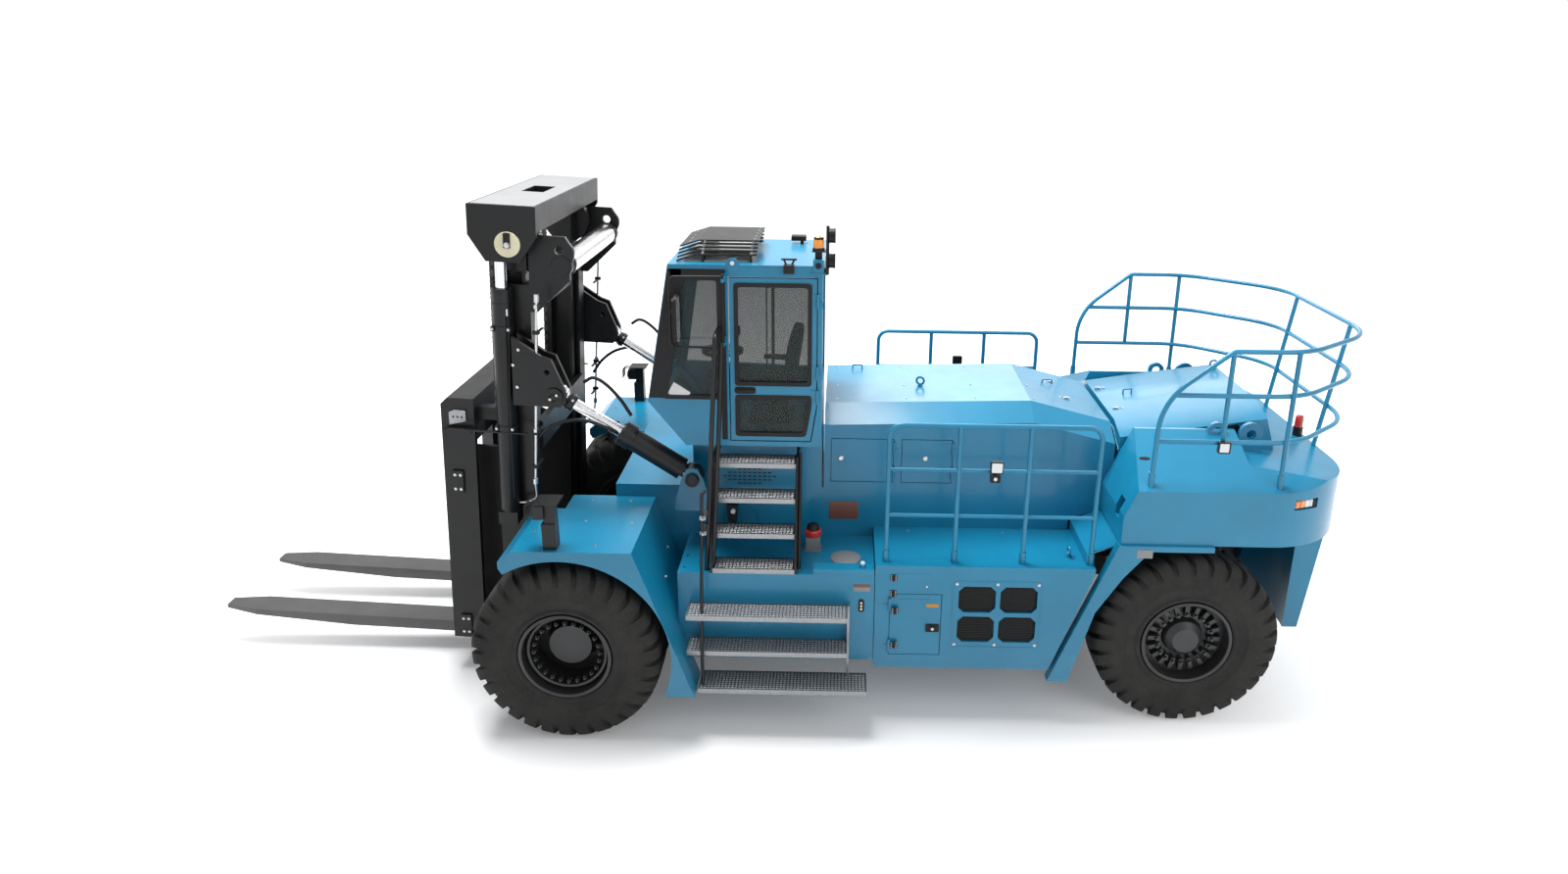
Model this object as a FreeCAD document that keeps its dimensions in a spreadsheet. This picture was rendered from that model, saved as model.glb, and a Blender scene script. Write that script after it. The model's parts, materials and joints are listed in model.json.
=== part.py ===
"""Heavy electric counterbalance forklift, as a FreeCAD 1.1 document.

Millimetres. +X points to the forks, +Y to the driver's left, +Z up. The tyres stand on z = 0.
Every size is a cell of the sheet "Sizes", and the objects are bound to those cells.
"""
import FreeCAD, Part
import math
import os
import re
import Sketcher

Vec = FreeCAD.Vector
doc = FreeCAD.newDocument("electric_forklift")

# ---------------------------------------------------------------- driving dimensions
SIZES = {
    # wheels and axles
    "axle_x": 1570.5, "wheelbase": 5450.0,
    "tyre_radius": 825.0, "tyre_width": 500.0, "bead_radius": 400.0, "bead_inset": 35.0, "wall_rise": 120.0,
    "tread_round": 70.0, "tread_drop": 105.0, "lug_count": 30.0, "lug_depth": 62.0, "lug_gap": 66.0,
    "dual_outer": 1750.0, "dual_inner": 1190.0, "steer_track": 1350.0,
    "rim_wall": 26.0, "disc_depth": 190.0, "disc_plate": 30.0,
    "hub_radius": 185.0, "spindle_radius": 110.0, "running_gap": 0.05,
   
    "drive_tube": 210.0, "bowl_radius": 330.0, "axle_end": 640.0,
    "kingpin_track": 990.0, "kingpin_radius": 55.0, "steer_beam": 230.0, "steer_beam_tall": 300.0, "trunnion": 130.0,
    "hanger_thick": 90.0, "hanger_low": 650.0,
    "steer_clear": 20.0, "yoke_gap": 6.0, "knuckle_tall": 260.0, "yoke_plate": 60.0, "steer_spindle": 70.0,
    # chassis box under the hood
    "chassis_front": 240.0, "chassis_box": 460.0, "chassis_half": 560.0, "chassis_low": 480.0,
    "cheek_thick": 80.0, "cheek_low": 560.0, "deck_low": 1050.0,
    "narrow_half": 300.0, "narrow_start": -1120.0, "chassis_rear": 880.0, "spine_low": 1010.0,
    "body_half": 850.0, "body_front": 250.0, "body_rear": -710.0, "seam_z": 1950.0,
    # mast: local frame stands on the pivot, leaned back by the tilt
    "pivot_x": 430.0, "pivot_z": 760.0, "mast_lean": 2.5, "pivot_pin": 55.0, "pivot_eye": 130.0,
    "pivot_ear": 60.0,
    "mast_ahead": 262.0, "mast_low": -560.0, "mast_high": 3080.0,
    "rail_outer": 920.0, "rail_lip": 190.0, "rail_half": 170.0, "rail_web": 40.0, "nest_gap": 10.0,
    "inner_depth": 260.0, "inner_low": -470.0, "inner_high": 3180.0, "inner_plate": 30.0,
    "head_half": 1100.0, "head_tall": 220.0, "head_deep": 290.0, "head_z": 3570.0, "head_plate": 40.0,
    "head_hole_long": 420.0, "head_hole_wide": 200.0, "cheek_drop": 260.0,
    "tie_tube": 100.0, "tie_back": 440.0, "tie_z": 3260.0, "crest_z": 3520.0, "crest_low": 2840.0,
    "crest_plate": 45.0, "crest_back": 520.0, "crest_lobe": 128.0, "hoist_hole": 40.0, "hoist_z": 3400.0, "hoist_back": 470.0,
    "cross_tall": 260.0, "cross_deep": 60.0, "cross_middle": 1500.0, "inner_cross_deep": 26.0,
    # lift cylinders
    "lift_y": 1008.0, "lift_bore": 60.0, "lift_wall": 27.0, "lift_foot": 980.0, "lift_gland": 3040.0,
    "lift_rod": 50.0, "lift_ahead": 310.0, "gland_long": 90.0,
    # leaf chains
    "chain_y": 790.0, "chain_wide": 70.0, "chain_thick": 34.0, "chain_low": 1900.0,
    "sheave_radius": 225.0, "sheave_x": 215.0, "sheave_z": 3390.0, "sheave_wide": 90.0, "sheave_pin": 35.0,
    # carriage and forks
    "carriage_half": 950.0, "carriage_plate": 60.0, "carriage_back": 630.0, "carriage_front": 930.0,
    "carriage_low": -445.0, "carriage_high": 2010.0, "beam_tall": 260.0, "beam_wall": 50.0,
    "roller_wide": 70.0, "roller_low": -250.0, "roller_high": 1100.0, "roller_gap": 0.3,
    "arm_thick": 40.0, "arm_tall": 320.0, "bar_deep": 130.0, "bar_tall": 150.0, "bar_high": 1560.0,
    "fork_y": 486.0, "fork_wide": 260.0, "fork_thick": 115.0, "fork_reach": 2450.0, "fork_low": -600.0,
    "fork_top": 1650.0, "hook_thick": 34.0, "hook_drop": 90.0, "fork_tip": 40.0, "fork_taper": 1150.0, "fork_tip_wide": 130.0, "hook_gap": 8.0,
    # tilt cylinders
    "tilt_y": 1050.0, "tilt_pin_x": 1010.0, "tilt_pin_z": 2130.0, "tilt_eye_x": 180.0, "tilt_eye_z": 2900.0,
    "tilt_local_x": -156.4, "tilt_local_z": 2148.9,
    "tilt_barrel": 100.0, "tilt_bore": 66.0, "tilt_rod": 52.0, "tilt_back": 160.0, "tilt_gland": 752.0,
    "tilt_inner_end": 420.0, "tilt_pin": 42.0, "tilt_eye": 100.0, "tilt_ear": 40.0, "tilt_wide": 100.0,
    "swivel_gap": 4.8, "swivel_along": -1.9, "swivel_up": 3.7, "ear_gap": 6.0, "neck": 20.0,
    # front fenders
    "fender_half": 2000.0, "fender_top": 1830.0, "fender_front": 500.0,
    "fender_flat_front": 380.0, "fender_flat_rear": 620.0, "fender_foot_front": 860.0,
    "fender_foot_rear": 1110.0, "fender_foot": 455.0, "arch_radius": 918.0, "mast_clear": 1150.0, "deck_step_z": 1900.0, "fender_lip": 1730.0,
    # side boxes and step boxes
    "box_side": 1620.0, "box_front": 2660.0, "box_rear": -880.0, "box_rear_low": -1220.0, "box_top": 1560.0,
    "box_low": 550.0, "box_door_front": 2790.0, "box_door_rear": 3250.0, "box_door_low": 680.0, "box_door_high": 1290.0,
    "grille_low": 820.0, "grille_tall": 255.0, "grille_bar": 40.0, "grille_margin": 145.0, "grille_deep": 60.0,
    "step_box_front": 930.0, "step_box_top": 1460.0, "step_box_low": 620.0,
    "panel_gap": 6.0,
    # treads
    "tread_z": 480.0, "tread_pitch": 345.0, "tread_inset": 150.0, "tread_thick": 45.0,
    "tread_front": 1030.0, "sill_front": 1125.0, "tread_rear": 2420.0, "sill_rear": 2600.0,
    "ladder_front": 1240.0, "ladder_rear": 1950.0, "ladder_pitch": 290.0,
    "ladder_out": 1620.0, "ladder_lean": 100.0, "ladder_tread": 210.0, "ladder_side": 22.0,
    "grab_top": 3560.0, "grab_x": 1290.0, "grab_foot_x": 1180.0, "grab_y": 1490.0, "grab_foot_y": 1560.0,
    "grab_bend": 60.0, "grab_rear_x": 1985.0, "grab_rear_top": 2440.0,
    # cab
    "cab_left": 1230.0, "cab_right": -50.0, "cab_floor": 2500.0, "cab_roof": 4110.0, "cab_wall": 50.0,
    "cab_nose": 660.0, "cab_nose_z": 2900.0, "cab_brow": 870.0, "cab_rear": 2170.0, "cab_chin": 980.0,
    "door_front": 1370.0, "door_rear": 2130.0, "door_low": 2545.0, "door_head": 100.0, "door_thick": 40.0,
    "door_gap": 10.0, "knuckle_radius": 13.0, "knuckle_long": 60.0, "hinge_leaf": 5.0, "door_rail": 62.0, "door_split": 3020.0, "roof_thick": 60.0, "pane_thick": 8.0,
    "guard_nose": 930.0, "guard_long": 680.0, "guard_wide": 1100.0, "guard_inset": 70.0, "slat_low": 68.0,
    "slat_step": 48.0, "slat_drop": 22.0, "slat_thick": 12.0, "slat_wide": 42.0, "slat_bend": 170.0, "slat_dip": 55.0,
    "seat_wide": 520.0, "seat_deep": 520.0, "seat_tall": 640.0, "seat_plinth": 400.0, "seat_rear": 200.0,
    "wheel_ring": 190.0,
    # lamps
    "post_x": 65.0, "post_inset": 100.0, "post_deep": 115.0, "post_wide": 110.0, "post_tall": 230.0,
    "neck_tall": 190.0, "lamp_deep": 90.0, "lamp_wide": 150.0, "lamp_tall": 120.0, "lamp_lid": 200.0,
    "mast_back": 35.0, "mast_rise": 330.0, "work_lamp": 58.0, "work_deep": 45.0, "beacon": 42.0, "beacon_tall": 110.0,
    "deck_lamp": 95.0, "deck_lamp_deep": 40.0, "tail_light_y": 300.0, "tail_light": 1300.0,
    # hood, rear cover and counterweight
    "hood_front": 2190.0, "hood_kink": -1350.0, "hood_rear": -600.0, "hood_front_z": 2700.0,
    "hood_kink_z": 2750.0, "hood_rear_z": 2560.0, "hood_top_half": 600.0, "hood_shoulder": 130.0,
    "hatch_one_front": 2250.0, "hatch_one_rear": 2830.0, "hatch_two_front": 2900.0, "hatch_two_rear": 3370.0,
    "hatch_low": 2010.0, "hatch_high": 2440.0, "hatch_deep": 60.0, "leaf_thick": 24.0, "leaf_gap": 6.0,
    "cover_front": -570.0, "cover_rear": 450.0, "cover_half": 840.0, "cover_ridge": -100.0,
    "cover_front_z": 2500.0, "cover_ridge_z": 2640.0, "cover_rear_z": 2420.0,
    "weight_half": 1620.0, "weight_front": -690.0, "weight_rear": 1380.0, "weight_low": 1800.0,
    "weight_top": 2600.0, "weight_edge": 2300.0, "weight_round": 780.0, "slot_turn": 20.0, "slot_long": 240.0,
    "slot_tall": 90.0, "slot_deep": 40.0, "slot_z": 2142.0, "notch_wide": 120.0, "notch_tall": 180.0, "notch_y": 1420.0,
    "notch_z": 1980.0, "lug_y": 930.0, "lug_plate": 40.0, "lug_big": 108.0, "lug_small": 84.0, "lug_eye": 42.0,
    "lug_rear": 580.0, "lug_front": 270.0,
    "tail_half": 1150.0,
    "tail_front": 880.0, "tail_rear": 1170.0, "tail_low": 750.0,
    "leg_half": 1650.0, "leg_in": 1550.0, "leg_foot": 450.0, "leg_foot_front": -1230.0, "leg_foot_rear": -1050.0,
    "leg_top_front": -710.0, "leg_top_rear": 110.0, "leg_lip": 1750.0, 
    # rails
    "tube": 21.0, "rail_bend": 110.0, "rail_y": 1530.0, "rail_top": 2830.0, "rail_front": 2750.0,
    "rail_rear": -910.0, "guard_y": 1550.0, "guard_front": -470.0, "guard_mid_front": -360.0, "guard_low": 2730.0,
    "guard_mid": 3140.0, "guard_top": 3520.0, "guard_rear": 1500.0, "guard_turn": 900.0, "guard_tail": 560.0,
    "guard_kink": 85.0, "guard_knee": 3080.0, "guard_post": 620.0, "guard_bend": 700.0, "knee_bend": 560.0,
    "kink_bend": 90.0,
}

sheet = doc.addObject("Spreadsheet::Sheet", "Sizes")
for row, (word, number) in enumerate(SIZES.items(), start=1):
    sheet.set(f"A{row}", word)
    sheet.set(f"B{row}", str(number))
    sheet.setAlias(f"B{row}", word)
doc.recompute()


# ---------------------------------------------------------------- small tools
def size(word):
    """The value of a cell of the sheet."""
    return float(sheet.get(word))


def bound(expression):
    """An expression with the sheet's name put before each of its words."""
    def cell(found):
        word = found.group()
        return "Sizes." + word if word in SIZES else word
    return re.sub(r"[a-z][a-z_]*", cell, str(expression))


def bind(thing, **cells):
    """Tie each named property of an object to an expression."""
    for name, expression in cells.items():
        thing.setExpression(name, bound(expression))
    return thing


def place(thing, at, axis=None, angle=0):
    """Put an object at a bound point, turned about an axis."""
    if axis:
        thing.Placement = FreeCAD.Placement(Vec(), FreeCAD.Rotation(Vec(*axis), 90))
        thing.setExpression("Placement.Rotation.Angle", bound(angle))
    for letter, expression in zip("xyz", at):
        thing.setExpression("Placement.Base." + letter, bound(expression))
    return thing


def box(name, length, at):
    """A block with its low corner at a point."""
    block = doc.addObject("Part::Box", name)
    bind(block, Length=length[0], Width=length[1], Height=length[2])
    return place(block, at)


def rod(name, radius, length, at, along="Z"):
    """A round bar from a point along an axis."""
    bar = doc.addObject("Part::Cylinder", name)
    bind(bar, Radius=radius, Height=length)
    turns = {"X": ((0, 1, 0), 90), "Y": ((1, 0, 0), -90), "Z": (None, 0)}
    axis, angle = turns[along]
    return place(bar, at, axis, angle)


def outline(name, points):
    """A closed sketch with every corner tied to its own pair of expressions."""
    sketch = doc.addObject("Sketcher::SketchObject", name)
    count = len(points)
    rough = [Vec(100.0 * math.cos(2 * math.pi * i / count), 100.0 * math.sin(2 * math.pi * i / count), 0)
             for i in range(count)]
    sketch.addGeometry([Part.LineSegment(rough[i], rough[(i + 1) % count]) for i in range(count)], False)
    for i in range(count):
        sketch.addConstraint(Sketcher.Constraint("Coincident", i, 2, (i + 1) % count, 1))
    for i, corner in enumerate(points):
        for kind, expression in zip(("DistanceX", "DistanceY"), corner):
            index = sketch.addConstraint(Sketcher.Constraint(kind, -1, 1, i, 1, 1.0))
            sketch.setExpression(f"Constraints[{index}]", bound(expression))
    return sketch


def prism(name, plane, points, start, length):
    """An outline in a plane, extruded along that plane's normal from start over length."""
    sketch = outline(name + "_outline", points)
    turns = {"XY": ((0, 0, 1), 0), "XZ": ((1, 0, 0), 90), "YZ": ((1, 1, 1), 120)}
    normal = {"XY": (0, 0, 1), "XZ": (0, 1, 0), "YZ": (1, 0, 0)}
    offset = {"XY": (0, 0, start), "XZ": (0, start, 0), "YZ": (start, 0, 0)}
    axis, angle = turns[plane]
    place(sketch, offset[plane], axis, angle)
    block = doc.addObject("Part::Extrusion", name)
    block.Base = sketch
    block.DirMode = "Custom"
    block.Dir = Vec(*normal[plane])
    block.Solid = True
    return bind(block, LengthFwd=length)


def fuse(name, pieces):
    """One solid from several that touch or overlap."""
    if len(pieces) == 1:
        return pieces[0]
    joined = doc.addObject("Part::MultiFuse", name)
    joined.Shapes = pieces
    joined.Refine = True
    return joined


def cut(name, base, tools):
    """A solid with the tools taken out of it."""
    result = doc.addObject("Part::Cut", name)
    result.Base = base
    result.Tool = fuse(name + "_tools", tools)
    result.Refine = True
    return result


def turned(name, points, at, along="Y"):
    """A round piece: an outline of (height, radius) corners revolved about an axis."""
    body = doc.addObject("PartDesign::Body", name)
    sketch = outline(name + "_section", points)
    body.addObject(sketch)
    plane = next(item for item in body.Origin.OriginFeatures if item.Role == "XY_Plane")
    sketch.AttachmentSupport = [(plane, "")]
    sketch.MapMode = "FlatFace"
    spin = body.newObject("PartDesign::Revolution", name + "_turn")
    spin.Profile = sketch
    spin.ReferenceAxis = (sketch, ["H_Axis"])
    spin.Angle = 360
    body.Tip = spin
    turns = {"X": (None, 0), "Y": ((0, 0, 1), 90)}
    axis, angle = turns[along]
    return place(body, at, axis, angle)


def mirrored(thing, name):
    """The same piece on the other side of the middle plane."""
    twin = doc.addObject("Part::Mirroring", name)
    twin.Source = thing
    twin.Base = Vec(0, 0, 0)
    twin.Normal = Vec(0, 1, 0)
    return twin


def tube_along(name, points, bends, radius):
    """A round tube of straight runs and arcs through points given in sheet expressions."""
    path = [Vec(*[number_of(e) for e in point]) for point in points]
    edges = []
    here = path[0]
    for before, corner, after, bend in zip(path, path[1:], path[2:], bends):
        back = (before - corner).normalize()
        ahead = (after - corner).normalize()
        half = math.acos(max(-1.0, min(1.0, back.dot(ahead)))) / 2
        reach = bend / math.tan(half)
        first = corner + back * reach
        last = corner + ahead * reach
        middle = (back + ahead).normalize()
        centre = corner + middle * (bend / math.sin(half))
        top = centre - middle * bend
        edges.append(Part.LineSegment(here, first).toShape())
        edges.append(Part.Arc(first, top, last).toShape())
        here = last
    edges.append(Part.LineSegment(here, path[-1]).toShape())
    wire = Part.Wire(edges)
    heading = (path[1] - path[0]).normalize()
    section = Part.Wire([Part.makeCircle(radius, path[0], heading)])
    feature = doc.addObject("Part::Feature", name)
    feature.Shape = wire.makePipeShell([section], True, False)
    return feature


def number_of(expression):
    """The value that an expression of sheet words has now."""
    return float(sheet.evalExpression(bound(expression)))


nodes = {}


def keep(name, thing):
    """Give a finished sub-part its label and list it as a node."""
    thing.Label = name
    nodes[name] = thing
    return thing


def both_sides(name, thing):
    """Keep a left piece and its mirror image on the right."""
    keep(name + "_left", thing)
    keep(name + "_right", mirrored(thing, name + "_mirror"))


REAR_AXLE = "(axle_x - wheelbase)"


def back(word):
    """An x that lies a named length behind the front axle."""
    return f"axle_x - {word}"


def aft(word):
    """An x that lies a named length behind the rear axle, or ahead of it where the length is negative."""
    return f"{REAR_AXLE} - ({word})"


# ---------------------------------------------------------------- wheels
def many_sided(name, profile):
    """A closed band about Z with flat faces, from corners of (distance to its sides, height)."""
    count = int(size("lug_count"))
    half_turn = math.pi / count
    rings = []
    for distance, height in profile:
        reach = number_of(distance) / math.cos(half_turn)
        angles = [(2 * i + 1) * half_turn - math.pi / 2 for i in range(count)]
        rings.append([Vec(reach * math.cos(a), reach * math.sin(a), number_of(height)) for a in angles])
    faces = []
    for low, high in zip(rings, rings[1:] + rings[:1]):
        for i in range(count):
            after = (i + 1) % count
            faces.append(Part.Face(Part.makePolygon([low[i], low[after], high[after], high[i], low[i]])))
    shell = Part.Shell(faces)
    shell.sewShape()
    solid = Part.Solid(shell)
    if solid.Volume < 0:
        solid.reverse()
    feature = doc.addObject("Part::Feature", name)
    feature.Shape = solid
    return feature


def lugged_tyre():
    """One tyre about Z, with a groove cut between each two lugs."""
    half = "tyre_width / 2"
    profile = [("bead_radius", f"{half} - bead_inset"), ("bead_radius + wall_rise", half),
               ("tyre_radius - tread_drop", half), ("tyre_radius", f"{half} - tread_round")]
    lower = [(distance, f"-({height})") for distance, height in profile]
    carcass = many_sided("carcass", lower + profile[::-1])
    grooves = []
    for number in range(int(size("lug_count"))):
        angle = f"(({number} + 0.5) * 360 / lug_count - 90)"
        floor = "(tyre_radius - lug_depth)"
        groove = box(f"groove_{number}", ("2 * lug_depth", "lug_gap", "tyre_width"), (
            f"{floor} * cos({angle}) + lug_gap / 2 * sin({angle})",
            f"{floor} * sin({angle}) - lug_gap / 2 * cos({angle})", f"-{half}"))
        groove.Placement.Rotation = FreeCAD.Rotation(Vec(0, 0, 1), 90)
        groove.setExpression("Placement.Rotation.Angle", bound(angle))
        grooves.append(groove)
    return cut("lugged_tyre", carcass, grooves)


def tyre(name, master, centre_x, centre_y):
    """A copy of the tyre, turned to stand on the ground at its place on an axle."""
    copy = doc.addObject("Part::Compound", name)
    copy.Links = [master]
    return keep(name, place(copy, (centre_x, centre_y, "tyre_radius"), (1, 0, 0), 90))


def front_rim(name, side):
    """The drum that carries two tyres, with its deep disc and the planetary hub."""
    inner = "dual_inner - tyre_width / 2 + 20"
    outer = "dual_outer + tyre_width / 2 - 12"
    disc = "dual_outer - disc_depth"
    bore = "spindle_radius + running_gap"
    wall = "bead_radius - rim_wall"
    corners = [(inner, "bead_radius"), (outer, "bead_radius"), (outer, wall),
               (f"{disc} + disc_plate", wall), (f"{disc} + disc_plate", "hub_radius + 60"),
               ("dual_outer - 20", "hub_radius"), ("dual_outer + 40", "hub_radius"), ("dual_outer + 40", "0"),
               ("dual_outer", "0"), ("dual_outer", bore), ("dual_inner - 140", bore),
               ("dual_inner - 140", "hub_radius + 20"), (disc, "hub_radius + 60"), (disc, wall),
               (inner, wall)]
    if side < 0:
        corners = [(f"-({along})", radius) for along, radius in corners]
    return turned(name, corners, ("axle_x", "0", "tyre_radius"))


def rear_rim(name, side):
    """The steered wheel's drum, its disc and its closed hub."""
    middle = "steer_track"
    inner = f"{middle} - tyre_width / 2 + 20"
    outer = f"{middle} + tyre_width / 2 - 12"
    disc = f"{middle} + 60"
    bore = "steer_spindle + running_gap"
    wall = "bead_radius - rim_wall"
    corners = [(inner, "bead_radius"), (outer, "bead_radius"), (outer, wall),
               (f"{disc} + disc_plate", wall), (f"{disc} + disc_plate", "hub_radius"),
               (f"{disc} + 90", "hub_radius - 20"), (f"{disc} + 140", "hub_radius - 70"),
               (f"{disc} + 140", "0"), (f"{disc} + 70", "0"), (f"{disc} + 70", bore),
               (f"{middle} - 90", bore), (f"{middle} - 90", "hub_radius - 30"), (disc, "hub_radius"),
               (disc, wall), (inner, wall)]
    if side < 0:
        corners = [(f"-({along})", radius) for along, radius in corners]
    return turned(name, corners, (REAR_AXLE, "0", "tyre_radius"))


def wheels():
    master = lugged_tyre()
    for side, word in ((1, "left"), (-1, "right")):
        tyre(f"tyre_front_outer_{word}", master, "axle_x", f"{side} * dual_outer")
        tyre(f"tyre_front_inner_{word}", master, "axle_x", f"{side} * dual_inner")
        keep(f"rim_front_{word}", front_rim(f"rim_front_{word}", side))
        tyre(f"tyre_rear_{word}", master, REAR_AXLE, f"{side} * steer_track")
        keep(f"rim_rear_{word}", rear_rim(f"rim_rear_{word}", side))


# ---------------------------------------------------------------- axles
def drive_axle():
    reach = "dual_outer - 10"
    pieces = [rod("axle_tube", "drive_tube", "2 * axle_end", ("axle_x", "-axle_end", "tyre_radius"), "Y"),
              rod("axle_spindle", "spindle_radius", f"2 * ({reach})",
                  ("axle_x", f"-({reach})", "tyre_radius"), "Y"),
              turned("axle_bowl", [("-300", "0"), ("-300", "drive_tube"), ("-120", "bowl_radius"),
                                   ("120", "bowl_radius"), ("300", "drive_tube"), ("300", "0")],
                     ("axle_x", "0", "tyre_radius"))]
    for side in (1, -1):
        flange_y = f"{side} * (axle_end - 25) - 25"
        pieces.append(rod(f"axle_flange_{side + 1}", "drive_tube + 60", "50",
                          ("axle_x", flange_y, "tyre_radius"), "Y"))
    keep("drive_axle", fuse("drive_axle", pieces))


def steer_axle():
    yoke_y = "kingpin_track - 85"
    beam = box("steer_beam_block", ("steer_beam", f"2 * ({yoke_y})", "steer_beam_tall"),
               (f"{REAR_AXLE} - steer_beam / 2", f"-({yoke_y})", "tyre_radius - steer_beam_tall / 2"))
    pieces = [beam, rod("steer_trunnion", "trunnion", "steer_beam + 260",
                        (f"{REAR_AXLE} - steer_beam / 2 - 130", "0", "tyre_radius"), "X")]
    for side in (1, -1):
        for level in (1, -1):
            tag = f"{side + 1}{level + 1}"
            low = f"tyre_radius + {level} * (knuckle_tall / 2 + yoke_gap + yoke_plate / 2) - yoke_plate / 2"
            pieces.append(rod("yoke_round_" + tag, "85", "yoke_plate",
                              (REAR_AXLE, f"{side} * kingpin_track", low)))
            pieces.append(box("yoke_plate_" + tag, ("170", "200", "yoke_plate"),
                              (f"{REAR_AXLE} - 85", f"{side} * (kingpin_track - 100) - 100", low)))
        pieces.append(rod(f"kingpin_{side + 1}", "kingpin_radius", "knuckle_tall + 2 * yoke_plate + 40",
                          (REAR_AXLE, f"{side} * kingpin_track",
                           "tyre_radius - knuckle_tall / 2 - yoke_plate - 20")))
    keep("steer_axle", fuse("steer_axle", pieces))


def knuckle(name, side):
    """The steering knuckle turns on the kingpin and holds the wheel's spindle."""
    reach = "steer_track + 100 - kingpin_track"
    start = "kingpin_track" if side > 0 else f"-(kingpin_track + {reach})"
    solid = fuse(name + "_solid", [
        rod(name + "_barrel", "kingpin_radius + 30", "knuckle_tall",
            (REAR_AXLE, f"{side} * kingpin_track", "tyre_radius - knuckle_tall / 2")),
        rod(name + "_spindle", "steer_spindle", reach, (REAR_AXLE, start, "tyre_radius"), "Y")])
    pin_hole = rod(name + "_pin_hole", "kingpin_radius + running_gap", "knuckle_tall + 20",
                   (REAR_AXLE, f"{side} * kingpin_track", "tyre_radius - knuckle_tall / 2 - 10"))
    return cut(name, solid, [pin_hole])


def axles():
    drive_axle()
    steer_axle()
    keep("knuckle_left", knuckle("knuckle_left", 1))
    keep("knuckle_right", knuckle("knuckle_right", -1))


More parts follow.
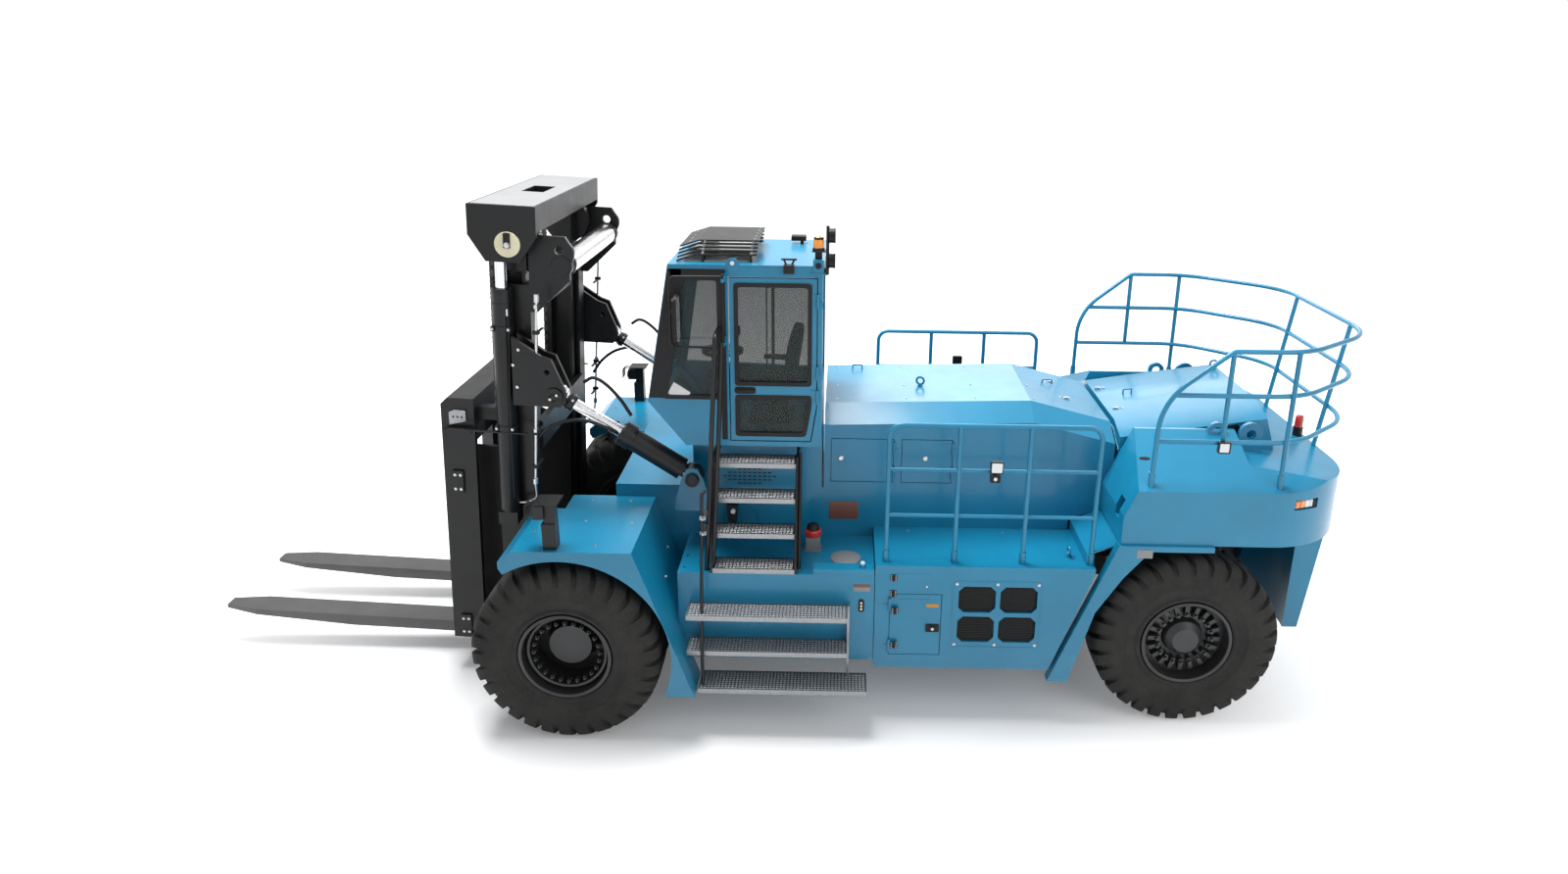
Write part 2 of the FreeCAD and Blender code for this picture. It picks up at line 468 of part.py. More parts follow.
# ---------------------------------------------------------------- chassis and body
def chassis():
    length = "wheelbase + narrow_start - chassis_box"
    pieces = [box("main_box", (length, "2 * chassis_half", "deck_low - chassis_low"),
                  (aft("narrow_start"), "-chassis_half", "chassis_low")),
              box("axle_hanger_rear", ("hanger_thick", "2 * narrow_half", "spine_low - hanger_low + 5"),
                  (f"{REAR_AXLE} - steer_beam / 2 - 30 - hanger_thick", "-narrow_half", "hanger_low")),
              box("axle_hanger_front", ("hanger_thick", "2 * narrow_half", "spine_low - hanger_low + 5"),
                  (f"{REAR_AXLE} + steer_beam / 2 + 30", "-narrow_half", "hanger_low")),
              box("spine", ("chassis_rear - narrow_start", "2 * narrow_half", "weight_low - spine_low"),
                  (aft("chassis_rear"), "-narrow_half", "spine_low"))]
    for side in (1, -1):
        face = "chassis_half - cheek_thick" if side > 0 else "-chassis_half"
        cheek = prism(f"cheek_{side + 1}", "XZ", [
            ("axle_x + chassis_front", "deck_low"), (back("chassis_box"), "deck_low"),
            (back("chassis_box"), "chassis_low"), (back("chassis_front"), "cheek_low"),
            ("axle_x + chassis_front", "cheek_low")], face, "cheek_thick")
        ear = prism(f"mast_ear_{side + 1}", "XZ", [
            ("axle_x + chassis_front - 20", "pivot_z - pivot_eye"),
            ("axle_x + pivot_x + pivot_eye / 2", "pivot_z - pivot_eye"),
            ("axle_x + pivot_x + pivot_eye", "pivot_z - pivot_eye / 2"),
            ("axle_x + pivot_x + pivot_eye", "pivot_z + pivot_eye / 2"),
            ("axle_x + pivot_x + pivot_eye / 2", "pivot_z + pivot_eye"),
            ("axle_x + chassis_front - 20", "pivot_z + pivot_eye + 60")], face, "cheek_thick")
        pin_y = "chassis_half - cheek_thick" if side > 0 else "-(chassis_half + pivot_ear + 40)"
        pin = rod(f"mast_pin_{side + 1}", "pivot_pin", "cheek_thick + pivot_ear + 40",
                  ("axle_x + pivot_x", pin_y, "pivot_z"), "Y")
        pieces += [cheek, ear, pin]
    tube_hole = rod("axle_hole", "drive_tube + running_gap", "2 * axle_end",
                    ("axle_x", "-axle_end", "tyre_radius"), "Y")
    trunnion_hole = rod("trunnion_hole", "trunnion + running_gap", "steer_beam + 400",
                        (f"{REAR_AXLE} - steer_beam / 2 - 200", "0", "tyre_radius"), "X")
    keep("chassis", cut("chassis", fuse("chassis_pieces", pieces), [tube_hole, trunnion_hole]))
    tail = box("body_tail", ("body_rear - narrow_start", "2 * body_half", "seam_z - weight_low"),
               (aft("body_rear"), "-body_half", "weight_low"))
    wall = box("body_wall", ("wheelbase + narrow_start - body_front", "2 * body_half", "seam_z - deck_low"),
               (aft("narrow_start"), "-body_half", "deck_low"))
    base = box("cab_base", ("cab_rear - cab_chin", "body_half - cab_right", "cab_floor - seam_z"),
               (back("cab_rear"), "cab_right", "seam_z"))
    pieces = [tail, wall, base]
    for side in (1, -1):
        for near in (1, -1):
            tag = f"{side + 1}{near + 1}"
            low = f"{side} * tilt_y + {near} * (tilt_wide / 2 + ear_gap + tilt_ear / 2) - tilt_ear / 2"
            pieces.append(prism("anchor_ear_" + tag, "XZ", [
                (f"{back('tilt_pin_x')} - tilt_eye - 60", "deck_step_z"),
                (f"{back('tilt_pin_x')} + tilt_eye + 60", "deck_step_z"),
                (f"{back('tilt_pin_x')} + tilt_eye", "tilt_pin_z"),
                (f"{back('tilt_pin_x')} + tilt_eye / 2", "tilt_pin_z + tilt_eye"),
                (f"{back('tilt_pin_x')} - tilt_eye / 2", "tilt_pin_z + tilt_eye"),
                (f"{back('tilt_pin_x')} - tilt_eye", "tilt_pin_z")], low, "tilt_ear"))
        span = "tilt_y + tilt_wide / 2 + ear_gap + tilt_ear - body_half"
        start = "body_half" if side > 0 else f"-(body_half + {span})"
        pieces.append(box(f"anchor_foot_{side + 1}", ("2 * (tilt_eye + 60)", span, "70"),
                          (f"{back('tilt_pin_x')} - tilt_eye - 60", start, "deck_step_z - 70")))
        pin_span = "tilt_wide + 2 * (ear_gap + tilt_ear) + 20"
        pieces.append(rod(f"anchor_pin_{side + 1}", "tilt_pin", pin_span,
                          (back("tilt_pin_x"), f"{side} * tilt_y - ({pin_span}) / 2", "tilt_pin_z"), "Y"))
    keep("body", fuse("body", pieces))
    keep("battery", box("battery", ("3000", "2 * (chassis_half - 60)", "140"),
                        (aft("narrow_start") + " + 400", "-(chassis_half - 60)", "chassis_low - 140.3")))


def front_fenders():
    sheet_piece = prism("fender_sheet", "XZ", [
        ("axle_x + fender_front", "fender_lip - 60"), ("axle_x + fender_front", "fender_lip"),
        ("axle_x + fender_flat_front", "fender_top"), (back("fender_flat_rear"), "fender_top"),
        (back("fender_foot_rear"), "fender_foot"), (back("fender_foot_front"), "fender_foot"),
        (back("fender_foot_front"), "tyre_radius"), ("axle_x", "tyre_radius")],
        "body_half", "fender_half - body_half")
    arch = rod("fender_arch", "arch_radius", "fender_half", ("axle_x", "body_half - 10", "tyre_radius"), "Y")
    notch = box("fender_notch", ("fender_front", "mast_clear - body_half + 10", "fender_top"),
                ("axle_x + 150", "body_half - 10", "tyre_radius"))
    step_cut = box("body_halfner_clear", ("fender_foot_rear - step_box_front + 10 + panel_gap",
                                          "box_side - body_half + 10 + panel_gap", "step_box_top"),
                   (back("fender_foot_rear") + " - 10", "body_half - 10", "0"))
    both_sides("fender_front", cut("fender_front_left", sheet_piece, [arch, notch, step_cut]))


def grille_pockets():
    """Four openings with cut corners, centred between the box's door and its lower rear corner."""
    space = "(wheelbase + box_rear_low - box_door_rear)"
    long = f"({space} / 2 - grille_margin - grille_bar / 2)"
    corner = f"{long} / 7"
    middle = f"axle_x - box_door_rear - {space} / 2"
    pockets = []
    for column in (0, 1):
        near = f"{middle} + grille_bar / 2 - {column} * ({long} + grille_bar)"
        far = f"{near} + {long}"
        for row in (0, 1):
            low = f"grille_low + {row} * (grille_tall + grille_bar)"
            high = f"{low} + grille_tall"
            pockets.append(prism(f"grille_pocket_{column}{row}", "XZ", [
                (f"{near} + {corner}", low), (f"{far} - {corner}", low), (far, f"{low} + {corner}"),
                (far, f"{high} - {corner}"), (f"{far} - {corner}", high), (f"{near} + {corner}", high),
                (near, f"{high} - {corner}"), (near, f"{low} + {corner}")], "box_side - grille_deep", "grille_deep + 10"))
    return pockets


def side_boxes():
    grille_box = prism("side_box_left", "XZ", [
        (back("box_front"), "box_low"), (back("box_front"), "box_top"), (aft("box_rear"), "box_top"),
        (aft("box_rear"), "box_top - 60"), (aft("box_rear_low"), "box_low")],
        "body_half", "box_side - body_half")
    moving, fixed = hinge_row("box_hinge", back("box_door_front"), "box_side",
                              ("box_door_low + 100", "box_door_high - 100"), -1)
    pocket = box("box_door_pocket", ("box_door_rear - box_door_front", "hatch_deep", "box_door_high - box_door_low"),
                 (back("box_door_rear"), "box_side - hatch_deep", "box_door_low"))
    leaf = box("box_door_leaf", ("box_door_rear - box_door_front - 2 * leaf_gap", "leaf_thick",
                                 "box_door_high - box_door_low - 2 * leaf_gap"),
               (back("box_door_rear") + " + leaf_gap", "box_side - leaf_thick", "box_door_low + leaf_gap"))
    keep("box_door", fuse("box_door", [leaf] + moving))
    keep("side_box_left", fuse("side_box_near", [cut("side_box_cut", grille_box, [pocket] + grille_pockets())] + fixed))
    keep("side_box_right", mirrored(grille_box, "side_box_far"))
    step_box = box("step_box_left", ("box_front - step_box_front - panel_gap", "box_side - body_half",
                                     "step_box_top - step_box_low"),
                   (back("box_front") + " + panel_gap", "body_half", "step_box_low"))
    both_sides("step_box", step_box)


def lower_steps():
    pieces = []
    for level in (1, 2):
        pieces.append(box(f"step_tread_{level}", ("tread_rear - tread_front", "fender_half - tread_inset - box_side", "tread_thick"),
                          (back("tread_rear"), "box_side", f"tread_z + {level} * tread_pitch - tread_thick")))
    pieces.append(box("step_tread_0", ("sill_rear - sill_front", "fender_half - tread_inset + 50 - box_side", "tread_thick"),
                      (back("sill_rear"), "box_side", "tread_z - tread_thick")))
    pieces.append(box("step_side_front", ("20", "60", "2 * tread_pitch + 60"),
                      (back("sill_front") + " - 20", "box_side", "tread_z - tread_thick")))
    pieces.append(box("step_side_rear", ("20", "60", "2 * tread_pitch + 60"),
                      (back("tread_rear") + " - 20", "box_side", "tread_z - tread_thick")))
    keep("lower_steps", fuse("lower_steps", pieces))


def ladder():
    pieces = []
    for level in range(4):
        out = f"ladder_out - {level} * ladder_lean"
        pieces.append(box(f"ladder_tread_{level}", ("ladder_rear - ladder_front", "ladder_tread", "tread_thick"),
                          (back("ladder_rear"), f"{out} - ladder_tread",
                           f"step_box_top + {level} * ladder_pitch")))
    for tag, edge in (("front", back("ladder_front")), ("rear", back("ladder_rear") + " - ladder_side")):
        pieces.append(prism("ladder_side_" + tag, "YZ", [
            ("ladder_out", "step_box_top"), ("ladder_out", "step_box_top + 100"),
            ("ladder_out - 3 * ladder_lean", "step_box_top + 3 * ladder_pitch + 100"),
            ("body_half", "step_box_top + 3 * ladder_pitch + 100"),
            ("body_half", "step_box_top + 3 * ladder_pitch"),
            ("ladder_out - 3 * ladder_lean - 140", "step_box_top + 3 * ladder_pitch"),
            ("ladder_out - 140", "step_box_top")], edge, "ladder_side"))
    top = (back("grab_x"), "grab_y", "grab_top")
    pieces.append(tube_along("ladder_grab_front", [
        (back("grab_x"), "cab_left", "grab_top"), top, (back("grab_foot_x"), "grab_foot_y", "step_box_top - 10")],
        [size("grab_bend")], size("tube")))
    pieces.append(tube_along("ladder_grab_rear", [
        (back("grab_rear_x"), "ladder_out - 3 * ladder_lean - ladder_tread / 2", "grab_rear_top"),
        (back("grab_rear_x"), "ladder_out - ladder_tread / 2", "step_box_top - 10")], [], size("tube") - 4))
    keep("ladder", cut("ladder", fuse("ladder_pieces", pieces), [nodes["step_box_left"]]))


def rear_fenders():
    leg = prism("fender_rear_left", "XZ", [
        (aft("leg_foot_rear"), "leg_foot"), (aft("leg_foot_front"), "leg_foot"),
        (aft("leg_top_front"), "weight_low"), (aft("leg_top_rear"), "weight_low"),
        (aft("leg_top_rear"), "leg_lip"), (aft("leg_top_front") + " - 270", "leg_lip"),
        (aft("leg_top_front") + " - 60", "leg_lip - 260"), (aft("leg_foot_rear") + " - 190", "leg_lip - 600")],
        "leg_in", "leg_half - leg_in")
    both_sides("fender_rear", leg)


def lofted(name, sections):
    """A solid drawn straight from one cross-section outline to the next along X."""
    sketches = []
    for number, (along, points) in enumerate(sections):
        sketch = outline(f"{name}_section_{number}", points)
        place(sketch, (along, 0, 0), (1, 1, 1), 120)
        sketches.append(sketch)
    loft = doc.addObject("Part::Loft", name)
    loft.Sections = sketches
    loft.Solid = True
    loft.Ruled = True
    return loft


def roof_section(half, top_half, low, top, shoulder):
    """A housing's cross-section: two walls, two sloped shoulders and a flat top."""
    return [(f"-({half})", low), (half, low), (half, f"{top} - {shoulder}"), (top_half, top),
            (f"-({top_half})", top), (f"-({half})", f"{top} - {shoulder}")]


def hood_and_cover():
    hood = lofted("hood_solid", [
        (back("hood_front"), roof_section("body_half", "hood_top_half", "seam_z", "hood_front_z", "hood_shoulder")),
        (aft("hood_kink"), roof_section("body_half", "hood_top_half", "seam_z", "hood_kink_z", "hood_shoulder")),
        (aft("hood_rear"), roof_section("body_half", "hood_top_half", "seam_z", "hood_rear_z", "hood_shoulder"))])
    openings = []
    for number, (front, rear) in enumerate((("hatch_one_front", "hatch_one_rear"), ("hatch_two_front", "hatch_two_rear"))):
        openings.append(box(f"hatch_pocket_{number}", (f"{rear} - {front}", "hatch_deep", "hatch_high - hatch_low"),
                            (back(rear), "body_half - hatch_deep", "hatch_low")))
    hinges = []
    for word, front, rear in (("one", "hatch_one_front", "hatch_one_rear"), ("two", "hatch_two_front", "hatch_two_rear")):
        moving, fixed = hinge_row(f"hatch_{word}_hinge", back(rear), "body_half",
                                  ("hatch_low + 100", "hatch_high - 90"), 1)
        hinges += fixed
        leaf = box(f"hatch_{word}_leaf", (f"{rear} - {front} - 2 * leaf_gap", "leaf_thick",
                                          "hatch_high - hatch_low - 2 * leaf_gap"),
                   (back(rear) + " + leaf_gap", "body_half - leaf_thick", "hatch_low + leaf_gap"))
        keep(f"hatch_{word}", fuse(f"hatch_{word}", [leaf] + moving))
    keep("hood", fuse("hood", [cut("hood_shell", hood, openings)] + hinges))
    cover = lofted("rear_cover", [
        (aft("cover_front"), roof_section("cover_half", "hood_top_half", "seam_z", "cover_front_z", "hood_shoulder")),
        (aft("cover_ridge"), roof_section("cover_half", "hood_top_half", "seam_z", "cover_ridge_z", "hood_shoulder")),
        (aft("cover_rear"), roof_section("cover_half", "hood_top_half", "seam_z", "cover_rear_z", "hood_shoulder"))])
    keep("rear_cover", cover)


def counterweight():
    corner_x = aft("weight_rear") + " + weight_round"
    low_to_top = "weight_top - weight_low"
    pieces = [box("weight_main", ("weight_rear - weight_round - weight_front", "2 * weight_half", low_to_top),
                  (corner_x, "-weight_half", "weight_low")),
              box("weight_back", ("weight_round", "2 * (weight_half - weight_round)", low_to_top),
                  (aft("weight_rear"), "-(weight_half - weight_round)", "weight_low")),
              prism("weight_tail", "XZ", [
                  (aft("tail_front"), "weight_low + 20"), (aft("tail_rear") + " - 120", "weight_low + 20"),
                  (aft("tail_rear"), "tail_low"), (aft("tail_front"), "tail_low")], "-tail_half", "2 * tail_half")]
    for side in (1, -1):
        pieces.append(rod(f"weight_corner_{side + 1}", "weight_round", low_to_top,
                          (corner_x, f"{side} * (weight_half - weight_round)", "weight_low")))
    tools = [box("cover_recess", ("cover_rear - weight_front + 10 + panel_gap", "2 * (body_half + panel_gap)", "1000"),
                 (aft("cover_rear") + " - panel_gap", "-(body_half + panel_gap)", "seam_z - 0.3"))]
    tools.append(prism("weight_crown", "XZ", [
        (aft("cover_rear"), "weight_top + 1"), (aft("weight_rear") + " - 10", "weight_top + 1"),
        (aft("weight_rear") + " - 10", "weight_edge + 30"), (aft("cover_rear"), "weight_edge + 130")],
        "-weight_half", "2 * weight_half"))
    for side in (1, -1):
        slope = prism(f"weight_slope_{side + 1}", "YZ", [
            (f"{side} * (body_half + 40)", "weight_top"), (f"{side} * (weight_half + 1)", "weight_edge"),
            (f"{side} * (weight_half + 1)", "weight_top + 10"), (f"{side} * (body_half + 40)", "weight_top + 10")],
            aft("weight_rear") + " - 10", "weight_rear - weight_front + 20")
        tools.append(slope)
        front = prism(f"weight_nose_{side + 1}", "XZ", [
            (aft("weight_front") + " + 1", "weight_top + 10"), (aft("weight_front") + " - 240", "weight_top + 10"),
            (aft("weight_front") + " + 1", "weight_low + 260")],
            "body_half" if side > 0 else "-(weight_half + 1)", "weight_half + 1 - body_half")
        tools.append(front)
    swing = "sqrt(tyre_radius^2 + (steer_track + tyre_width / 2 - kingpin_track)^2)"
    for side in (1, -1):
        tools.append(rod(f"wheel_well_{side + 1}", f"{swing} + steer_clear", "weight_low - tail_low + 20",
                         (REAR_AXLE, f"{side} * kingpin_track", "tail_low - 20")))
    for side in (1, -1):
        tools.append(box(f"weight_notch_{side + 1}", ("notch_wide", "notch_wide", "notch_tall"),
                         (aft("weight_front") + " - notch_wide", f"{side} * notch_y - notch_wide / 2", "notch_z")))
        slot = box(f"lamp_slot_{side + 1}", ("slot_long", "slot_deep + 30", "slot_tall"), (
            f"{corner_x} - weight_round * sin(slot_turn) - slot_long / 2 * cos(slot_turn) + slot_deep * sin(slot_turn)",
            "weight_half - weight_round + weight_round * cos(slot_turn) - slot_long / 2 * sin(slot_turn)"
            " - slot_deep * cos(slot_turn)", "slot_z"))
        slot.Placement.Rotation = FreeCAD.Rotation(Vec(0, 0, 1), 90)
        slot.setExpression("Placement.Rotation.Angle", bound("slot_turn"))
        tools.append(slot if side > 0 else mirrored(slot, "lamp_slot_far"))
    keep("counterweight", fuse("counterweight", [cut("weight_cut", fuse("weight_pieces", pieces), tools)]
                               + lifting_lugs()))


def lifting_lugs():
    """Two round-topped plates with an eye on each side of the deck beside the rear cover."""
    lugs = []
    for side in (1, -1):
        start = f"{side} * lug_y - lug_plate / 2"
        for word, along, radius in (("rear", "lug_rear", "lug_big"), ("front", "lug_front", "lug_small")):
            name = f"lug_{word}_{side + 1}"
            centre = (aft(along), start, f"weight_top + 88 - {radius}")
            plate = fuse(name + "_plate", [
                rod(name + "_head", radius, "lug_plate", centre, "Y"),
                box(name + "_foot", (f"2 * {radius}", "lug_plate", f"weight_top - weight_edge + 88 - {radius}"),
                    (f"{aft(along)} - {radius}", start, "weight_edge"))])
            lugs.append(cut(name, plate, [rod(name + "_eye", "lug_eye", "lug_plate + 20",
                                              (centre[0], f"{start} - 10", centre[2]), "Y")]))
    return lugs


# ---------------------------------------------------------------- cab
def between(first, last, share):
    """The expression of a point some share of the way between two outline corners."""
    return tuple(f"({a}) + {share} * (({b}) - ({a}))" for a, b in zip(first, last))


CHIN = (back("cab_chin"), "cab_floor")
NOSE = (back("cab_nose"), "cab_nose_z")
BROW = (back("cab_brow"), "cab_roof")
REAR_TOP = (back("cab_rear"), "cab_roof")
REAR_LOW = (back("cab_rear"), "cab_floor")


def shifted(corner, along, up):
    """A corner moved by two lengths."""
    return (f"{corner[0]} + ({along})", f"{corner[1]} + ({up})")


def door_outline(margin):
    """The door's outline, drawn in by a margin."""
    return [(f"{back('door_front')} - ({margin})", f"door_low + ({margin})"),
            (f"{back('door_front')} - ({margin})", f"(cab_roof - door_head) - ({margin})"),
            (f"{back('door_rear')} + ({margin})", f"(cab_roof - door_head) - ({margin})"),
            (f"{back('door_rear')} + ({margin})", f"door_low + 320"),
            (f"{back('door_rear')} + 50 + ({margin})", f"door_low + ({margin})")]


def quarter_window():
    """The fixed window between the windscreen post and the door."""
    return [(f"{back('cab_nose')} - 150", "cab_nose_z"), (f"{back('cab_brow')} - 110", "cab_roof - 110"),
            (f"{back('door_front')} + 70", "cab_roof - 110"), (f"{back('door_front')} + 70", "cab_floor + 110"),
            (f"{back('cab_chin')} - 60", "cab_floor + 110")]


def side_window():
    """The long window of the cab's right wall."""
    return [(f"{back('cab_nose')} - 150", "cab_nose_z"), (f"{back('cab_brow')} - 110", "cab_roof - 110"),
            (f"{back('cab_rear')} + 110", "cab_roof - 110"), (f"{back('cab_rear')} + 110", "cab_nose_z - 40")]


def screen_band(low_share, high_share, thick_out, thick_in):
    """A slice of the slanted windscreen plane between two shares of its height."""
    low = between(NOSE, BROW, low_share)
    high = between(NOSE, BROW, high_share)
    return [shifted(low, thick_out, 0), shifted(high, thick_out, 0), shifted(high, f"-({thick_in})", 0),
            shifted(low, f"-({thick_in})", 0)]


def cab():
    width = "cab_left - cab_right"
    shell = prism("cab_outside", "XZ", [CHIN, NOSE, BROW, REAR_TOP, REAR_LOW], "cab_right", width)
    inside = prism("cab_inside", "XZ", [
        shifted(CHIN, "-30", "cab_wall"), shifted(NOSE, "-cab_wall - 8", "10"),
        shifted(BROW, "-cab_wall", "-roof_thick"),
        shifted(REAR_TOP, "cab_wall", "-roof_thick"), shifted(REAR_LOW, "cab_wall", "cab_wall")],
        "cab_right + cab_wall", f"{width} - 2 * cab_wall")
    screen = prism("screen_opening", "XZ", screen_band(0.03, 0.93, "20", "120"),
                   "cab_right + 90", f"{width} - 180")
    lower = prism("lower_screen_opening", "XZ", [
        shifted(CHIN, "40", "70"), shifted(NOSE, "10", "-50"), shifted(NOSE, "-120", "-50"), shifted(CHIN, "-90", "70")],
        "cab_right + 90", f"{width} - 180")
    door_hole = prism("door_opening", "XZ", door_outline("0"), "cab_left - cab_wall - 10", "cab_wall + 20")
    quarter = prism("quarter_opening", "XZ", quarter_window(), "cab_left - cab_wall - 10", "cab_wall + 20")
    right = prism("right_opening", "XZ", side_window(), "cab_right - 10", "cab_wall + 20")
    rear = box("rear_opening", ("cab_wall + 20", f"{width} - 220", "cab_roof - cab_nose_z - 110"),
               (back("cab_rear") + " - 10", "cab_right + 110", "cab_nose_z"))
    moving, fixed = hinge_row("cab_hinge", back("door_rear"), "cab_left",
                              ("door_low + 420", "door_split + 160", "(cab_roof - door_head) - 200"), 1)
    shell = cut("cab_shell", shell, [inside, screen, lower, door_hole, quarter, right, rear])
    keep("cab", fuse("cab", [shell] + fixed))
    pane = "pane_thick"
    panes = [prism("screen_pane", "XZ", screen_band(0.03, 0.93, "-12", "12 + pane_thick"),
                   "cab_right + 90", f"{width} - 180"),
             prism("quarter_pane", "XZ", quarter_window(), "cab_left - 12 - pane_thick", pane),
             prism("right_pane", "XZ", side_window(), "cab_right + 12", pane),
             box("rear_pane", (pane, f"{width} - 220", "cab_roof - cab_nose_z - 110"),
                 (back("cab_rear") + " + 12", "cab_right + 110", "cab_nose_z"))]
    glass = doc.addObject("Part::Compound", "cab_glass")
    glass.Links = panes
    keep("cab_glass", glass)
    door_slab = prism("door_slab", "XZ", door_outline("door_gap"), "cab_left - door_thick", "door_thick")
    upper = [(f"{back('door_front')} - door_rail", "door_split + 50"),
             (f"{back('door_front')} - door_rail", "(cab_roof - door_head) - door_rail"),
             (f"{back('door_rear')} + door_rail", "(cab_roof - door_head) - door_rail"),
             (f"{back('door_rear')} + door_rail", "door_split + 50")]
    lower_pane = [(f"{back('door_front')} - door_rail", "door_low + door_rail"),
                  (f"{back('door_front')} - door_rail", "door_split - 60"),
                  (f"{back('door_rear')} + door_rail", "door_split - 60"),
                  (f"{back('door_rear')} + door_rail", "door_low + 320"),
                  (f"{back('door_rear')} + door_rail + 45", "door_low + door_rail")]
    window_cuts = [prism("door_upper_cut", "XZ", upper, "cab_left - door_thick - 10", "door_thick + 20"),
                   prism("door_lower_cut", "XZ", lower_pane, "cab_left - door_thick - 10", "door_thick + 20")]
    keep("cab_door", fuse("cab_door", [cut("door_frame", door_slab, window_cuts)] + moving))
    door_panes = [prism("door_upper_pane", "XZ", upper, "cab_left - 12 - pane_thick", pane),
                  prism("door_lower_pane", "XZ", lower_pane, "cab_left - 12 - pane_thick", pane)]
    door_glass = doc.addObject("Part::Compound", "door_glass")
    door_glass.Links = door_panes
    keep("door_glass", door_glass)
    seat_and_console()
    roof_guard()


def seat_and_console():
    rear = f"{back('cab_rear')} + seat_rear"
    middle = "(cab_left + cab_right) / 2"
    floor = "cab_floor + cab_wall"
    cushion = prism("seat_cushion", "XZ", [
        (f"{rear} + 60", f"{floor} + 270"), (f"{rear} + 60 + seat_deep - 60", f"{floor} + 270"),
        (f"{rear} + 60 + seat_deep", f"{floor} + 330"), (f"{rear} + 60 + seat_deep - 30", f"{floor} + 400"),
        (f"{rear} + 60", f"{floor} + 380")], f"{middle} - seat_wide / 2", "seat_wide")
    back_rest = prism("seat_back", "XZ", [
        (f"{rear} + 70", f"{floor} + 290"), (f"{rear} + 190", f"{floor} + 290"),
        (f"{rear} + 110", f"{floor} + 270 + seat_tall"), (f"{rear} + 60", f"{floor} + 300 + seat_tall"),
        (f"{rear}", f"{floor} + 280 + seat_tall"), (f"{rear} - 10", f"{floor} + 480")],
        f"{middle} - seat_wide / 2 + 15", "seat_wide - 30")
    plinth = prism("seat_plinth", "XZ", [
        (f"{rear} + 90", floor), (f"{rear} + 90 + seat_plinth", floor),
        (f"{rear} + 50 + seat_plinth", f"{floor} + 275"), (f"{rear} + 130", f"{floor} + 275")],
        f"{middle} - seat_plinth / 2", "seat_plinth")
    keep("seat", fuse("seat", [plinth, cushion, back_rest]))
    front = back("cab_chin")
    post = prism("console_post", "XZ", [
        (f"{front} - 250", floor), (f"{front} - 100", floor), (f"{front} - 130", f"{floor} + 420"),
        (f"{front} - 210", f"{floor} + 560"), (f"{front} - 300", f"{floor} + 520"), (f"{front} - 230", f"{floor} + 380")],
        f"{middle} - 130", "260")
    column = rod("console_column", "25", "140", (f"{front} - 260", middle, f"{floor} + 500"))
    wheel = rod("console_wheel", "wheel_ring", "28", (f"{front} - 260", middle, f"{floor} + 620"))
    hole = rod("console_wheel_hole", "wheel_ring - 32", "40", (f"{front} - 260", middle, f"{floor} + 614"))
    spoke = box("console_spoke", ("2 * wheel_ring - 30", "50", "20"),
                (f"{front} - 260 - wheel_ring + 15", f"{middle} - 25", f"{floor} + 622"))
    keep("console", fuse("console", [post, column, cut("console_rim", wheel, [hole]), spoke]))


def roof_guard():
    """A plate over the roof window with slats that step down on both its long sides."""
    front = back("guard_nose")
    rear = f"{front} - guard_long"
    near = "(cab_right + guard_inset)"
    count = 4
    plate_half = f"(guard_wide / 2 - {count} * slat_step)"
    middle = f"({near} + guard_wide / 2)"

    def slat(name, start, wide, top):
        """One bent strip along the roof, its nose dipped to the front."""
        return prism(name, "XZ", [
            (rear, top), (f"{front} - slat_bend", top), (front, f"{top} - slat_dip"),
            (front, f"{top} - slat_dip - slat_thick"), (f"{front} - slat_bend", f"{top} - slat_thick"),
            (rear, f"{top} - slat_thick")], start, wide)

    top = f"cab_roof + slat_low + {count} * slat_drop"
    pieces = [slat("guard_plate", f"{middle} - {plate_half}", f"2 * {plate_half}", top)]
    for number in range(1, count + 1):
        level = f"{top} - {number} * slat_drop"
        out = f"{plate_half} + {number} * slat_step"
        pieces.append(slat(f"guard_slat_near_{number}", f"{middle} + {out} - slat_wide", "slat_wide", level))
        pieces.append(slat(f"guard_slat_far_{number}", f"{middle} - {out}", "slat_wide", level))
    for word, along in (("front", f"{front} - slat_bend - 60"), ("rear", f"{rear} + 40")):
        pieces.append(prism("guard_frame_" + word, "YZ", [
            (near, "cab_roof"), (near, "cab_roof + slat_low - slat_thick / 2"),
            (f"{middle} - {plate_half}", f"{top} - slat_thick / 2"), (f"{middle} + {plate_half}", f"{top} - slat_thick / 2"),
            (f"{near} + guard_wide", "cab_roof + slat_low - slat_thick / 2"), (f"{near} + guard_wide", "cab_roof")],
            along, "20"))
    keep("roof_guard", fuse("roof_guard", pieces))


# ---------------------------------------------------------------- hinges
def hinge_half(name, edge_x, face_y, low, toward, long_leaf):
    """One half of a surface hinge: a round knuckle on the face and its flat leaf to one side."""
    knuckle_half = rod(name + "_knuckle", "knuckle_radius", "knuckle_long", (edge_x, f"{face_y} + knuckle_radius", low))
    start = edge_x if toward > 0 else f"{edge_x} - {long_leaf}"
    leaf = box(name + "_leaf", (long_leaf, "hinge_leaf", "knuckle_long"), (start, face_y, low))
    return fuse(name, [knuckle_half, leaf])


def hinge_row(name, edge_x, face_y, heights, toward):
    """The moving and the fixed halves of a door's hinges."""
    moving = []
    fixed = []
    for number, height in enumerate(heights):
        moving.append(hinge_half(f"{name}_moving_{number}", edge_x, face_y, height, toward, "55"))
        fixed.append(hinge_half(f"{name}_fixed_{number}", edge_x, face_y,
                                f"{height} - knuckle_long - running_gap", -toward, "45"))
    return moving, fixed


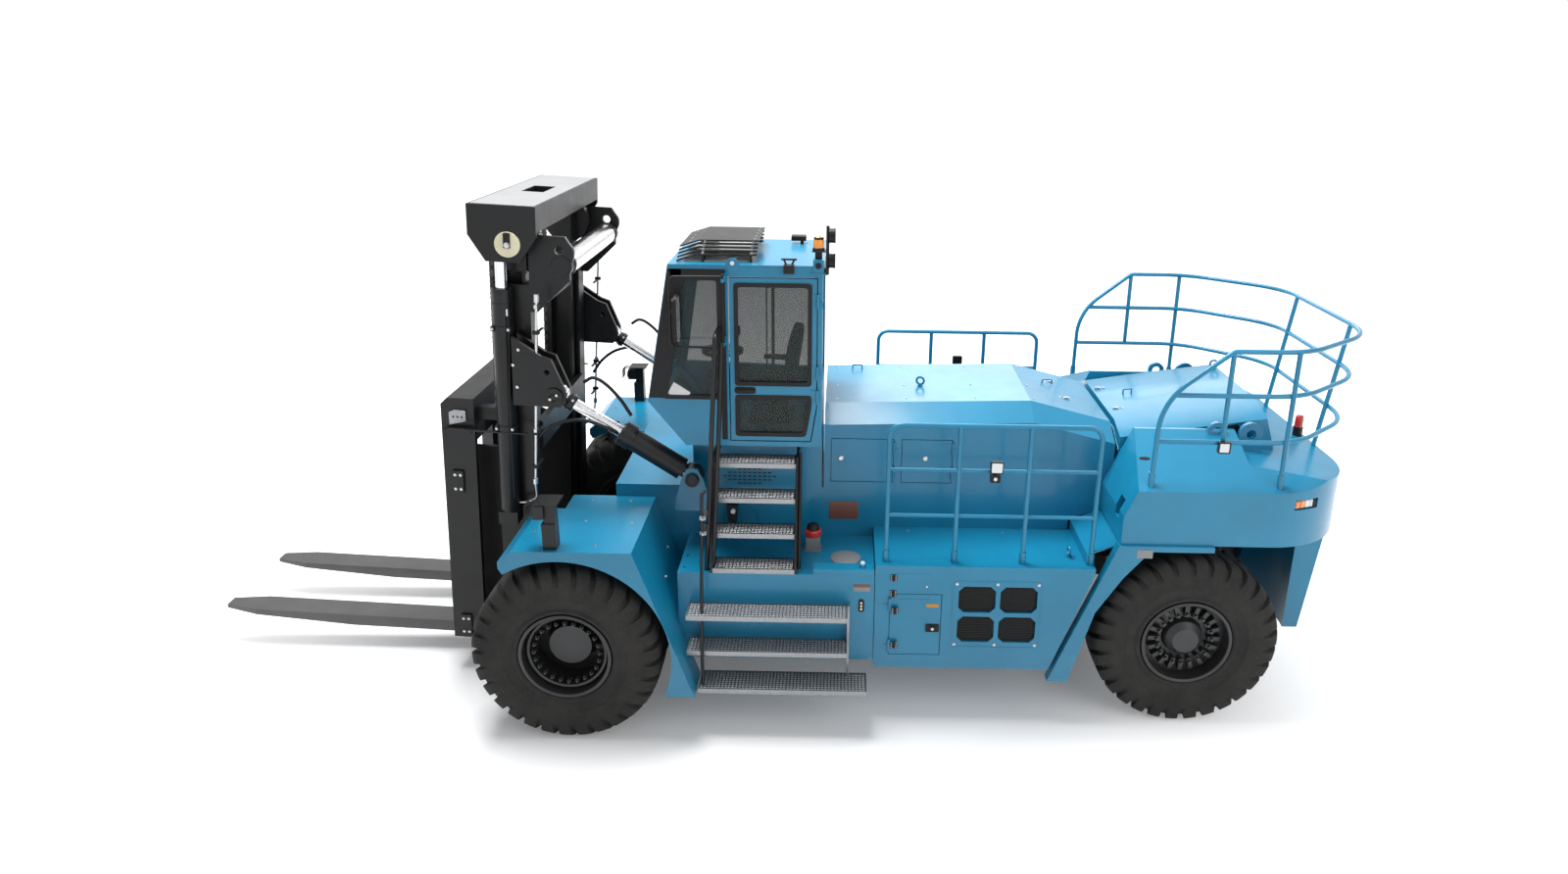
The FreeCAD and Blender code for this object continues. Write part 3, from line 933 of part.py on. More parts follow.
# ---------------------------------------------------------------- mast
def on_mast(name, pieces, tools=(), fittings=()):
    """A sub-part modelled upright from the mast's pivot, then leaned back with the mast."""
    solid = fuse(name + "_solid", list(pieces))
    if tools:
        solid = cut(name + "_cut", solid, list(tools))
    if fittings:
        solid = fuse(name + "_fitted", [solid] + list(fittings))
    leaned = doc.addObject("Part::Compound", name)
    leaned.Links = [solid]
    place(leaned, ("axle_x + pivot_x", "0", "pivot_z"), (0, 1, 0), "-mast_lean")
    return leaned


def outer_mast():
    pieces = []
    tools = []
    for side in (1, -1):
        tag = str(side + 1)
        tall = "mast_high - mast_low"
        pieces.append(box("outer_rail_" + tag, ("2 * rail_half", "rail_lip", tall),
                          ("mast_ahead - rail_half", f"{side} * (rail_outer - rail_lip / 2) - rail_lip / 2", "mast_low")))
        tools.append(box("outer_groove_" + tag, ("2 * (rail_half - rail_web)", "rail_lip", f"{tall} + 20"),
                         ("mast_ahead - rail_half + rail_web",
                          f"{side} * (rail_outer - rail_web - rail_lip / 2) - rail_lip / 2", "mast_low - 10")))
        ear_y = "chassis_half + 20" if side > 0 else "-(chassis_half + 20 + pivot_ear)"
        pieces.append(prism("foot_ear_" + tag, "XZ", [
            ("-pivot_eye", "-pivot_eye / 2"), ("-pivot_eye / 2", "-pivot_eye"), ("mast_ahead - rail_half + 5", "-pivot_eye"),
            ("mast_ahead - rail_half + 5", "pivot_eye + 60"), ("-pivot_eye / 2", "pivot_eye"), ("-pivot_eye", "pivot_eye / 2")],
            ear_y, "pivot_ear"))
        tie_y = "chassis_half + 20" if side > 0 else "-rail_outer + rail_lip - 5"
        pieces.append(box("foot_tie_" + tag, ("40", "rail_outer - rail_lip + 5 - chassis_half - 20", "2 * pivot_eye"),
                          ("mast_ahead - rail_half", tie_y, "-pivot_eye")))
        tools.append(rod("foot_bore_" + tag, "pivot_pin + running_gap", "pivot_ear + 40",
                         ("0", ear_y + " - 20", "0"), "Y"))
        plate_y = "rail_outer - crest_plate" if side > 0 else "-rail_outer"
        pieces.append(prism("crest_" + tag, "XZ", [
            ("mast_ahead - rail_half + 5", "crest_low"), ("mast_ahead - rail_half + 5", "crest_z"),
            ("mast_ahead - crest_back + 40", "crest_z"), ("mast_ahead - crest_back", "crest_z - 60"),
            ("mast_ahead - crest_back", "tie_z - 120"), ("mast_ahead - rail_half - 60", "crest_low")],
            plate_y, "crest_plate"))
        pieces.append(rod("crest_lobe_" + tag, "crest_lobe", "crest_plate",
                          ("mast_ahead - hoist_back + 40", plate_y, "hoist_z - 30"), "Y"))
        tools.append(rod("hoist_hole_" + tag, "hoist_hole", "crest_plate + 40",
                         ("mast_ahead - hoist_back + 40", plate_y + " - 20", "hoist_z"), "Y"))
    pieces.append(rod("top_tie", "tie_tube", "2 * rail_outer",
                      ("mast_ahead - tie_back", "-rail_outer", "tie_z"), "Y"))
    for level in ("mast_low", "cross_middle"):
        pieces.append(box("outer_cross_" + level, ("cross_deep", "2 * (rail_outer - rail_lip + 20)", "cross_tall"),
                          ("mast_ahead - rail_half + 35 - cross_deep", "-(rail_outer - rail_lip + 20)", level)))
    keep("outer_mast", on_mast("outer_mast", pieces, tools))


def tilt_brackets():
    """Two pairs of ears on the outer rails' sides, each pair with the pin of a tilt cylinder's eye."""
    solids = []
    for side in (1, -1):
        tag = str(side + 1)
        pieces = []
        for near in (1, -1):
            low = f"{side} * tilt_y + {near} * (tilt_wide / 2 + ear_gap + tilt_ear / 2) - tilt_ear / 2"
            pieces.append(prism(f"tilt_ear_{tag}_{near + 1}", "XZ", [
                ("tilt_local_x - tilt_eye", "tilt_local_z - tilt_eye / 2"),
                ("tilt_local_x - tilt_eye / 2", "tilt_local_z - tilt_eye"),
                ("mast_ahead - 60", "tilt_local_z - tilt_eye"), ("mast_ahead - 60", "tilt_local_z + 520"),
                ("tilt_local_x + 110", "tilt_local_z + 360"), ("tilt_local_x + 20", "tilt_local_z + 330"),
                ("tilt_local_x - tilt_eye", "tilt_local_z + tilt_eye / 2")], low, "tilt_ear"))
        span = "tilt_y + tilt_wide / 2 + ear_gap + tilt_ear - rail_outer"
        start = "rail_outer" if side > 0 else f"-(rail_outer + {span})"
        pieces.append(box("tilt_root_" + tag, ("100", span, "420"), ("mast_ahead - 160", start, "tilt_local_z")))
        pin_span = "tilt_wide + 2 * (ear_gap + tilt_ear) + 20"
        pieces.append(rod("tilt_eye_pin_" + tag, "tilt_pin", pin_span,
                          ("tilt_local_x", f"{side} * tilt_y - ({pin_span}) / 2", "tilt_local_z"), "Y"))
        eye = rod("sling_eye_" + tag, "24", "400", ("tilt_local_x + 60", f"{side} * tilt_y - 200", "tilt_local_z + 215"), "Y")
        solids.append(cut("tilt_bracket_" + tag, fuse("tilt_bracket_solid_" + tag, pieces), [eye]))
    pair = doc.addObject("Part::Compound", "tilt_bracket_pair")
    pair.Links = solids
    leaned = doc.addObject("Part::Compound", "tilt_brackets")
    leaned.Links = [pair]
    keep("tilt_brackets", place(leaned, ("axle_x + pivot_x", "0", "pivot_z"), (0, 1, 0), "-mast_lean"))


def lift_barrels():
    """The fixed halves of the two lift cylinders, each on its bracket at the outer rail's side."""
    for side, word in ((1, "left"), (-1, "right")):
        foot = ("lift_ahead", f"{side} * lift_y", "lift_foot")
        span = "lift_y + lift_bore + lift_wall - rail_outer"
        start = "rail_outer" if side > 0 else f"-(rail_outer + {span})"
        shell = [rod("lift_tube_" + word, "lift_bore + lift_wall", "lift_gland - lift_foot", foot),
                 rod("lift_head_" + word, "lift_bore + lift_wall - 5", "gland_long",
                     ("lift_ahead", f"{side} * lift_y", "lift_gland - gland_long")),
                 box("lift_bracket_" + word, ("2 * (lift_bore + lift_wall)", span, "120"),
                     ("lift_ahead - lift_bore - lift_wall", start, "lift_foot - 120"))]
        hollow = rod("lift_hollow_" + word, "lift_bore", "lift_gland - lift_foot + 10",
                     ("lift_ahead", f"{side} * lift_y", "lift_foot + 40"))
        keep("lift_barrel_" + word, on_mast("lift_barrel_" + word, shell, [hollow]))


def inner_mast():
    pieces = []
    tools = []
    rollers = []
    reach = "rail_half - rail_web - nest_gap"
    face = "rail_outer - rail_web - nest_gap"
    for side in (1, -1):
        tag = str(side + 1)
        tall = "inner_high - inner_low"
        pieces.append(box("inner_rail_" + tag, (f"2 * ({reach})", "inner_depth", tall),
                          (f"mast_ahead - ({reach})", f"{side} * ({face} - inner_depth / 2) - inner_depth / 2", "inner_low")))
        for near in (1, -1):
            tools.append(box(f"inner_groove_{tag}_{near + 1}",
                             (f"2 * ({reach} - inner_plate)", "inner_depth / 2 - inner_plate / 2", f"{tall} + 20"),
                             (f"mast_ahead - ({reach} - inner_plate)",
                              f"{side} * ({face} - inner_depth / 2) + {near} * (inner_depth / 4 + inner_plate / 4)"
                              " - (inner_depth / 4 - inner_plate / 4)", "inner_low - 10")))
        wheel_y = f"{face} - 5 - roller_wide" if side > 0 else f"-({face} - 5)"
        rollers.append(rod("inner_roller_" + tag, "rail_half - rail_web - roller_gap", "roller_wide",
                           ("mast_ahead", wheel_y, "inner_low + rail_half"), "Y"))
        post_y = f"{face} - inner_depth" if side > 0 else f"-({face})"
        pieces.append(box("head_post_" + tag, ("90", "inner_depth", "head_z - inner_high + 20"),
                          ("mast_ahead - rail_half + 40", post_y, "inner_high - 10")))
        cheek_y = "head_half - head_plate" if side > 0 else "-head_half"
        pieces.append(prism("head_cheek_" + tag, "XZ", [
            ("mast_ahead - head_deep", "head_z + 20"), ("mast_ahead + head_deep", "head_z + 20"),
            ("mast_ahead + head_deep", "head_z - 40"), ("mast_ahead + head_deep / 2", "head_z - cheek_drop"),
            ("mast_ahead - head_deep / 2", "head_z - cheek_drop"), ("mast_ahead - head_deep", "head_z - 40")],
            cheek_y, "head_plate"))
        sheave_y = "chain_y - sheave_wide / 2" if side > 0 else "-(chain_y + sheave_wide / 2)"
        pieces.append(rod("sheave_" + tag, "sheave_radius", "sheave_wide", ("sheave_x", sheave_y, "sheave_z"), "Y"))
        pin_y = "chain_y" if side > 0 else "-(head_half - 5)"
        pieces.append(rod("sheave_pin_" + tag, "sheave_pin", "head_half - 5 - chain_y",
                          ("sheave_x", pin_y, "sheave_z"), "Y"))
    pieces.append(box("head_beam", ("2 * head_deep", "2 * head_half", "head_tall"),
                      ("mast_ahead - head_deep", "-head_half", "head_z")))
    tools.append(box("head_window", ("head_hole_wide", "head_hole_long", "head_tall + 20"),
                     ("mast_ahead - head_hole_wide / 2", "-head_hole_long / 2", "head_z - 10")))
    for level in ("inner_low + 60", "inner_high - 420"):
        tag = str(len(pieces))
        pieces.append(box("inner_cross_" + tag, ("inner_cross_deep", f"2 * ({face} - inner_depth / 2)", "cross_tall"),
                          (f"mast_ahead - ({reach})", f"-({face} - inner_depth / 2)", level)))
    keep("inner_mast", on_mast("inner_mast", pieces, tools, rollers))
    for side, word in ((1, "left"), (-1, "right")):
        keep("lift_rod_" + word, on_mast("lift_rod_" + word, [
            rod("lift_rod_bar_" + word, "lift_rod", "head_z - lift_foot - 120",
                ("lift_ahead", f"{side} * lift_y", "lift_foot + 120"))]))
        start = f"{side} * chain_y - chain_wide / 2"
        keep("lift_chain_" + word, on_mast("lift_chain_" + word, [
            box("lift_chain_run_" + word, ("chain_thick", "chain_wide", "sheave_z - chain_low"),
                ("sheave_x + sheave_radius + running_gap", start, "chain_low"))]))


def carriage():
    pieces = []
    reach = "(rail_half - rail_web - nest_gap - inner_plate - roller_gap)"
    inner_face = "rail_outer - rail_web - nest_gap - inner_depth"
    for side in (1, -1):
        tag = str(side + 1)
        side_y = "carriage_half - carriage_plate" if side > 0 else "-carriage_half"
        pieces.append(prism("carriage_side_" + tag, "XZ", [
            ("carriage_back", "carriage_low"), ("carriage_front", "carriage_low"),
            ("carriage_front", "carriage_high - 60"), ("carriage_front - 60", "carriage_high"),
            ("carriage_back", "carriage_high")], side_y, "carriage_plate"))
        arm_y = f"{inner_face} - 10 - arm_thick" if side > 0 else f"-({inner_face} - 10)"
        pieces.append(prism("carriage_arm_" + tag, "XZ", [
            (f"mast_ahead - {reach}", "roller_low - arm_tall / 2"), ("carriage_front", "roller_low - arm_tall / 2"),
            ("carriage_front", "roller_high + arm_tall"), ("mast_ahead + 240", "roller_high + arm_tall"),
            (f"mast_ahead - {reach}", "roller_high + arm_tall / 2")], arm_y, "arm_thick"))
        for level in ("roller_low", "roller_high"):
            roller_y = f"{inner_face} - 11" if side > 0 else f"-({inner_face} - 11 + roller_wide)"
            pieces.append(rod(f"carriage_{level}_{tag}", reach, "roller_wide", ("mast_ahead", roller_y, level), "Y"))
        anchor_y = "chain_y - chain_wide / 2 - 15" if side > 0 else "-(chain_y + chain_wide / 2 + 15)"
        pieces.append(box("chain_anchor_" + tag, ("carriage_back + 20 - sheave_x - sheave_radius", "chain_wide + 30", "120"),
                          ("sheave_x + sheave_radius", anchor_y, "chain_low - 120.3")))
    for name, low, tall, deep in (("top_beam", "carriage_high - beam_tall", "beam_tall", "carriage_front - carriage_back - 60"),
                                  ("bottom_beam", "carriage_low", "bar_tall", "bar_deep"),
                                  ("fork_bar", "bar_high - bar_tall", "bar_tall", "bar_deep")):
        start = "carriage_front - bar_deep" if name != "top_beam" else "carriage_back"
        pieces.append(box("carriage_" + name, (deep, "2 * (carriage_half - 20)", tall),
                          (start, "-(carriage_half - 20)", low)))
    window = box("beam_window", ("400", "520", "beam_tall - 2 * beam_wall"),
                 ("carriage_back - 10", "-260", "carriage_high - beam_tall + beam_wall"))
    keep("carriage", on_mast("carriage", pieces, [window]))


def fork(name, side):
    """A hook-on fork: a tall shank, a heel and a blade that thins and narrows to its tip."""
    heel = "carriage_front + 0.3"
    low_edge = f"{side} * fork_y - fork_wide / 2"
    blade = prism(name + "_blade", "XZ", [
        (heel, "fork_low + 40"), (f"{heel} + 40", "fork_low"), (f"{heel} + fork_taper", "fork_low"),
        (f"{heel} + fork_reach", "fork_low + fork_thick - fork_tip"), (f"{heel} + fork_reach", "fork_low + fork_thick"),
        (f"{heel} + fork_thick + 30", "fork_low + fork_thick"), (f"{heel} + fork_thick", "fork_low + fork_thick + 30"),
        (f"{heel} + fork_thick", "fork_top - 60"), (f"{heel} + fork_thick - 40", "fork_top"),
        (f"{heel} - bar_deep - 2 * hook_gap - hook_thick", "fork_top"),
        (f"{heel} - bar_deep - 2 * hook_gap - hook_thick", "bar_high - hook_drop"),
        (f"{heel} - bar_deep - 2 * hook_gap", "bar_high - hook_drop"),
        (f"{heel} - bar_deep - 2 * hook_gap", "bar_high + hook_gap"), (heel, "bar_high + hook_gap")],
        low_edge, "fork_wide")
    corners = []
    for near in (1, -1):
        edge = f"{side} * fork_y + {near} * fork_wide / 2"
        corners.append(prism(f"{name}_corner_{near + 1}", "XY", [
            (f"{heel} + fork_reach - 330", f"{edge} + {near} * 1"), (f"{heel} + fork_reach + 1", f"{edge} + {near} * 1"),
            (f"{heel} + fork_reach + 1", f"{edge} - {near} * (fork_wide - fork_tip_wide) / 2")],
            "fork_low - 10", "fork_thick + 20"))
    return on_mast(name, [blade], corners)


def tilt_cylinder(side, word):
    """The barrel on the frame's pin and the rod on the mast's pin, along the line between them."""
    angle = "-atan((tilt_eye_z - tilt_pin_z) / (tilt_eye_x + tilt_pin_x))"
    pin_at = (back("tilt_pin_x"), "0", "tilt_pin_z")
    low = f"{side} * tilt_y - tilt_wide / 2"
    span = "sqrt((tilt_eye_z - tilt_pin_z)^2 + (tilt_eye_x + tilt_pin_x)^2)"
    barrel = fuse(f"tilt_barrel_solid_{word}", [
        rod(f"tilt_barrel_eye_{word}", "tilt_eye", "tilt_wide", ("0", low, "0"), "Y"),
        box(f"tilt_barrel_neck_{word}", ("tilt_eye + neck", "tilt_wide", "tilt_barrel"), ("0", low, "-tilt_barrel / 2")),
        rod(f"tilt_barrel_tube_{word}", "tilt_barrel", "tilt_gland - tilt_eye - neck",
            ("tilt_eye + neck", f"{side} * tilt_y", "0"), "X"),
        rod(f"tilt_barrel_gland_{word}", "tilt_barrel + 14", "90", ("tilt_gland - 90", f"{side} * tilt_y", "0"), "X")])
    barrel = cut(f"tilt_barrel_cut_{word}", barrel, [
        rod(f"tilt_barrel_hollow_{word}", "tilt_bore", "tilt_gland", ("tilt_back", f"{side} * tilt_y", "0"), "X"),
        rod(f"tilt_barrel_bore_{word}", "tilt_pin + running_gap", "tilt_wide + 20", ("0", f"{low} - 10", "0"), "Y")])
    bar = fuse(f"tilt_rod_solid_{word}", [
        rod(f"tilt_rod_bar_{word}", "tilt_rod", f"{span} - tilt_inner_end - 20", ("tilt_inner_end", f"{side} * tilt_y", "0"), "X"),
        rod(f"tilt_rod_eye_{word}", "tilt_eye", "tilt_wide", (span, low, "0"), "Y")])
    bar = cut(f"tilt_rod_cut_{word}", bar, [
        rod(f"tilt_rod_bore_{word}", "tilt_pin + swivel_gap", "tilt_wide + 20", (f"{span} + swivel_along", f"{low} - 10", "swivel_up"), "Y")])
    for label, solid in (("tilt_barrel_" + word, barrel), ("tilt_rod_" + word, bar)):
        leaned = doc.addObject("Part::Compound", label)
        leaned.Links = [solid]
        place(leaned, pin_at, (0, 1, 0), angle)
        keep(label, leaned)


def mast():
    outer_mast()
    tilt_brackets()
    lift_barrels()
    inner_mast()
    carriage()
    keep("fork_left", fork("fork_left", 1))
    keep("fork_right", fork("fork_right", -1))
    tilt_cylinder(1, "left")
    tilt_cylinder(-1, "right")


# ---------------------------------------------------------------- rails
def hand_rail():
    loop = tube_along("rail_loop", [
        (aft("rail_rear"), "rail_y", "box_top"), (aft("rail_rear"), "rail_y", "rail_top"),
        (back("rail_front"), "rail_y", "rail_top"), (back("rail_front"), "rail_y", "box_top")],
        [size("rail_bend")] * 2, size("tube"))
    pieces = [loop]
    for number in (1, 2):
        along = f"{back('rail_front')} - {number} * (wheelbase + rail_rear - rail_front) / 3"
        pieces.append(rod(f"rail_post_{number}", "tube", "rail_top - box_top", (along, "rail_y", "box_top")))
        pieces.append(rod(f"rail_middle_{number}", "tube - 5", "wheelbase + rail_rear - rail_front",
                          (aft("rail_rear"), "rail_y", f"box_top + {number} * (rail_top - box_top) / 3 + 20"), "X"))
    for number in range(4):
        along = f"{back('rail_front')} - {number} * (wheelbase + rail_rear - rail_front) / 3"
        pieces.append(rod(f"rail_collar_{number}", "tube + 9", "110", (along, "rail_y", "box_top")))
    both_sides("hand_rail", fuse("hand_rail_left", pieces))


def tail_sweep(rear, height):
    """The corners of a rail that runs round the tail, from the left side to the right."""
    turn = aft("weight_rear") + " + weight_round - 100"
    left = [(turn, "guard_y", height), (aft(rear), "guard_turn", height)]
    return left + [(along, f"-({out})", level) for along, out, level in reversed(left)]


def guard_rail():
    radius = size("tube")
    kink = (f"{aft('guard_kink')}", "guard_y", "guard_top")
    knee = (f"{aft('guard_front')} - 10", "guard_y", "guard_knee")
    foot = (aft("guard_front"), "guard_y", "weight_edge - 50")
    mirror = [(along, f"-({out})", level) for along, out, level in (kink, knee, foot)]
    round_tail = [size("guard_bend")] * 4
    top = tube_along("guard_top_rail", [foot, knee, kink] + tail_sweep("guard_rear", "guard_top") + mirror,
                     [size("knee_bend"), size("kink_bend")] + round_tail + [size("kink_bend"), size("knee_bend")],
                     radius)
    pieces = [top]
    for name, inset, height, start in (("middle", 40, "guard_mid", "guard_mid_front"),
                                       ("low", 80, "guard_low", "guard_front")):
        end = (aft(start), "guard_y", height)
        ring = tail_sweep(f"guard_rear - {inset}", height)
        pieces.append(tube_along(f"guard_{name}_rail", [end] + ring + [(end[0], "-guard_y", height)], round_tail, radius))
    for side in (1, -1):
        pieces.append(rod(f"guard_kink_post_{side + 1}", "tube", "guard_top - guard_low",
                          (kink[0], f"{side} * guard_y", "guard_low")))
        pieces.append(rod(f"guard_side_post_{side + 1}", "tube", "guard_top - weight_edge + 50",
                          (aft("guard_post"), f"{side} * guard_y", "weight_edge - 50")))
        pieces.append(tube_along(f"guard_tail_post_{side + 1}", [
            (aft("guard_rear") + " + 170", f"{side} * guard_tail", "weight_edge - 50"),
            (aft("guard_rear"), f"{side} * guard_tail", "guard_top")], [], radius))
    for side in (1, -1):
        for word in ("guard_front", "guard_post"):
            pieces.append(rod(f"{word}_collar_{side + 1}", "tube + 8", "200",
                              (aft(word), f"{side} * guard_y", "weight_edge - 50")))
    keep("guard_rail", cut("guard_rail", fuse("guard_pieces", pieces), [nodes["counterweight"]]))


# ---------------------------------------------------------------- lamps
def head_lamp(name, side):
    """A lamp on its post on the front fender, under a flat lid."""
    centre = f"{side} * (fender_half - post_inset)"
    front = "axle_x + post_x"
    top = "fender_top + post_tall + neck_tall"
    return fuse(name, [
        box(name + "_block", ("post_deep", "post_wide", "post_tall"),
            (f"{front} - post_deep / 2", f"{centre} - post_wide / 2", "fender_top")),
        box(name + "_neck", ("post_deep - 25", "post_wide - 20", "neck_tall"),
            (f"{front} - post_deep / 2", f"{centre} - post_wide / 2 + 10", "fender_top + post_tall")),
        box(name + "_head", ("lamp_deep", "lamp_wide", "lamp_tall"),
            (f"{front} + post_deep / 2 - 30", f"{centre} - lamp_wide / 2", f"{top} - lamp_tall - 20")),
        box(name + "_lid", ("lamp_lid", "lamp_lid", "12"),
            (f"{front} - lamp_lid / 2", f"{centre} - lamp_lid / 2", top))])


def roof_lamps():
    """Two work lamps and the beacon on a short mast behind the cab's left rear corner."""
    centre_y = "cab_left - 50"
    back_x = f"{back('cab_rear')} - mast_back"
    pieces = [
        rod("lamp_mast", "14", "mast_rise + 80", (back_x, centre_y, "cab_roof - 80")),
        box("lamp_mast_foot", ("mast_back", "50", "60"), (back_x, f"{centre_y} - 25", "cab_roof - 80")),
        box("beacon_shelf", ("mast_back + 95", "90", "10"), (back_x, f"{centre_y} - 45", "cab_roof + 115")),
        rod("beacon", "beacon", "beacon_tall", (f"{back_x} + 75", centre_y, "cab_roof + 125"))]
    for number, height in enumerate(("cab_roof + 40", "cab_roof + 250")):
        pieces.append(rod(f"work_lamp_{number}", "work_lamp", "work_deep",
                          (f"{back_x} - 10 - work_deep", f"{centre_y} + 10", height), "X"))
    return fuse("roof_lamps", pieces)


def lamps():
    tail_x = aft("tail_light")
    tail = fuse("tail_light", [rod("tail_light_base", "45", "150", (tail_x, "tail_light_y", "weight_edge - 20")),
                               rod("tail_light_cap", "34", "110", (tail_x, "tail_light_y", "weight_edge + 130"))])
    deck = box("deck_lamp", ("deck_lamp", "deck_lamp_deep", "deck_lamp"),
               (f"{aft('guard_kink')} - deck_lamp / 2", "guard_y + tube", "guard_low - deck_lamp + 20"))
    group = doc.addObject("Part::Compound", "lamps")
    group.Links = [head_lamp("head_lamp_left", 1), head_lamp("head_lamp_right", -1), roof_lamps(), deck,
                   cut("tail_light_seated", tail, [nodes["counterweight"]])]
    keep("lamps", group)


# ---------------------------------------------------------------- build, check and write
def write_parts():
    doc.recompute()
    for thing in doc.Objects:
        if "Invalid" in thing.State or "Error" in thing.State:
            raise RuntimeError(f"{thing.Name} did not build: {thing.State}")
    os.makedirs("parts", exist_ok=True)
    for name, thing in nodes.items():
        if thing.Shape.isNull() or not thing.Shape.isValid():
            raise RuntimeError(f"{name} has no valid shape")
        thing.Shape.exportStep(f"parts/{name}.step")


wheels()
axles()
chassis()
front_fenders()
side_boxes()
lower_steps()
ladder()
rear_fenders()
hood_and_cover()
counterweight()
cab()
mast()
hand_rail()
guard_rail()
lamps()
write_parts()
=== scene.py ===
"""Looks of the electric forklift: finishes, tyres, fittings, lamps, hoses and the studio stage.

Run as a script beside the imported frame. Lengths are in metres in the frame's own axes:
+X to the forks, +Y to the driver's left, +Z up.
"""
import json
import math

import bmesh
import bpy
from mathutils import Matrix, Vector


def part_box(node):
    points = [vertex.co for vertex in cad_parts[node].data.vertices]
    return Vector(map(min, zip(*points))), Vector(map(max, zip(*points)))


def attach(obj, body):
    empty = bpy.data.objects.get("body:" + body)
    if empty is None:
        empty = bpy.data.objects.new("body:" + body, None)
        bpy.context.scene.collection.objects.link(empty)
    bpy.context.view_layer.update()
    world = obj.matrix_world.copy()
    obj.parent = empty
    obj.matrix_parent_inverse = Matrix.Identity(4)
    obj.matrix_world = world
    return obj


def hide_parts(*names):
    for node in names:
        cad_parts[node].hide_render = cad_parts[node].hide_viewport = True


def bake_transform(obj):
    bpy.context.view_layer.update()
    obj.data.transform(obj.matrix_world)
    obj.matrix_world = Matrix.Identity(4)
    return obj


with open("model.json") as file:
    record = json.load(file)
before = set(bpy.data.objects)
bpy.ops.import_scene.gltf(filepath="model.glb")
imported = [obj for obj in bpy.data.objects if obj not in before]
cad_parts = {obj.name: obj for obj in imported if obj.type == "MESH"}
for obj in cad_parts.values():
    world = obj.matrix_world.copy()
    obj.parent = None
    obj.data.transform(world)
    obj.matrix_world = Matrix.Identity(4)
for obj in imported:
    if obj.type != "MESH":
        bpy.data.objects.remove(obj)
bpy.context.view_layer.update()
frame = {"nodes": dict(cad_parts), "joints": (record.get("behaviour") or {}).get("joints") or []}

bl_info = {
    "name": "Electric forklift looks",
    "version": (1, 0, 0),
    "blender": (4, 5, 0),
    "location": "3D View > Sidebar > Forklift",
    "description": "Dresses the forklift's frame with finishes, fittings and a studio stage",
    "category": "Object",
}


# ------------------------------------------------------------------ settings
class ForkliftColours(bpy.types.PropertyGroup):
    """Paint and material colours."""

    body_blue: bpy.props.FloatVectorProperty(
        name="Body blue", description="Paint of the body panels", subtype="COLOR", default=(0.006, 0.190, 0.335))
    mast_black: bpy.props.FloatVectorProperty(
        name="Mast black", description="Paint of the mast, carriage and forks", subtype="COLOR",
        default=(0.0065, 0.0068, 0.0076))
    rim_black: bpy.props.FloatVectorProperty(
        name="Rim black", description="Paint of the wheel rims", subtype="COLOR", default=(0.010, 0.011, 0.013))
    rubber: bpy.props.FloatVectorProperty(
        name="Rubber", description="Dusty tyre rubber", subtype="COLOR", default=(0.013, 0.0125, 0.012))
    zinc: bpy.props.FloatVectorProperty(
        name="Zinc", description="Galvanised treads", subtype="COLOR", default=(0.30, 0.31, 0.32))
    amber: bpy.props.FloatVectorProperty(
        name="Amber", description="Beacon lens", subtype="COLOR", default=(0.85, 0.28, 0.01))
    red: bpy.props.FloatVectorProperty(
        name="Red", description="Tail lamp lens and stop button", subtype="COLOR", default=(0.55, 0.02, 0.015))
    cream: bpy.props.FloatVectorProperty(
        name="Cream", description="Sheave retaining discs", subtype="COLOR", default=(0.80, 0.74, 0.52))


class ForkliftSizes(bpy.types.PropertyGroup):
    """Sizes of the fittings that the frame doesn't hold."""

    lug_count: bpy.props.IntProperty(
        name="Tread lugs", description="Lugs along each edge of a tyre", default=30, min=8, max=60)
    seal_width: bpy.props.FloatProperty(
        name="Seal width", description="Width of the rubber round a window", default=0.035, unit="LENGTH")
    mesh_pitch: bpy.props.FloatProperty(
        name="Mesh pitch", description="From hole to hole in the cooling grilles", default=0.016, unit="LENGTH")
    pad_crown: bpy.props.FloatProperty(
        name="Pad crown", description="How far a seat pad rises in its middle", default=0.022, unit="LENGTH")
    hose_radius: bpy.props.FloatProperty(
        name="Hose radius", description="Radius of the tilt cylinders' hoses", default=0.016, unit="LENGTH")


def colours():
    """The panel's colour settings."""
    return bpy.context.scene.forklift_colours


def sizes():
    """The panel's size settings."""
    return bpy.context.scene.forklift_sizes


# ------------------------------------------------------------------ materials
def new_material(name):
    """A material with an empty node tree that ends in a Principled shader."""
    material = bpy.data.materials.new(name)
    material.use_nodes = True
    tree = material.node_tree
    tree.nodes.clear()
    shader = add_node(tree, "BsdfPrincipled")
    add_node(tree, "OutputMaterial", {"Surface": shader.outputs["BSDF"]})
    return material, tree, shader


def feed(tree, node, inputs):
    """Sets a node's inputs, each to a value or to another node's output."""
    for name, value in inputs.items():
        if isinstance(value, bpy.types.NodeSocket):
            tree.links.new(value, node.inputs[name])
        else:
            node.inputs[name].default_value = value


def add_node(tree, kind, inputs=None, **settings):
    """A new shader node with its settings and its inputs."""
    node = tree.nodes.new("ShaderNode" + kind)
    for name, value in settings.items():
        setattr(node, name, value)
    feed(tree, node, inputs or {})
    return node


def multiply(tree, first, second):
    """The product of two numbers from other nodes."""
    return add_node(tree, "Math", {0: first, 1: second}, operation="MULTIPLY").outputs["Value"]


def noise(tree, scale, detail=4.0, roughness=0.55, stretch=(1, 1, 1)):
    """Noise in object coordinates, so that it stays on the surface."""
    place = add_node(tree, "TexCoord").outputs["Object"]
    mapping = add_node(tree, "Mapping", {"Scale": stretch, "Vector": place})
    texture = add_node(tree, "TexNoise", {"Scale": scale, "Detail": detail, "Roughness": roughness,
                                          "Vector": mapping.outputs["Vector"]})
    return texture.outputs["Fac"]


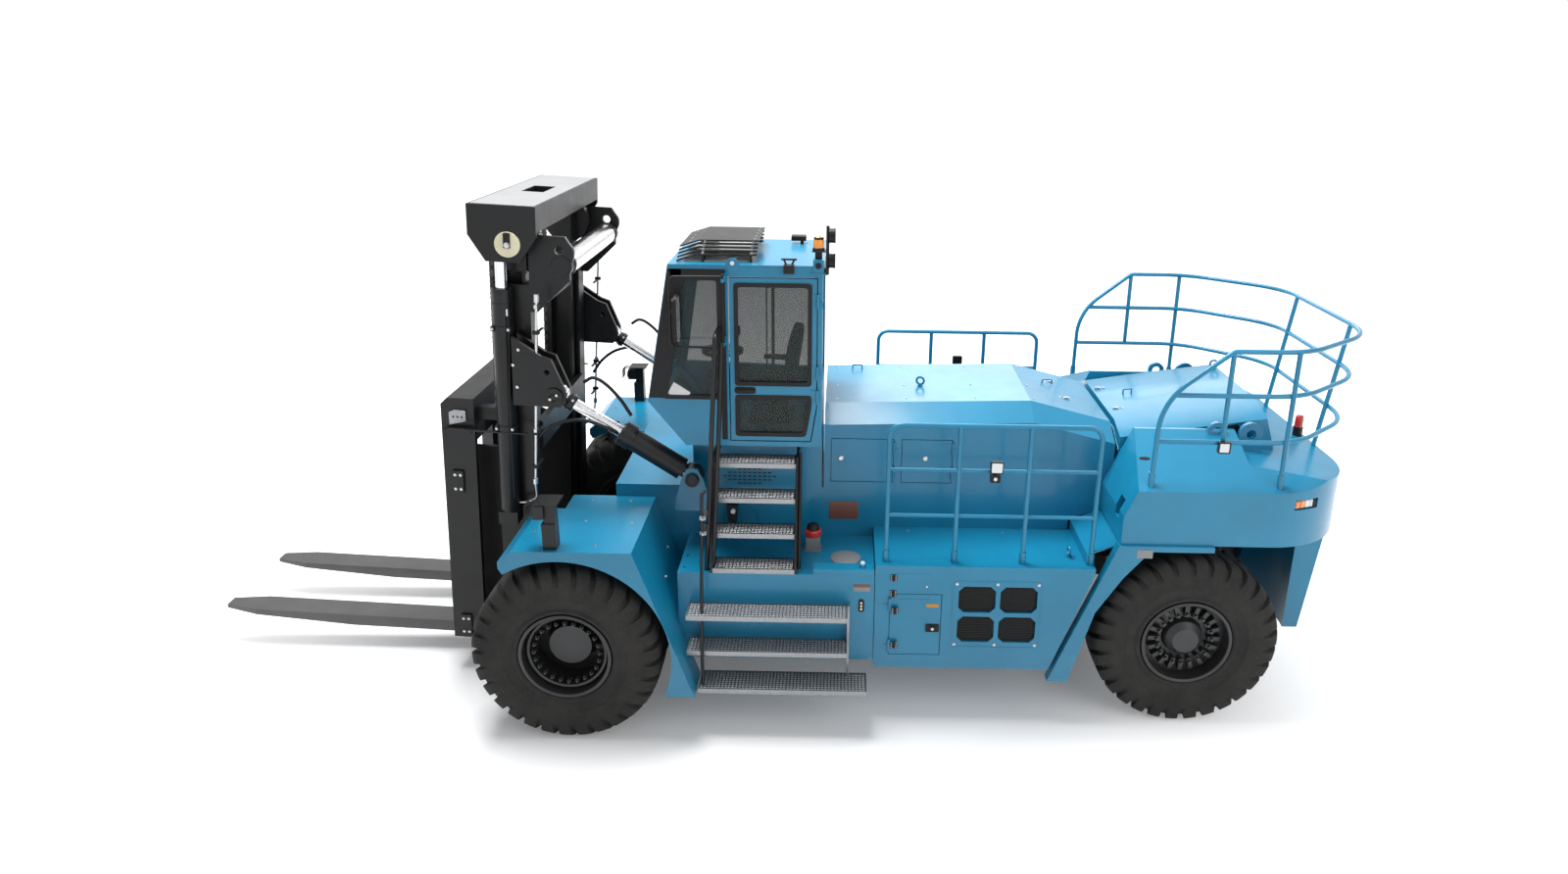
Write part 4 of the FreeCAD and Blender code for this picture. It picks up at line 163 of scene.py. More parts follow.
def ramp(tree, source, low, high, low_colour, high_colour):
    """A colour that goes from one to another as the source goes from low to high."""
    node = add_node(tree, "ValToRGB", {"Fac": source})
    node.color_ramp.elements[0].position = low
    node.color_ramp.elements[1].position = high
    node.color_ramp.elements[0].color = (*low_colour, 1)
    node.color_ramp.elements[1].color = (*high_colour, 1)
    return node.outputs["Color"]


def spread(tree, source, low, high):
    """A number that goes from low to high with the source."""
    return add_node(tree, "MapRange", {"To Min": low, "To Max": high, "Value": source}).outputs["Result"]


def bump(tree, shader, source, strength, distance):
    """Relief on a shader's surface, from a number."""
    node = add_node(tree, "Bump", {"Strength": strength, "Distance": distance, "Height": source})
    feed(tree, shader, {"Normal": node.outputs["Normal"]})


def mix_colour(tree, share, first, second):
    """Two colours mixed by a number from another node."""
    first, second = ((*value, 1) if isinstance(value, tuple) else value for value in (first, second))
    return add_node(tree, "Mix", {"Factor": share, "A": first, "B": second}, data_type="RGBA").outputs["Result"]


def low_dust(tree, height):
    """How much road dust a surface has: more of it near the ground, in patches."""
    place = add_node(tree, "TexCoord").outputs["Object"]
    split = add_node(tree, "SeparateXYZ", {"Vector": place})
    reach = add_node(tree, "MapRange", {"From Min": 0.0, "From Max": height, "To Min": 0.55, "To Max": 0.0,
                                        "Value": split.outputs["Z"]})
    patches = noise(tree, 3.0, 6.0, 0.65)
    return multiply(tree, reach.outputs["Result"], patches)


def paint(name, colour, roughness=0.32, coat=0.35, dust=(0.30, 0.27, 0.23), dust_height=1.6, variation=0.10, shine=0.5):
    """Machine paint: faint colour variation, orange peel in the clear coat, and dust near the ground."""
    material, tree, shader = new_material(name)
    base = tuple(colour)
    darker = tuple(channel * (1 - variation) for channel in base)
    lighter = tuple(min(1.0, channel * (1 + variation)) for channel in base)
    cloud = ramp(tree, noise(tree, 1.4, 5.0), 0.35, 0.7, darker, lighter)
    feed(tree, shader, {
        "Base Color": mix_colour(tree, low_dust(tree, dust_height), cloud, dust),
        "Roughness": spread(tree, noise(tree, 5.0, 6.0), roughness - 0.07, roughness + 0.12),
        "Specular IOR Level": shine, "Coat Weight": coat, "Coat Roughness": 0.12})
    bump(tree, shader, noise(tree, 260.0, 2.0), 0.05, 0.0004)
    return material


def metal(name, colour, roughness=0.35, scale=60.0, stretch=(1, 1, 1), strength=0.15):
    """Bare metal with fine grain and patchy sheen."""
    material, tree, shader = new_material(name)
    base = tuple(colour)
    darker = tuple(channel * 0.78 for channel in base)
    grain = noise(tree, scale, 6.0, 0.6, stretch)
    feed(tree, shader, {
        "Base Color": ramp(tree, grain, 0.3, 0.75, darker, base),
        "Roughness": spread(tree, noise(tree, 8.0, 5.0), roughness - 0.1, roughness + 0.15), "Metallic": 1.0})
    bump(tree, shader, grain, strength, 0.0006)
    return material


def plastic(name, colour, roughness=0.5, grain=400.0):
    """Moulded plastic or rubber trim with a fine leather-like grain."""
    material, tree, shader = new_material(name)
    base = tuple(colour)
    feed(tree, shader, {
        "Base Color": ramp(tree, noise(tree, 6.0), 0.3, 0.7, tuple(c * 0.8 for c in base), base),
        "Roughness": spread(tree, noise(tree, 20.0), roughness - 0.08, roughness + 0.1),
        "Specular IOR Level": 0.25})
    bump(tree, shader, noise(tree, grain, 2.0), 0.12, 0.0004)
    return material


def tyre_rubber(name, colour):
    """Rubber with dust in its pores and pale scuffs on the sidewall."""
    material, tree, shader = new_material(name)
    base = tuple(colour)
    dust = (0.050, 0.047, 0.043)
    dusty = tuple(0.55 * a + 0.45 * b for a, b in zip(base, dust))
    patches = ramp(tree, noise(tree, 3.2, 8.0, 0.7), 0.35, 0.75, base, dusty)
    specks = ramp(tree, noise(tree, 45.0, 5.0, 0.7), 0.52, 0.72, (0.0, 0.0, 0.0), (0.35, 0.35, 0.35))
    feed(tree, shader, {
        "Base Color": mix_colour(tree, specks, patches, dust),
        "Roughness": spread(tree, noise(tree, 12.0), 0.72, 0.92), "Specular IOR Level": 0.3})
    bump(tree, shader, noise(tree, 90.0, 6.0, 0.7), 0.35, 0.0012)
    return material


def shaded_glass(name):
    """Faintly green window glass that lets half of what is behind it through; its dark colour is painted shade that
    stands for the dark inside of the cab.
    """
    material, tree, shader = new_material(name)
    feed(tree, shader, {"Base Color": (0.030, 0.045, 0.040, 1), "Roughness": 0.02, "IOR": 1.3, "Alpha": 0.50})
    return material


def lens(name, colour, glow=0.0):
    """A moulded lamp lens with fine ribs."""
    material, tree, shader = new_material(name)
    place = add_node(tree, "TexCoord").outputs["Object"]
    ribs = add_node(tree, "TexWave", {"Scale": 60.0, "Vector": place})
    base = tuple(colour)
    feed(tree, shader, {
        "Base Color": ramp(tree, ribs.outputs["Fac"], 0.2, 0.9, tuple(c * 0.75 for c in base), base),
        "Roughness": 0.12, "Coat Weight": 0.6, "Emission Color": (*base, 1), "Emission Strength": glow})
    bump(tree, shader, ribs.outputs["Fac"], 0.2, 0.002)
    return material


FINISH = {}


def make_finishes():
    """Every material, by its plain name."""
    tint = colours()
    FINISH.update(
        blue=paint("body_paint", tint.body_blue, 0.30, 0.25, dust=(0.11, 0.16, 0.20), dust_height=1.2,
                   shine=0.35),
        black=paint("mast_paint", tint.mast_black, 0.40, 0.10, dust=(0.045, 0.043, 0.041), dust_height=1.0,
                    variation=0.25, shine=0.25),
        rim=paint("rim_paint", tint.rim_black, 0.42, 0.05, dust=(0.050, 0.047, 0.044), dust_height=2.0,
                  variation=0.2),
        steel=paint("fork_paint", (0.028, 0.028, 0.032), 0.36, 0.1, dust=(0.22, 0.21, 0.20), dust_height=0.9,
                    variation=0.3),
        rubber=tyre_rubber("tyre_rubber", tint.rubber),
        zinc=metal("galvanised_steel", tint.zinc, 0.42, 40.0),
        chrome=metal("chromed_rod", (0.80, 0.80, 0.82), 0.16, 30.0, (1, 1, 0.1), 0.02),
        machined=metal("machined_steel", (0.55, 0.55, 0.56), 0.3, 90.0),
        glass=shaded_glass("window_glass"),
        trim=plastic("black_trim", (0.0075, 0.0075, 0.0085), 0.5),
        hose=plastic("hose_rubber", (0.007, 0.007, 0.008), 0.45, 600.0),
        seat=plastic("seat_cloth", (0.030, 0.032, 0.038), 0.8, 900.0),
        cream=paint("retainer_paint", tint.cream, 0.4, 0.2, dust_height=0.1),
        # The roof window is opaque pale grey paint: a painted reflection of the bright surroundings on its glass.
        grey=paint("roof_window_painted_reflection", (0.42, 0.45, 0.45), 0.2, 0.6, dust_height=0.1),
        pale=paint("pale_grey_paint", (0.20, 0.205, 0.21), 0.4, 0.2, dust_height=0.1),
        ochre=paint("ochre_plate_paint", (0.45, 0.22, 0.02), 0.45, 0.1, dust_height=0.1),
        chain=metal("oiled_chain", (0.085, 0.088, 0.080), 0.5, 80.0),
        bronze=paint("blank_plate_paint", (0.16, 0.050, 0.028), 0.45, 0.1, dust_height=0.1),
        orange=lens("orange_lens", (0.75, 0.20, 0.02), 0.1),
        amber=lens("amber_lens", tint.amber, 0.15),
        red=lens("red_lens", tint.red, 0.05),
        lamp=lens("lamp_lens", (0.75, 0.77, 0.78), 0.1),
    )


# ------------------------------------------------------------------ mesh tools
def piece(name, shape, finish, body, smooth=30.0):
    """A new object from a bmesh, with its finish and the body that it rides on.

    A piece that names no body rides on none.
    """
    mesh = bpy.data.meshes.new(name)
    bmesh.ops.recalc_face_normals(shape, faces=shape.faces)
    shape.to_mesh(mesh)
    shape.free()
    mesh.materials.append(FINISH[finish])
    made = bpy.data.objects.new(name, mesh)
    bpy.context.scene.collection.objects.link(made)
    if smooth:
        for polygon in mesh.polygons:
            polygon.use_smooth = True
        mesh.set_sharp_from_angle(angle=math.radians(smooth))
    if body:
        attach(made, body)
    return made


def single(name, finish, body, add, *words, smooth=30.0, **more):
    """A piece that is made by one of the tools below."""
    shape = bmesh.new()
    add(shape, *words, **more)
    return piece(name, shape, finish, body, smooth)


def add_block(shape, low, high, edge=0.0, spin=None):
    """A block between two corners, with its edges rounded."""
    low, high = Vector(low), Vector(high)
    place = Matrix.Translation((low + high) / 2) @ Matrix.Diagonal((*(high - low), 1.0))
    made = bmesh.ops.create_cube(shape, size=1.0, matrix=place)["verts"]
    if edge:
        edges = list(dict.fromkeys(e for v in made for e in v.link_edges))
        made = bmesh.ops.bevel(shape, geom=edges, offset=edge, segments=2, profile=0.7, affect="EDGES")["verts"]
    if spin is not None:
        bmesh.ops.transform(shape, matrix=spin, verts=made)
    return made


def facing(direction):
    """The turn that takes +Z to a direction."""
    return Vector(direction).to_track_quat("Z", "Y").to_matrix().to_4x4()


def add_bar(shape, start, end, radius, sides=20, edge=0.0):
    """A round bar between two points."""
    start, end = Vector(start), Vector(end)
    place = Matrix.Translation((start + end) / 2) @ facing(end - start)
    verts = bmesh.ops.create_cone(shape, cap_ends=True, segments=sides, radius1=radius, radius2=radius,
                                  depth=(end - start).length, matrix=place)["verts"]
    if edge:
        rims = [e for e in dict.fromkeys(e for v in verts for e in v.link_edges)
                if len(e.link_faces) == 2 and e.calc_face_angle(0) > 0.9]
        bmesh.ops.bevel(shape, geom=rims, offset=edge, segments=2, affect="EDGES")
    return verts


def add_ring(shape, centre, direction, profile, sides=48):
    """A solid of revolution: (distance along, radius) corners turned about an axis."""
    place = Matrix.Translation(Vector(centre)) @ facing(direction)
    corners = [shape.verts.new(place @ Vector((radius, 0, along))) for along, radius in profile]
    edges = [shape.edges.new((corners[i], corners[(i + 1) % len(corners)])) for i in range(len(corners))]
    bmesh.ops.spin(shape, geom=corners + edges, cent=centre, axis=Vector(direction).normalized(),
                   angle=math.tau, steps=sides, use_merge=True)


def hex_head(shape, centre, direction, radius, height):
    """A bolt's head standing on a face."""
    centre, direction = Vector(centre), Vector(direction).normalized()
    add_bar(shape, centre, centre + direction * height * 0.25, radius * 1.35, 18)
    add_bar(shape, centre, centre + direction * height, radius, 6)


def curve_tube(name, points, radius, finish, body, order=4):
    """A hose or bent tube along a smooth line."""
    data = bpy.data.curves.new(name, "CURVE")
    data.dimensions = "3D"
    data.bevel_depth = radius
    data.bevel_resolution = 4
    data.use_fill_caps = True
    data.resolution_u = 8
    spline = data.splines.new("NURBS")
    spline.points.add(len(points) - 1)
    for knot, point in zip(spline.points, points):
        knot.co = (*point, 1.0)
    spline.order_u = min(order, len(points))
    spline.use_endpoint_u = True
    data.materials.append(FINISH[finish])
    made = bpy.data.objects.new(name, data)
    bpy.context.scene.collection.objects.link(made)
    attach(made, body)
    return made


def hose_line(points, steps=8):
    """Points along a smooth curve through the given points."""
    points = [Vector(point) for point in points]
    padded = [points[0] * 2 - points[1], *points, points[-1] * 2 - points[-2]]
    line = []
    for first, second, third, fourth in zip(padded, padded[1:], padded[2:], padded[3:]):
        for step in range(steps):
            share = step / steps
            line.append(0.5 * (second * 2 + (third - first) * share
                               + (first * 2 - second * 5 + third * 4 - fourth) * share ** 2
                               + (second * 3 - first - third * 3 + fourth) * share ** 3))
    return line + [points[-1]]


def add_hose(shape, line, radius, around=12):
    """A tube swept along a line of close points."""
    side = (line[1] - line[0]).cross(Vector((0.3, 1.0, 0.2))).normalized()
    rings = []
    for number, point in enumerate(line):
        heading = (line[min(number + 1, len(line) - 1)] - line[max(number - 1, 0)]).normalized()
        side = (side - heading * side.dot(heading)).normalized()
        other = heading.cross(side)
        rings.append([shape.verts.new(point + (side * math.cos(turn) + other * math.sin(turn)) * radius)
                      for turn in (math.tau * step / around for step in range(around))])
    for first, second in zip(rings, rings[1:]):
        wrap(shape, first, second)
    shape.faces.new(rings[0])
    shape.faces.new(rings[-1])


# ------------------------------------------------------------------ places
JOINT = {joint["name"]: joint for joint in frame["joints"]}


def middle(node):
    """The middle of a piece of the frame."""
    low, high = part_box(node)
    return (Vector(low) + Vector(high)) / 2


SIDES = ((1, "left"), (-1, "right"))
FRONT = middle("rim_front_left").x
REAR = middle("rim_rear_left").x
AXLE_Z = middle("rim_front_left").z


def at(x, y, z):
    """A place measured from the front axle."""
    return Vector((FRONT + x, y, z))


UP = Vector(JOINT["mast_lift"]["axis"]).normalized()
AHEAD = Vector((0, 1, 0)).cross(UP)
PIVOT = Vector(JOINT["mast_tilt"]["pos_m"])
MAST = Matrix.Translation(PIVOT) @ Matrix((AHEAD, (0, 1, 0), UP)).transposed().to_4x4()


def on_mast(x, y, z):
    """A place in the leaned mast's own axes, from its pivot."""
    return MAST @ Vector((x, y, z))


# ------------------------------------------------------------------ outlines
def side_plane(y, way=1):
    """An upright plane that looks to a side: along from the front axle, up, and out."""
    return Matrix(((1, 0, 0, FRONT), (0, 0, way, y), (0, 1, 0, 0), (0, 0, 0, 1)))


def mast_plane(x, y, z, way=1):
    """The same kind of plane in the leaned mast's own axes."""
    return MAST @ Matrix(((1, 0, 0, x), (0, 0, way, y), (0, 1, 0, z), (0, 0, 0, 1)))


def inset(corners, distance):
    """An outline drawn in by a distance, or drawn out by a negative one."""
    corners = [Vector(corner) for corner in corners]
    pairs = list(zip(corners, corners[1:] + corners[:1]))
    turn = 1 if sum(a.x * b.y - b.x * a.y for a, b in pairs) > 0 else -1
    inward = [Vector((a.y - b.y, b.x - a.x)).normalized() * turn for a, b in pairs]
    found = []
    for index, corner in enumerate(corners):
        first, second = inward[index - 1], inward[index]
        found.append(corner + (first + second) * distance / (1 + first.dot(second)))
    return found


def rounded_path(points, radius, steps=5, closed=False):
    """A line of points with its corners rounded."""
    points = [Vector(point) for point in points]
    found = []
    for index, here in enumerate(points):
        if not closed and index in (0, len(points) - 1):
            found.append(here)
            continue
        before, after = points[index - 1], points[(index + 1) % len(points)]
        reach = min(radius, (before - here).length * 0.45, (after - here).length * 0.45)
        start = here + (before - here).normalized() * reach
        end = here + (after - here).normalized() * reach
        for step in range(steps + 1):
            share = step / steps
            found.append(start * (1 - share) ** 2 + here * 2 * share * (1 - share) + end * share ** 2)
    return found


def oblong(left, low, right, high):
    """The corners of an upright rectangle."""
    return (left, low), (right, low), (right, high), (left, high)


def rounded(corners, radius, steps=4):
    """An outline with its corners rounded."""
    return rounded_path(corners, radius, steps, closed=True)


def add_plate(shape, corners, low, high, place):
    """A plate of any outline between two levels of a plane."""
    rings = [[shape.verts.new(place @ Vector((a, b, level))) for a, b in corners] for level in (low, high)]
    for ring in rings:
        shape.faces.new(ring)
    wrap(shape, rings[0], rings[1])


def wrap(shape, first, second):
    """The faces between two rings of corners."""
    for index in range(len(first)):
        after = (index + 1) % len(first)
        shape.faces.new((first[index], first[after], second[after], second[index]))


def add_frame(shape, outer, inner, low, high, place):
    """A flat frame between two outlines that have the same corners."""
    rings = [[shape.verts.new(place @ Vector((a, b, level))) for a, b in corners]
             for corners, level in ((outer, low), (outer, high), (inner, high), (inner, low))]
    for first, second in zip(rings, rings[1:] + rings[:1]):
        wrap(shape, first, second)


def surface(node, x, y):
    """The height of a piece of the frame at a place, seen from above."""
    made = frame["nodes"][node]
    inverse = made.matrix_world.inverted()
    start = inverse @ Vector((x, y, 10.0))
    heading = (inverse.to_3x3() @ Vector((0, 0, -1))).normalized()
    hit, place, *_ = made.ray_cast(start, heading)
    if not hit:
        raise RuntimeError(f"nothing of {node} lies under {x:.3f}, {y:.3f}")
    return (made.matrix_world @ place).z


# ------------------------------------------------------------------ wheels
# (distance from the middle plane, radius, radial groove, sideways groove), from the bead to the crown
TYRE_PROFILE = ((0.205, 0.402, 0, 0), (0.232, 0.415, 0, 0), (0.240, 0.438, 0, 0), (0.228, 0.462, 0, 0),
                (0.232, 0.480, 0, 0), (0.241, 0.540, 0, 0), (0.246, 0.546, 0, 0), (0.245, 0.556, 0, 0),
                (0.249, 0.620, 0, 0), (0.249, 0.672, 0, 0), (0.2495, 0.690, 0, 0.010), (0.245, 0.735, 0.004, 0.022),
                (0.232, 0.778, 0.030, 0.020), (0.208, 0.808, 0.044, 0.008), (0.172, 0.822, 0.046, 0),
                (0.105, 0.8245, 0.044, 0), (0.050, 0.825, 0.020, 0), (0.0, 0.825, 0, 0))
LUG_STEPS = ((0.0, 0), (0.05, 1), (0.17, 1), (0.29, 1), (0.35, 0), (0.57, 0), (0.79, 0))


def tyre_mesh(centre, count):
    """A tyre with blocks along each shoulder, staggered from one side to the other."""
    rings = []
    shape = bmesh.new()
    half = [(-y, r, g, w, 0.5) for y, r, g, w in TYRE_PROFILE[:-1]]
    profile = half + [(y, r, g, w, 0.0) for y, r, g, w in reversed(TYRE_PROFILE)]
    for number in range(count):
        for share, open_ in LUG_STEPS:
            ring = []
            for y, radius, groove, side, stagger in profile:
                slant = 0.55 * max(0.0, 0.25 - abs(y)) / 0.25
                turn = math.tau * (number + share + stagger + slant) / count
                r = radius - groove * open_
                out = y - math.copysign(side * open_, y)
                ring.append(shape.verts.new((centre.x + r * math.sin(turn), centre.y + out,
                                             centre.z + r * math.cos(turn))))
            rings.append(ring)
    for first, second in zip(rings, rings[1:] + rings[:1]):
        wrap(shape, first, second)
    return shape


class FORKLIFT_OT_tyres(bpy.types.Operator):
    """Make the six lugged tyres"""

    bl_idname = "forklift.tyres"
    bl_label = "Tyres"

    def execute(self, context):
        count = sizes().lug_count
        for place, axle in (("front_outer", "front"), ("front_inner", "front"), ("rear", "rear")):
            for _, word in SIDES:
                node = f"tyre_{place}_{word}"
                made = piece(node + "_lugs", tyre_mesh(middle(node), count), "rubber", f"wheel_{axle}_{word}", 35.0)
                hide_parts(node)
        return {"FINISHED"}


class FORKLIFT_OT_rims(bpy.types.Operator):
    """Make the wheel nuts, the lock rings and the rear rims' clamps"""

    bl_idname = "forklift.rims"
    bl_label = "Rims"

    def execute(self, context):
        for side, word in SIDES:
            self.front(side, word)
            self.rear(side, word)
        return {"FINISHED"}

    def lock_ring(self, axle, side, word):
        """A new shape with the rim's lock ring, the middle of the rim's outer face and the way out of it."""
        low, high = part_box(f"rim_{axle}_{word}")
        centre = Vector((FRONT if axle == "front" else REAR, (high if side > 0 else low)[1], AXLE_Z))
        out = Vector((0, side, 0))
        shape = bmesh.new()
        section = ((-0.02, 0.372), (0.028, 0.372), (0.034, 0.382), (0.028, 0.398), (-0.02, 0.398))
        add_ring(shape, centre - out * 0.03, out, section, 72)
        return shape, centre, out

    def front(self, side, word):
        """The front rim's inner ring and its circle of nuts on their studs."""
        shape, centre, out = self.lock_ring("front", side, word)
        add_ring(shape, centre - out * 0.10, out, ((-0.02, 0.325), (0.02, 0.325), (0.026, 0.345), (-0.02, 0.36)), 72)
        nuts = 24
        for number in range(nuts):
            turn = math.tau * number / nuts
            at_nut = centre - out * 0.118 + Vector((math.sin(turn), 0, math.cos(turn))) * 0.285
            add_bar(shape, at_nut, at_nut + out * 0.045, 0.018, 6)
            add_bar(shape, at_nut, at_nut + out * 0.065, 0.010, 10)
        piece("front_wheel_nuts_" + word, shape, "rim", "wheel_front_" + word)

    def rear(self, side, word):
        """The rear rim's clamps, each with its nut."""
        shape, centre, out = self.lock_ring("rear", side, word)
        clamps = 20
        for number in range(clamps):
            place = Matrix.Translation(centre - out * 0.11) @ Matrix.Rotation(math.tau * number / clamps, 4, "Y")
            add_block(shape, (-0.020, -0.03, 0.215), (0.020, 0.03, 0.325), 0.008, place)
            nut = place @ Vector((0.0, 0.0, 0.245))
            add_bar(shape, nut, nut + out * 0.055, 0.016, 6)
        piece("rear_wheel_lugs_" + word, shape, "rim", "wheel_rear_" + word)


# ------------------------------------------------------------------ treads
class FORKLIFT_OT_treads(bpy.types.Operator):
    """Make the perforated treads of the ladder and the lower steps"""

    bl_idname = "forklift.treads"
    bl_label = "Treads"

    def execute(self, context):
        for number, (low, high) in enumerate(self.places()):
            self.tread(f"tread_{number}", low, high)
        return {"FINISHED"}

    def places(self):
        """The box of each tread, placed from the pieces that carry them."""
        thick = 0.045
        _, side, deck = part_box("step_box_left")[1]
        found = []
        for level in range(4):
            out = side - level * 0.1
            base = deck + level * 0.29
            found.append(((FRONT - 1.95, out - 0.21, base), (FRONT - 1.24, out, base + thick)))
        low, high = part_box("lower_steps")
        for level in (1, 2):
            top = low[2] + thick + level * 0.345
            found.append(((FRONT - 2.42, low[1], top - thick), (FRONT - 1.03, high[1] - 0.05, top)))
        found.append(((FRONT - 2.60, low[1], low[2]), (FRONT - 1.125, high[1], low[2] + thick)))
        return found

    def tread(self, name, low, high):
        """A galvanised plank that wraps its solid, with rows of raised holes; the floor of each hole is painted black
        as shade.
        """
        skin, pitch, margin = 0.002, 0.030, 0.03
        low = Vector(low) - Vector((skin, 0, skin))
        high = Vector(high) + Vector((skin, skin, skin))
        shape = bmesh.new()
        add_block(shape, low, (high.x, high.y, high.z - 0.004), 0.002)
        across, along = high.x - low.x - margin, high.y - low.y - margin
        cells_x, cells_y = int(across / pitch), max(3, int(along / pitch))
        middle_at = ((low.x + high.x) / 2, (low.y + high.y) / 2, high.z - 0.003)
        place = Matrix.Translation(middle_at) @ Matrix.Diagonal((across / 2, along / 2, 1, 1))
        before = set(shape.faces)
        bmesh.ops.create_grid(shape, x_segments=cells_x, y_segments=cells_y, size=1.0, matrix=place)
        grid = [face for face in shape.faces if face not in before]
        bmesh.ops.inset_individual(shape, faces=grid, thickness=0.007, depth=0.004)
        bmesh.ops.inset_individual(shape, faces=grid, thickness=0.002, depth=0.001)
        bmesh.ops.inset_individual(shape, faces=grid, thickness=0.0005, depth=-0.012)
        # The hole floors take the black trim finish: painted shade for the dark seen down the perforations.
        for face in grid:
            face.material_index = 1
        made = piece(name, shape, "zinc", "truck", 40.0)
        made.data.materials.append(FINISH["trim"])


class FORKLIFT_OT_ladder_rails(bpy.types.Operator):
    """Make the ladder's second hand rail, the low rail and their clamps"""

    bl_idname = "forklift.ladder_rails"
    bl_label = "Ladder rails"

    def execute(self, context):
        curve_tube("ladder_rail_second", (at(-1.337, 1.46, 3.50), at(-1.30, 1.515, 2.60), at(-1.235, 1.57, 1.46)),
                   0.020, "black", "truck", 2)
        curve_tube("ladder_rail_low",
                   rounded_path((at(-1.19, 1.62, 2.24), at(-1.168, 1.66, 2.22), at(-1.16, 1.72, 1.60),
                                 at(-1.165, 1.885, 0.80), at(-1.165, 1.86, 0.50)), 0.02), 0.014, "black", "truck", 2)
        shape = bmesh.new()
        for height in (2.02, 1.88):
            add_block(shape, at(-1.205, 1.56, height - 0.018), at(-1.150, 1.705, height + 0.018), 0.006)
            add_bar(shape, at(-1.177, 1.70, height), at(-1.177, 1.725, height), 0.014, 8)
        piece("ladder_rail_clamps", shape, "zinc", "truck")
        return {"FINISHED"}


# ------------------------------------------------------------------ cab
SIDE_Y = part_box("door_glass")[1][1] + 0.012
QUARTER_WINDOW = ((-0.81, 2.94), (-0.98, 4.00), (-1.30, 4.00), (-1.30, 2.94))
QUARTER_PANEL = ((-0.785, 2.93), (-0.785, 2.86), (-1.02, 2.585), (-1.335, 2.585), (-1.335, 2.93))
UPPER_WINDOW = ((-1.432, 3.07), (-1.432, 3.948), (-2.068, 3.948), (-2.068, 3.07))
LOWER_WINDOW = ((-1.432, 2.607), (-1.432, 2.96), (-2.068, 2.96), (-2.068, 2.865), (-2.023, 2.607))
SCREEN_LEAN = math.atan2(0.210, 1.210)
SCREEN = (Matrix.Translation((FRONT - 0.66, 0.0, 2.90)) @ Matrix.Rotation(-SCREEN_LEAN, 4, "Y")
          @ Matrix(((0, 0, 1, 0), (1, 0, 0, 0), (0, 1, 0, 0), (0, 0, 0, 1))))


def window_seal(name, corners, place, body):
    """Rubber round a window: a raised frame over the edge of the opening."""
    overlap = 0.012
    outer = rounded(inset(corners, -overlap), 0.03)
    inner = rounded(inset(corners, sizes().seal_width - overlap), 0.025)
    single(name, "trim", body, add_frame, outer, inner, -0.004, 0.010, place, smooth=40.0)


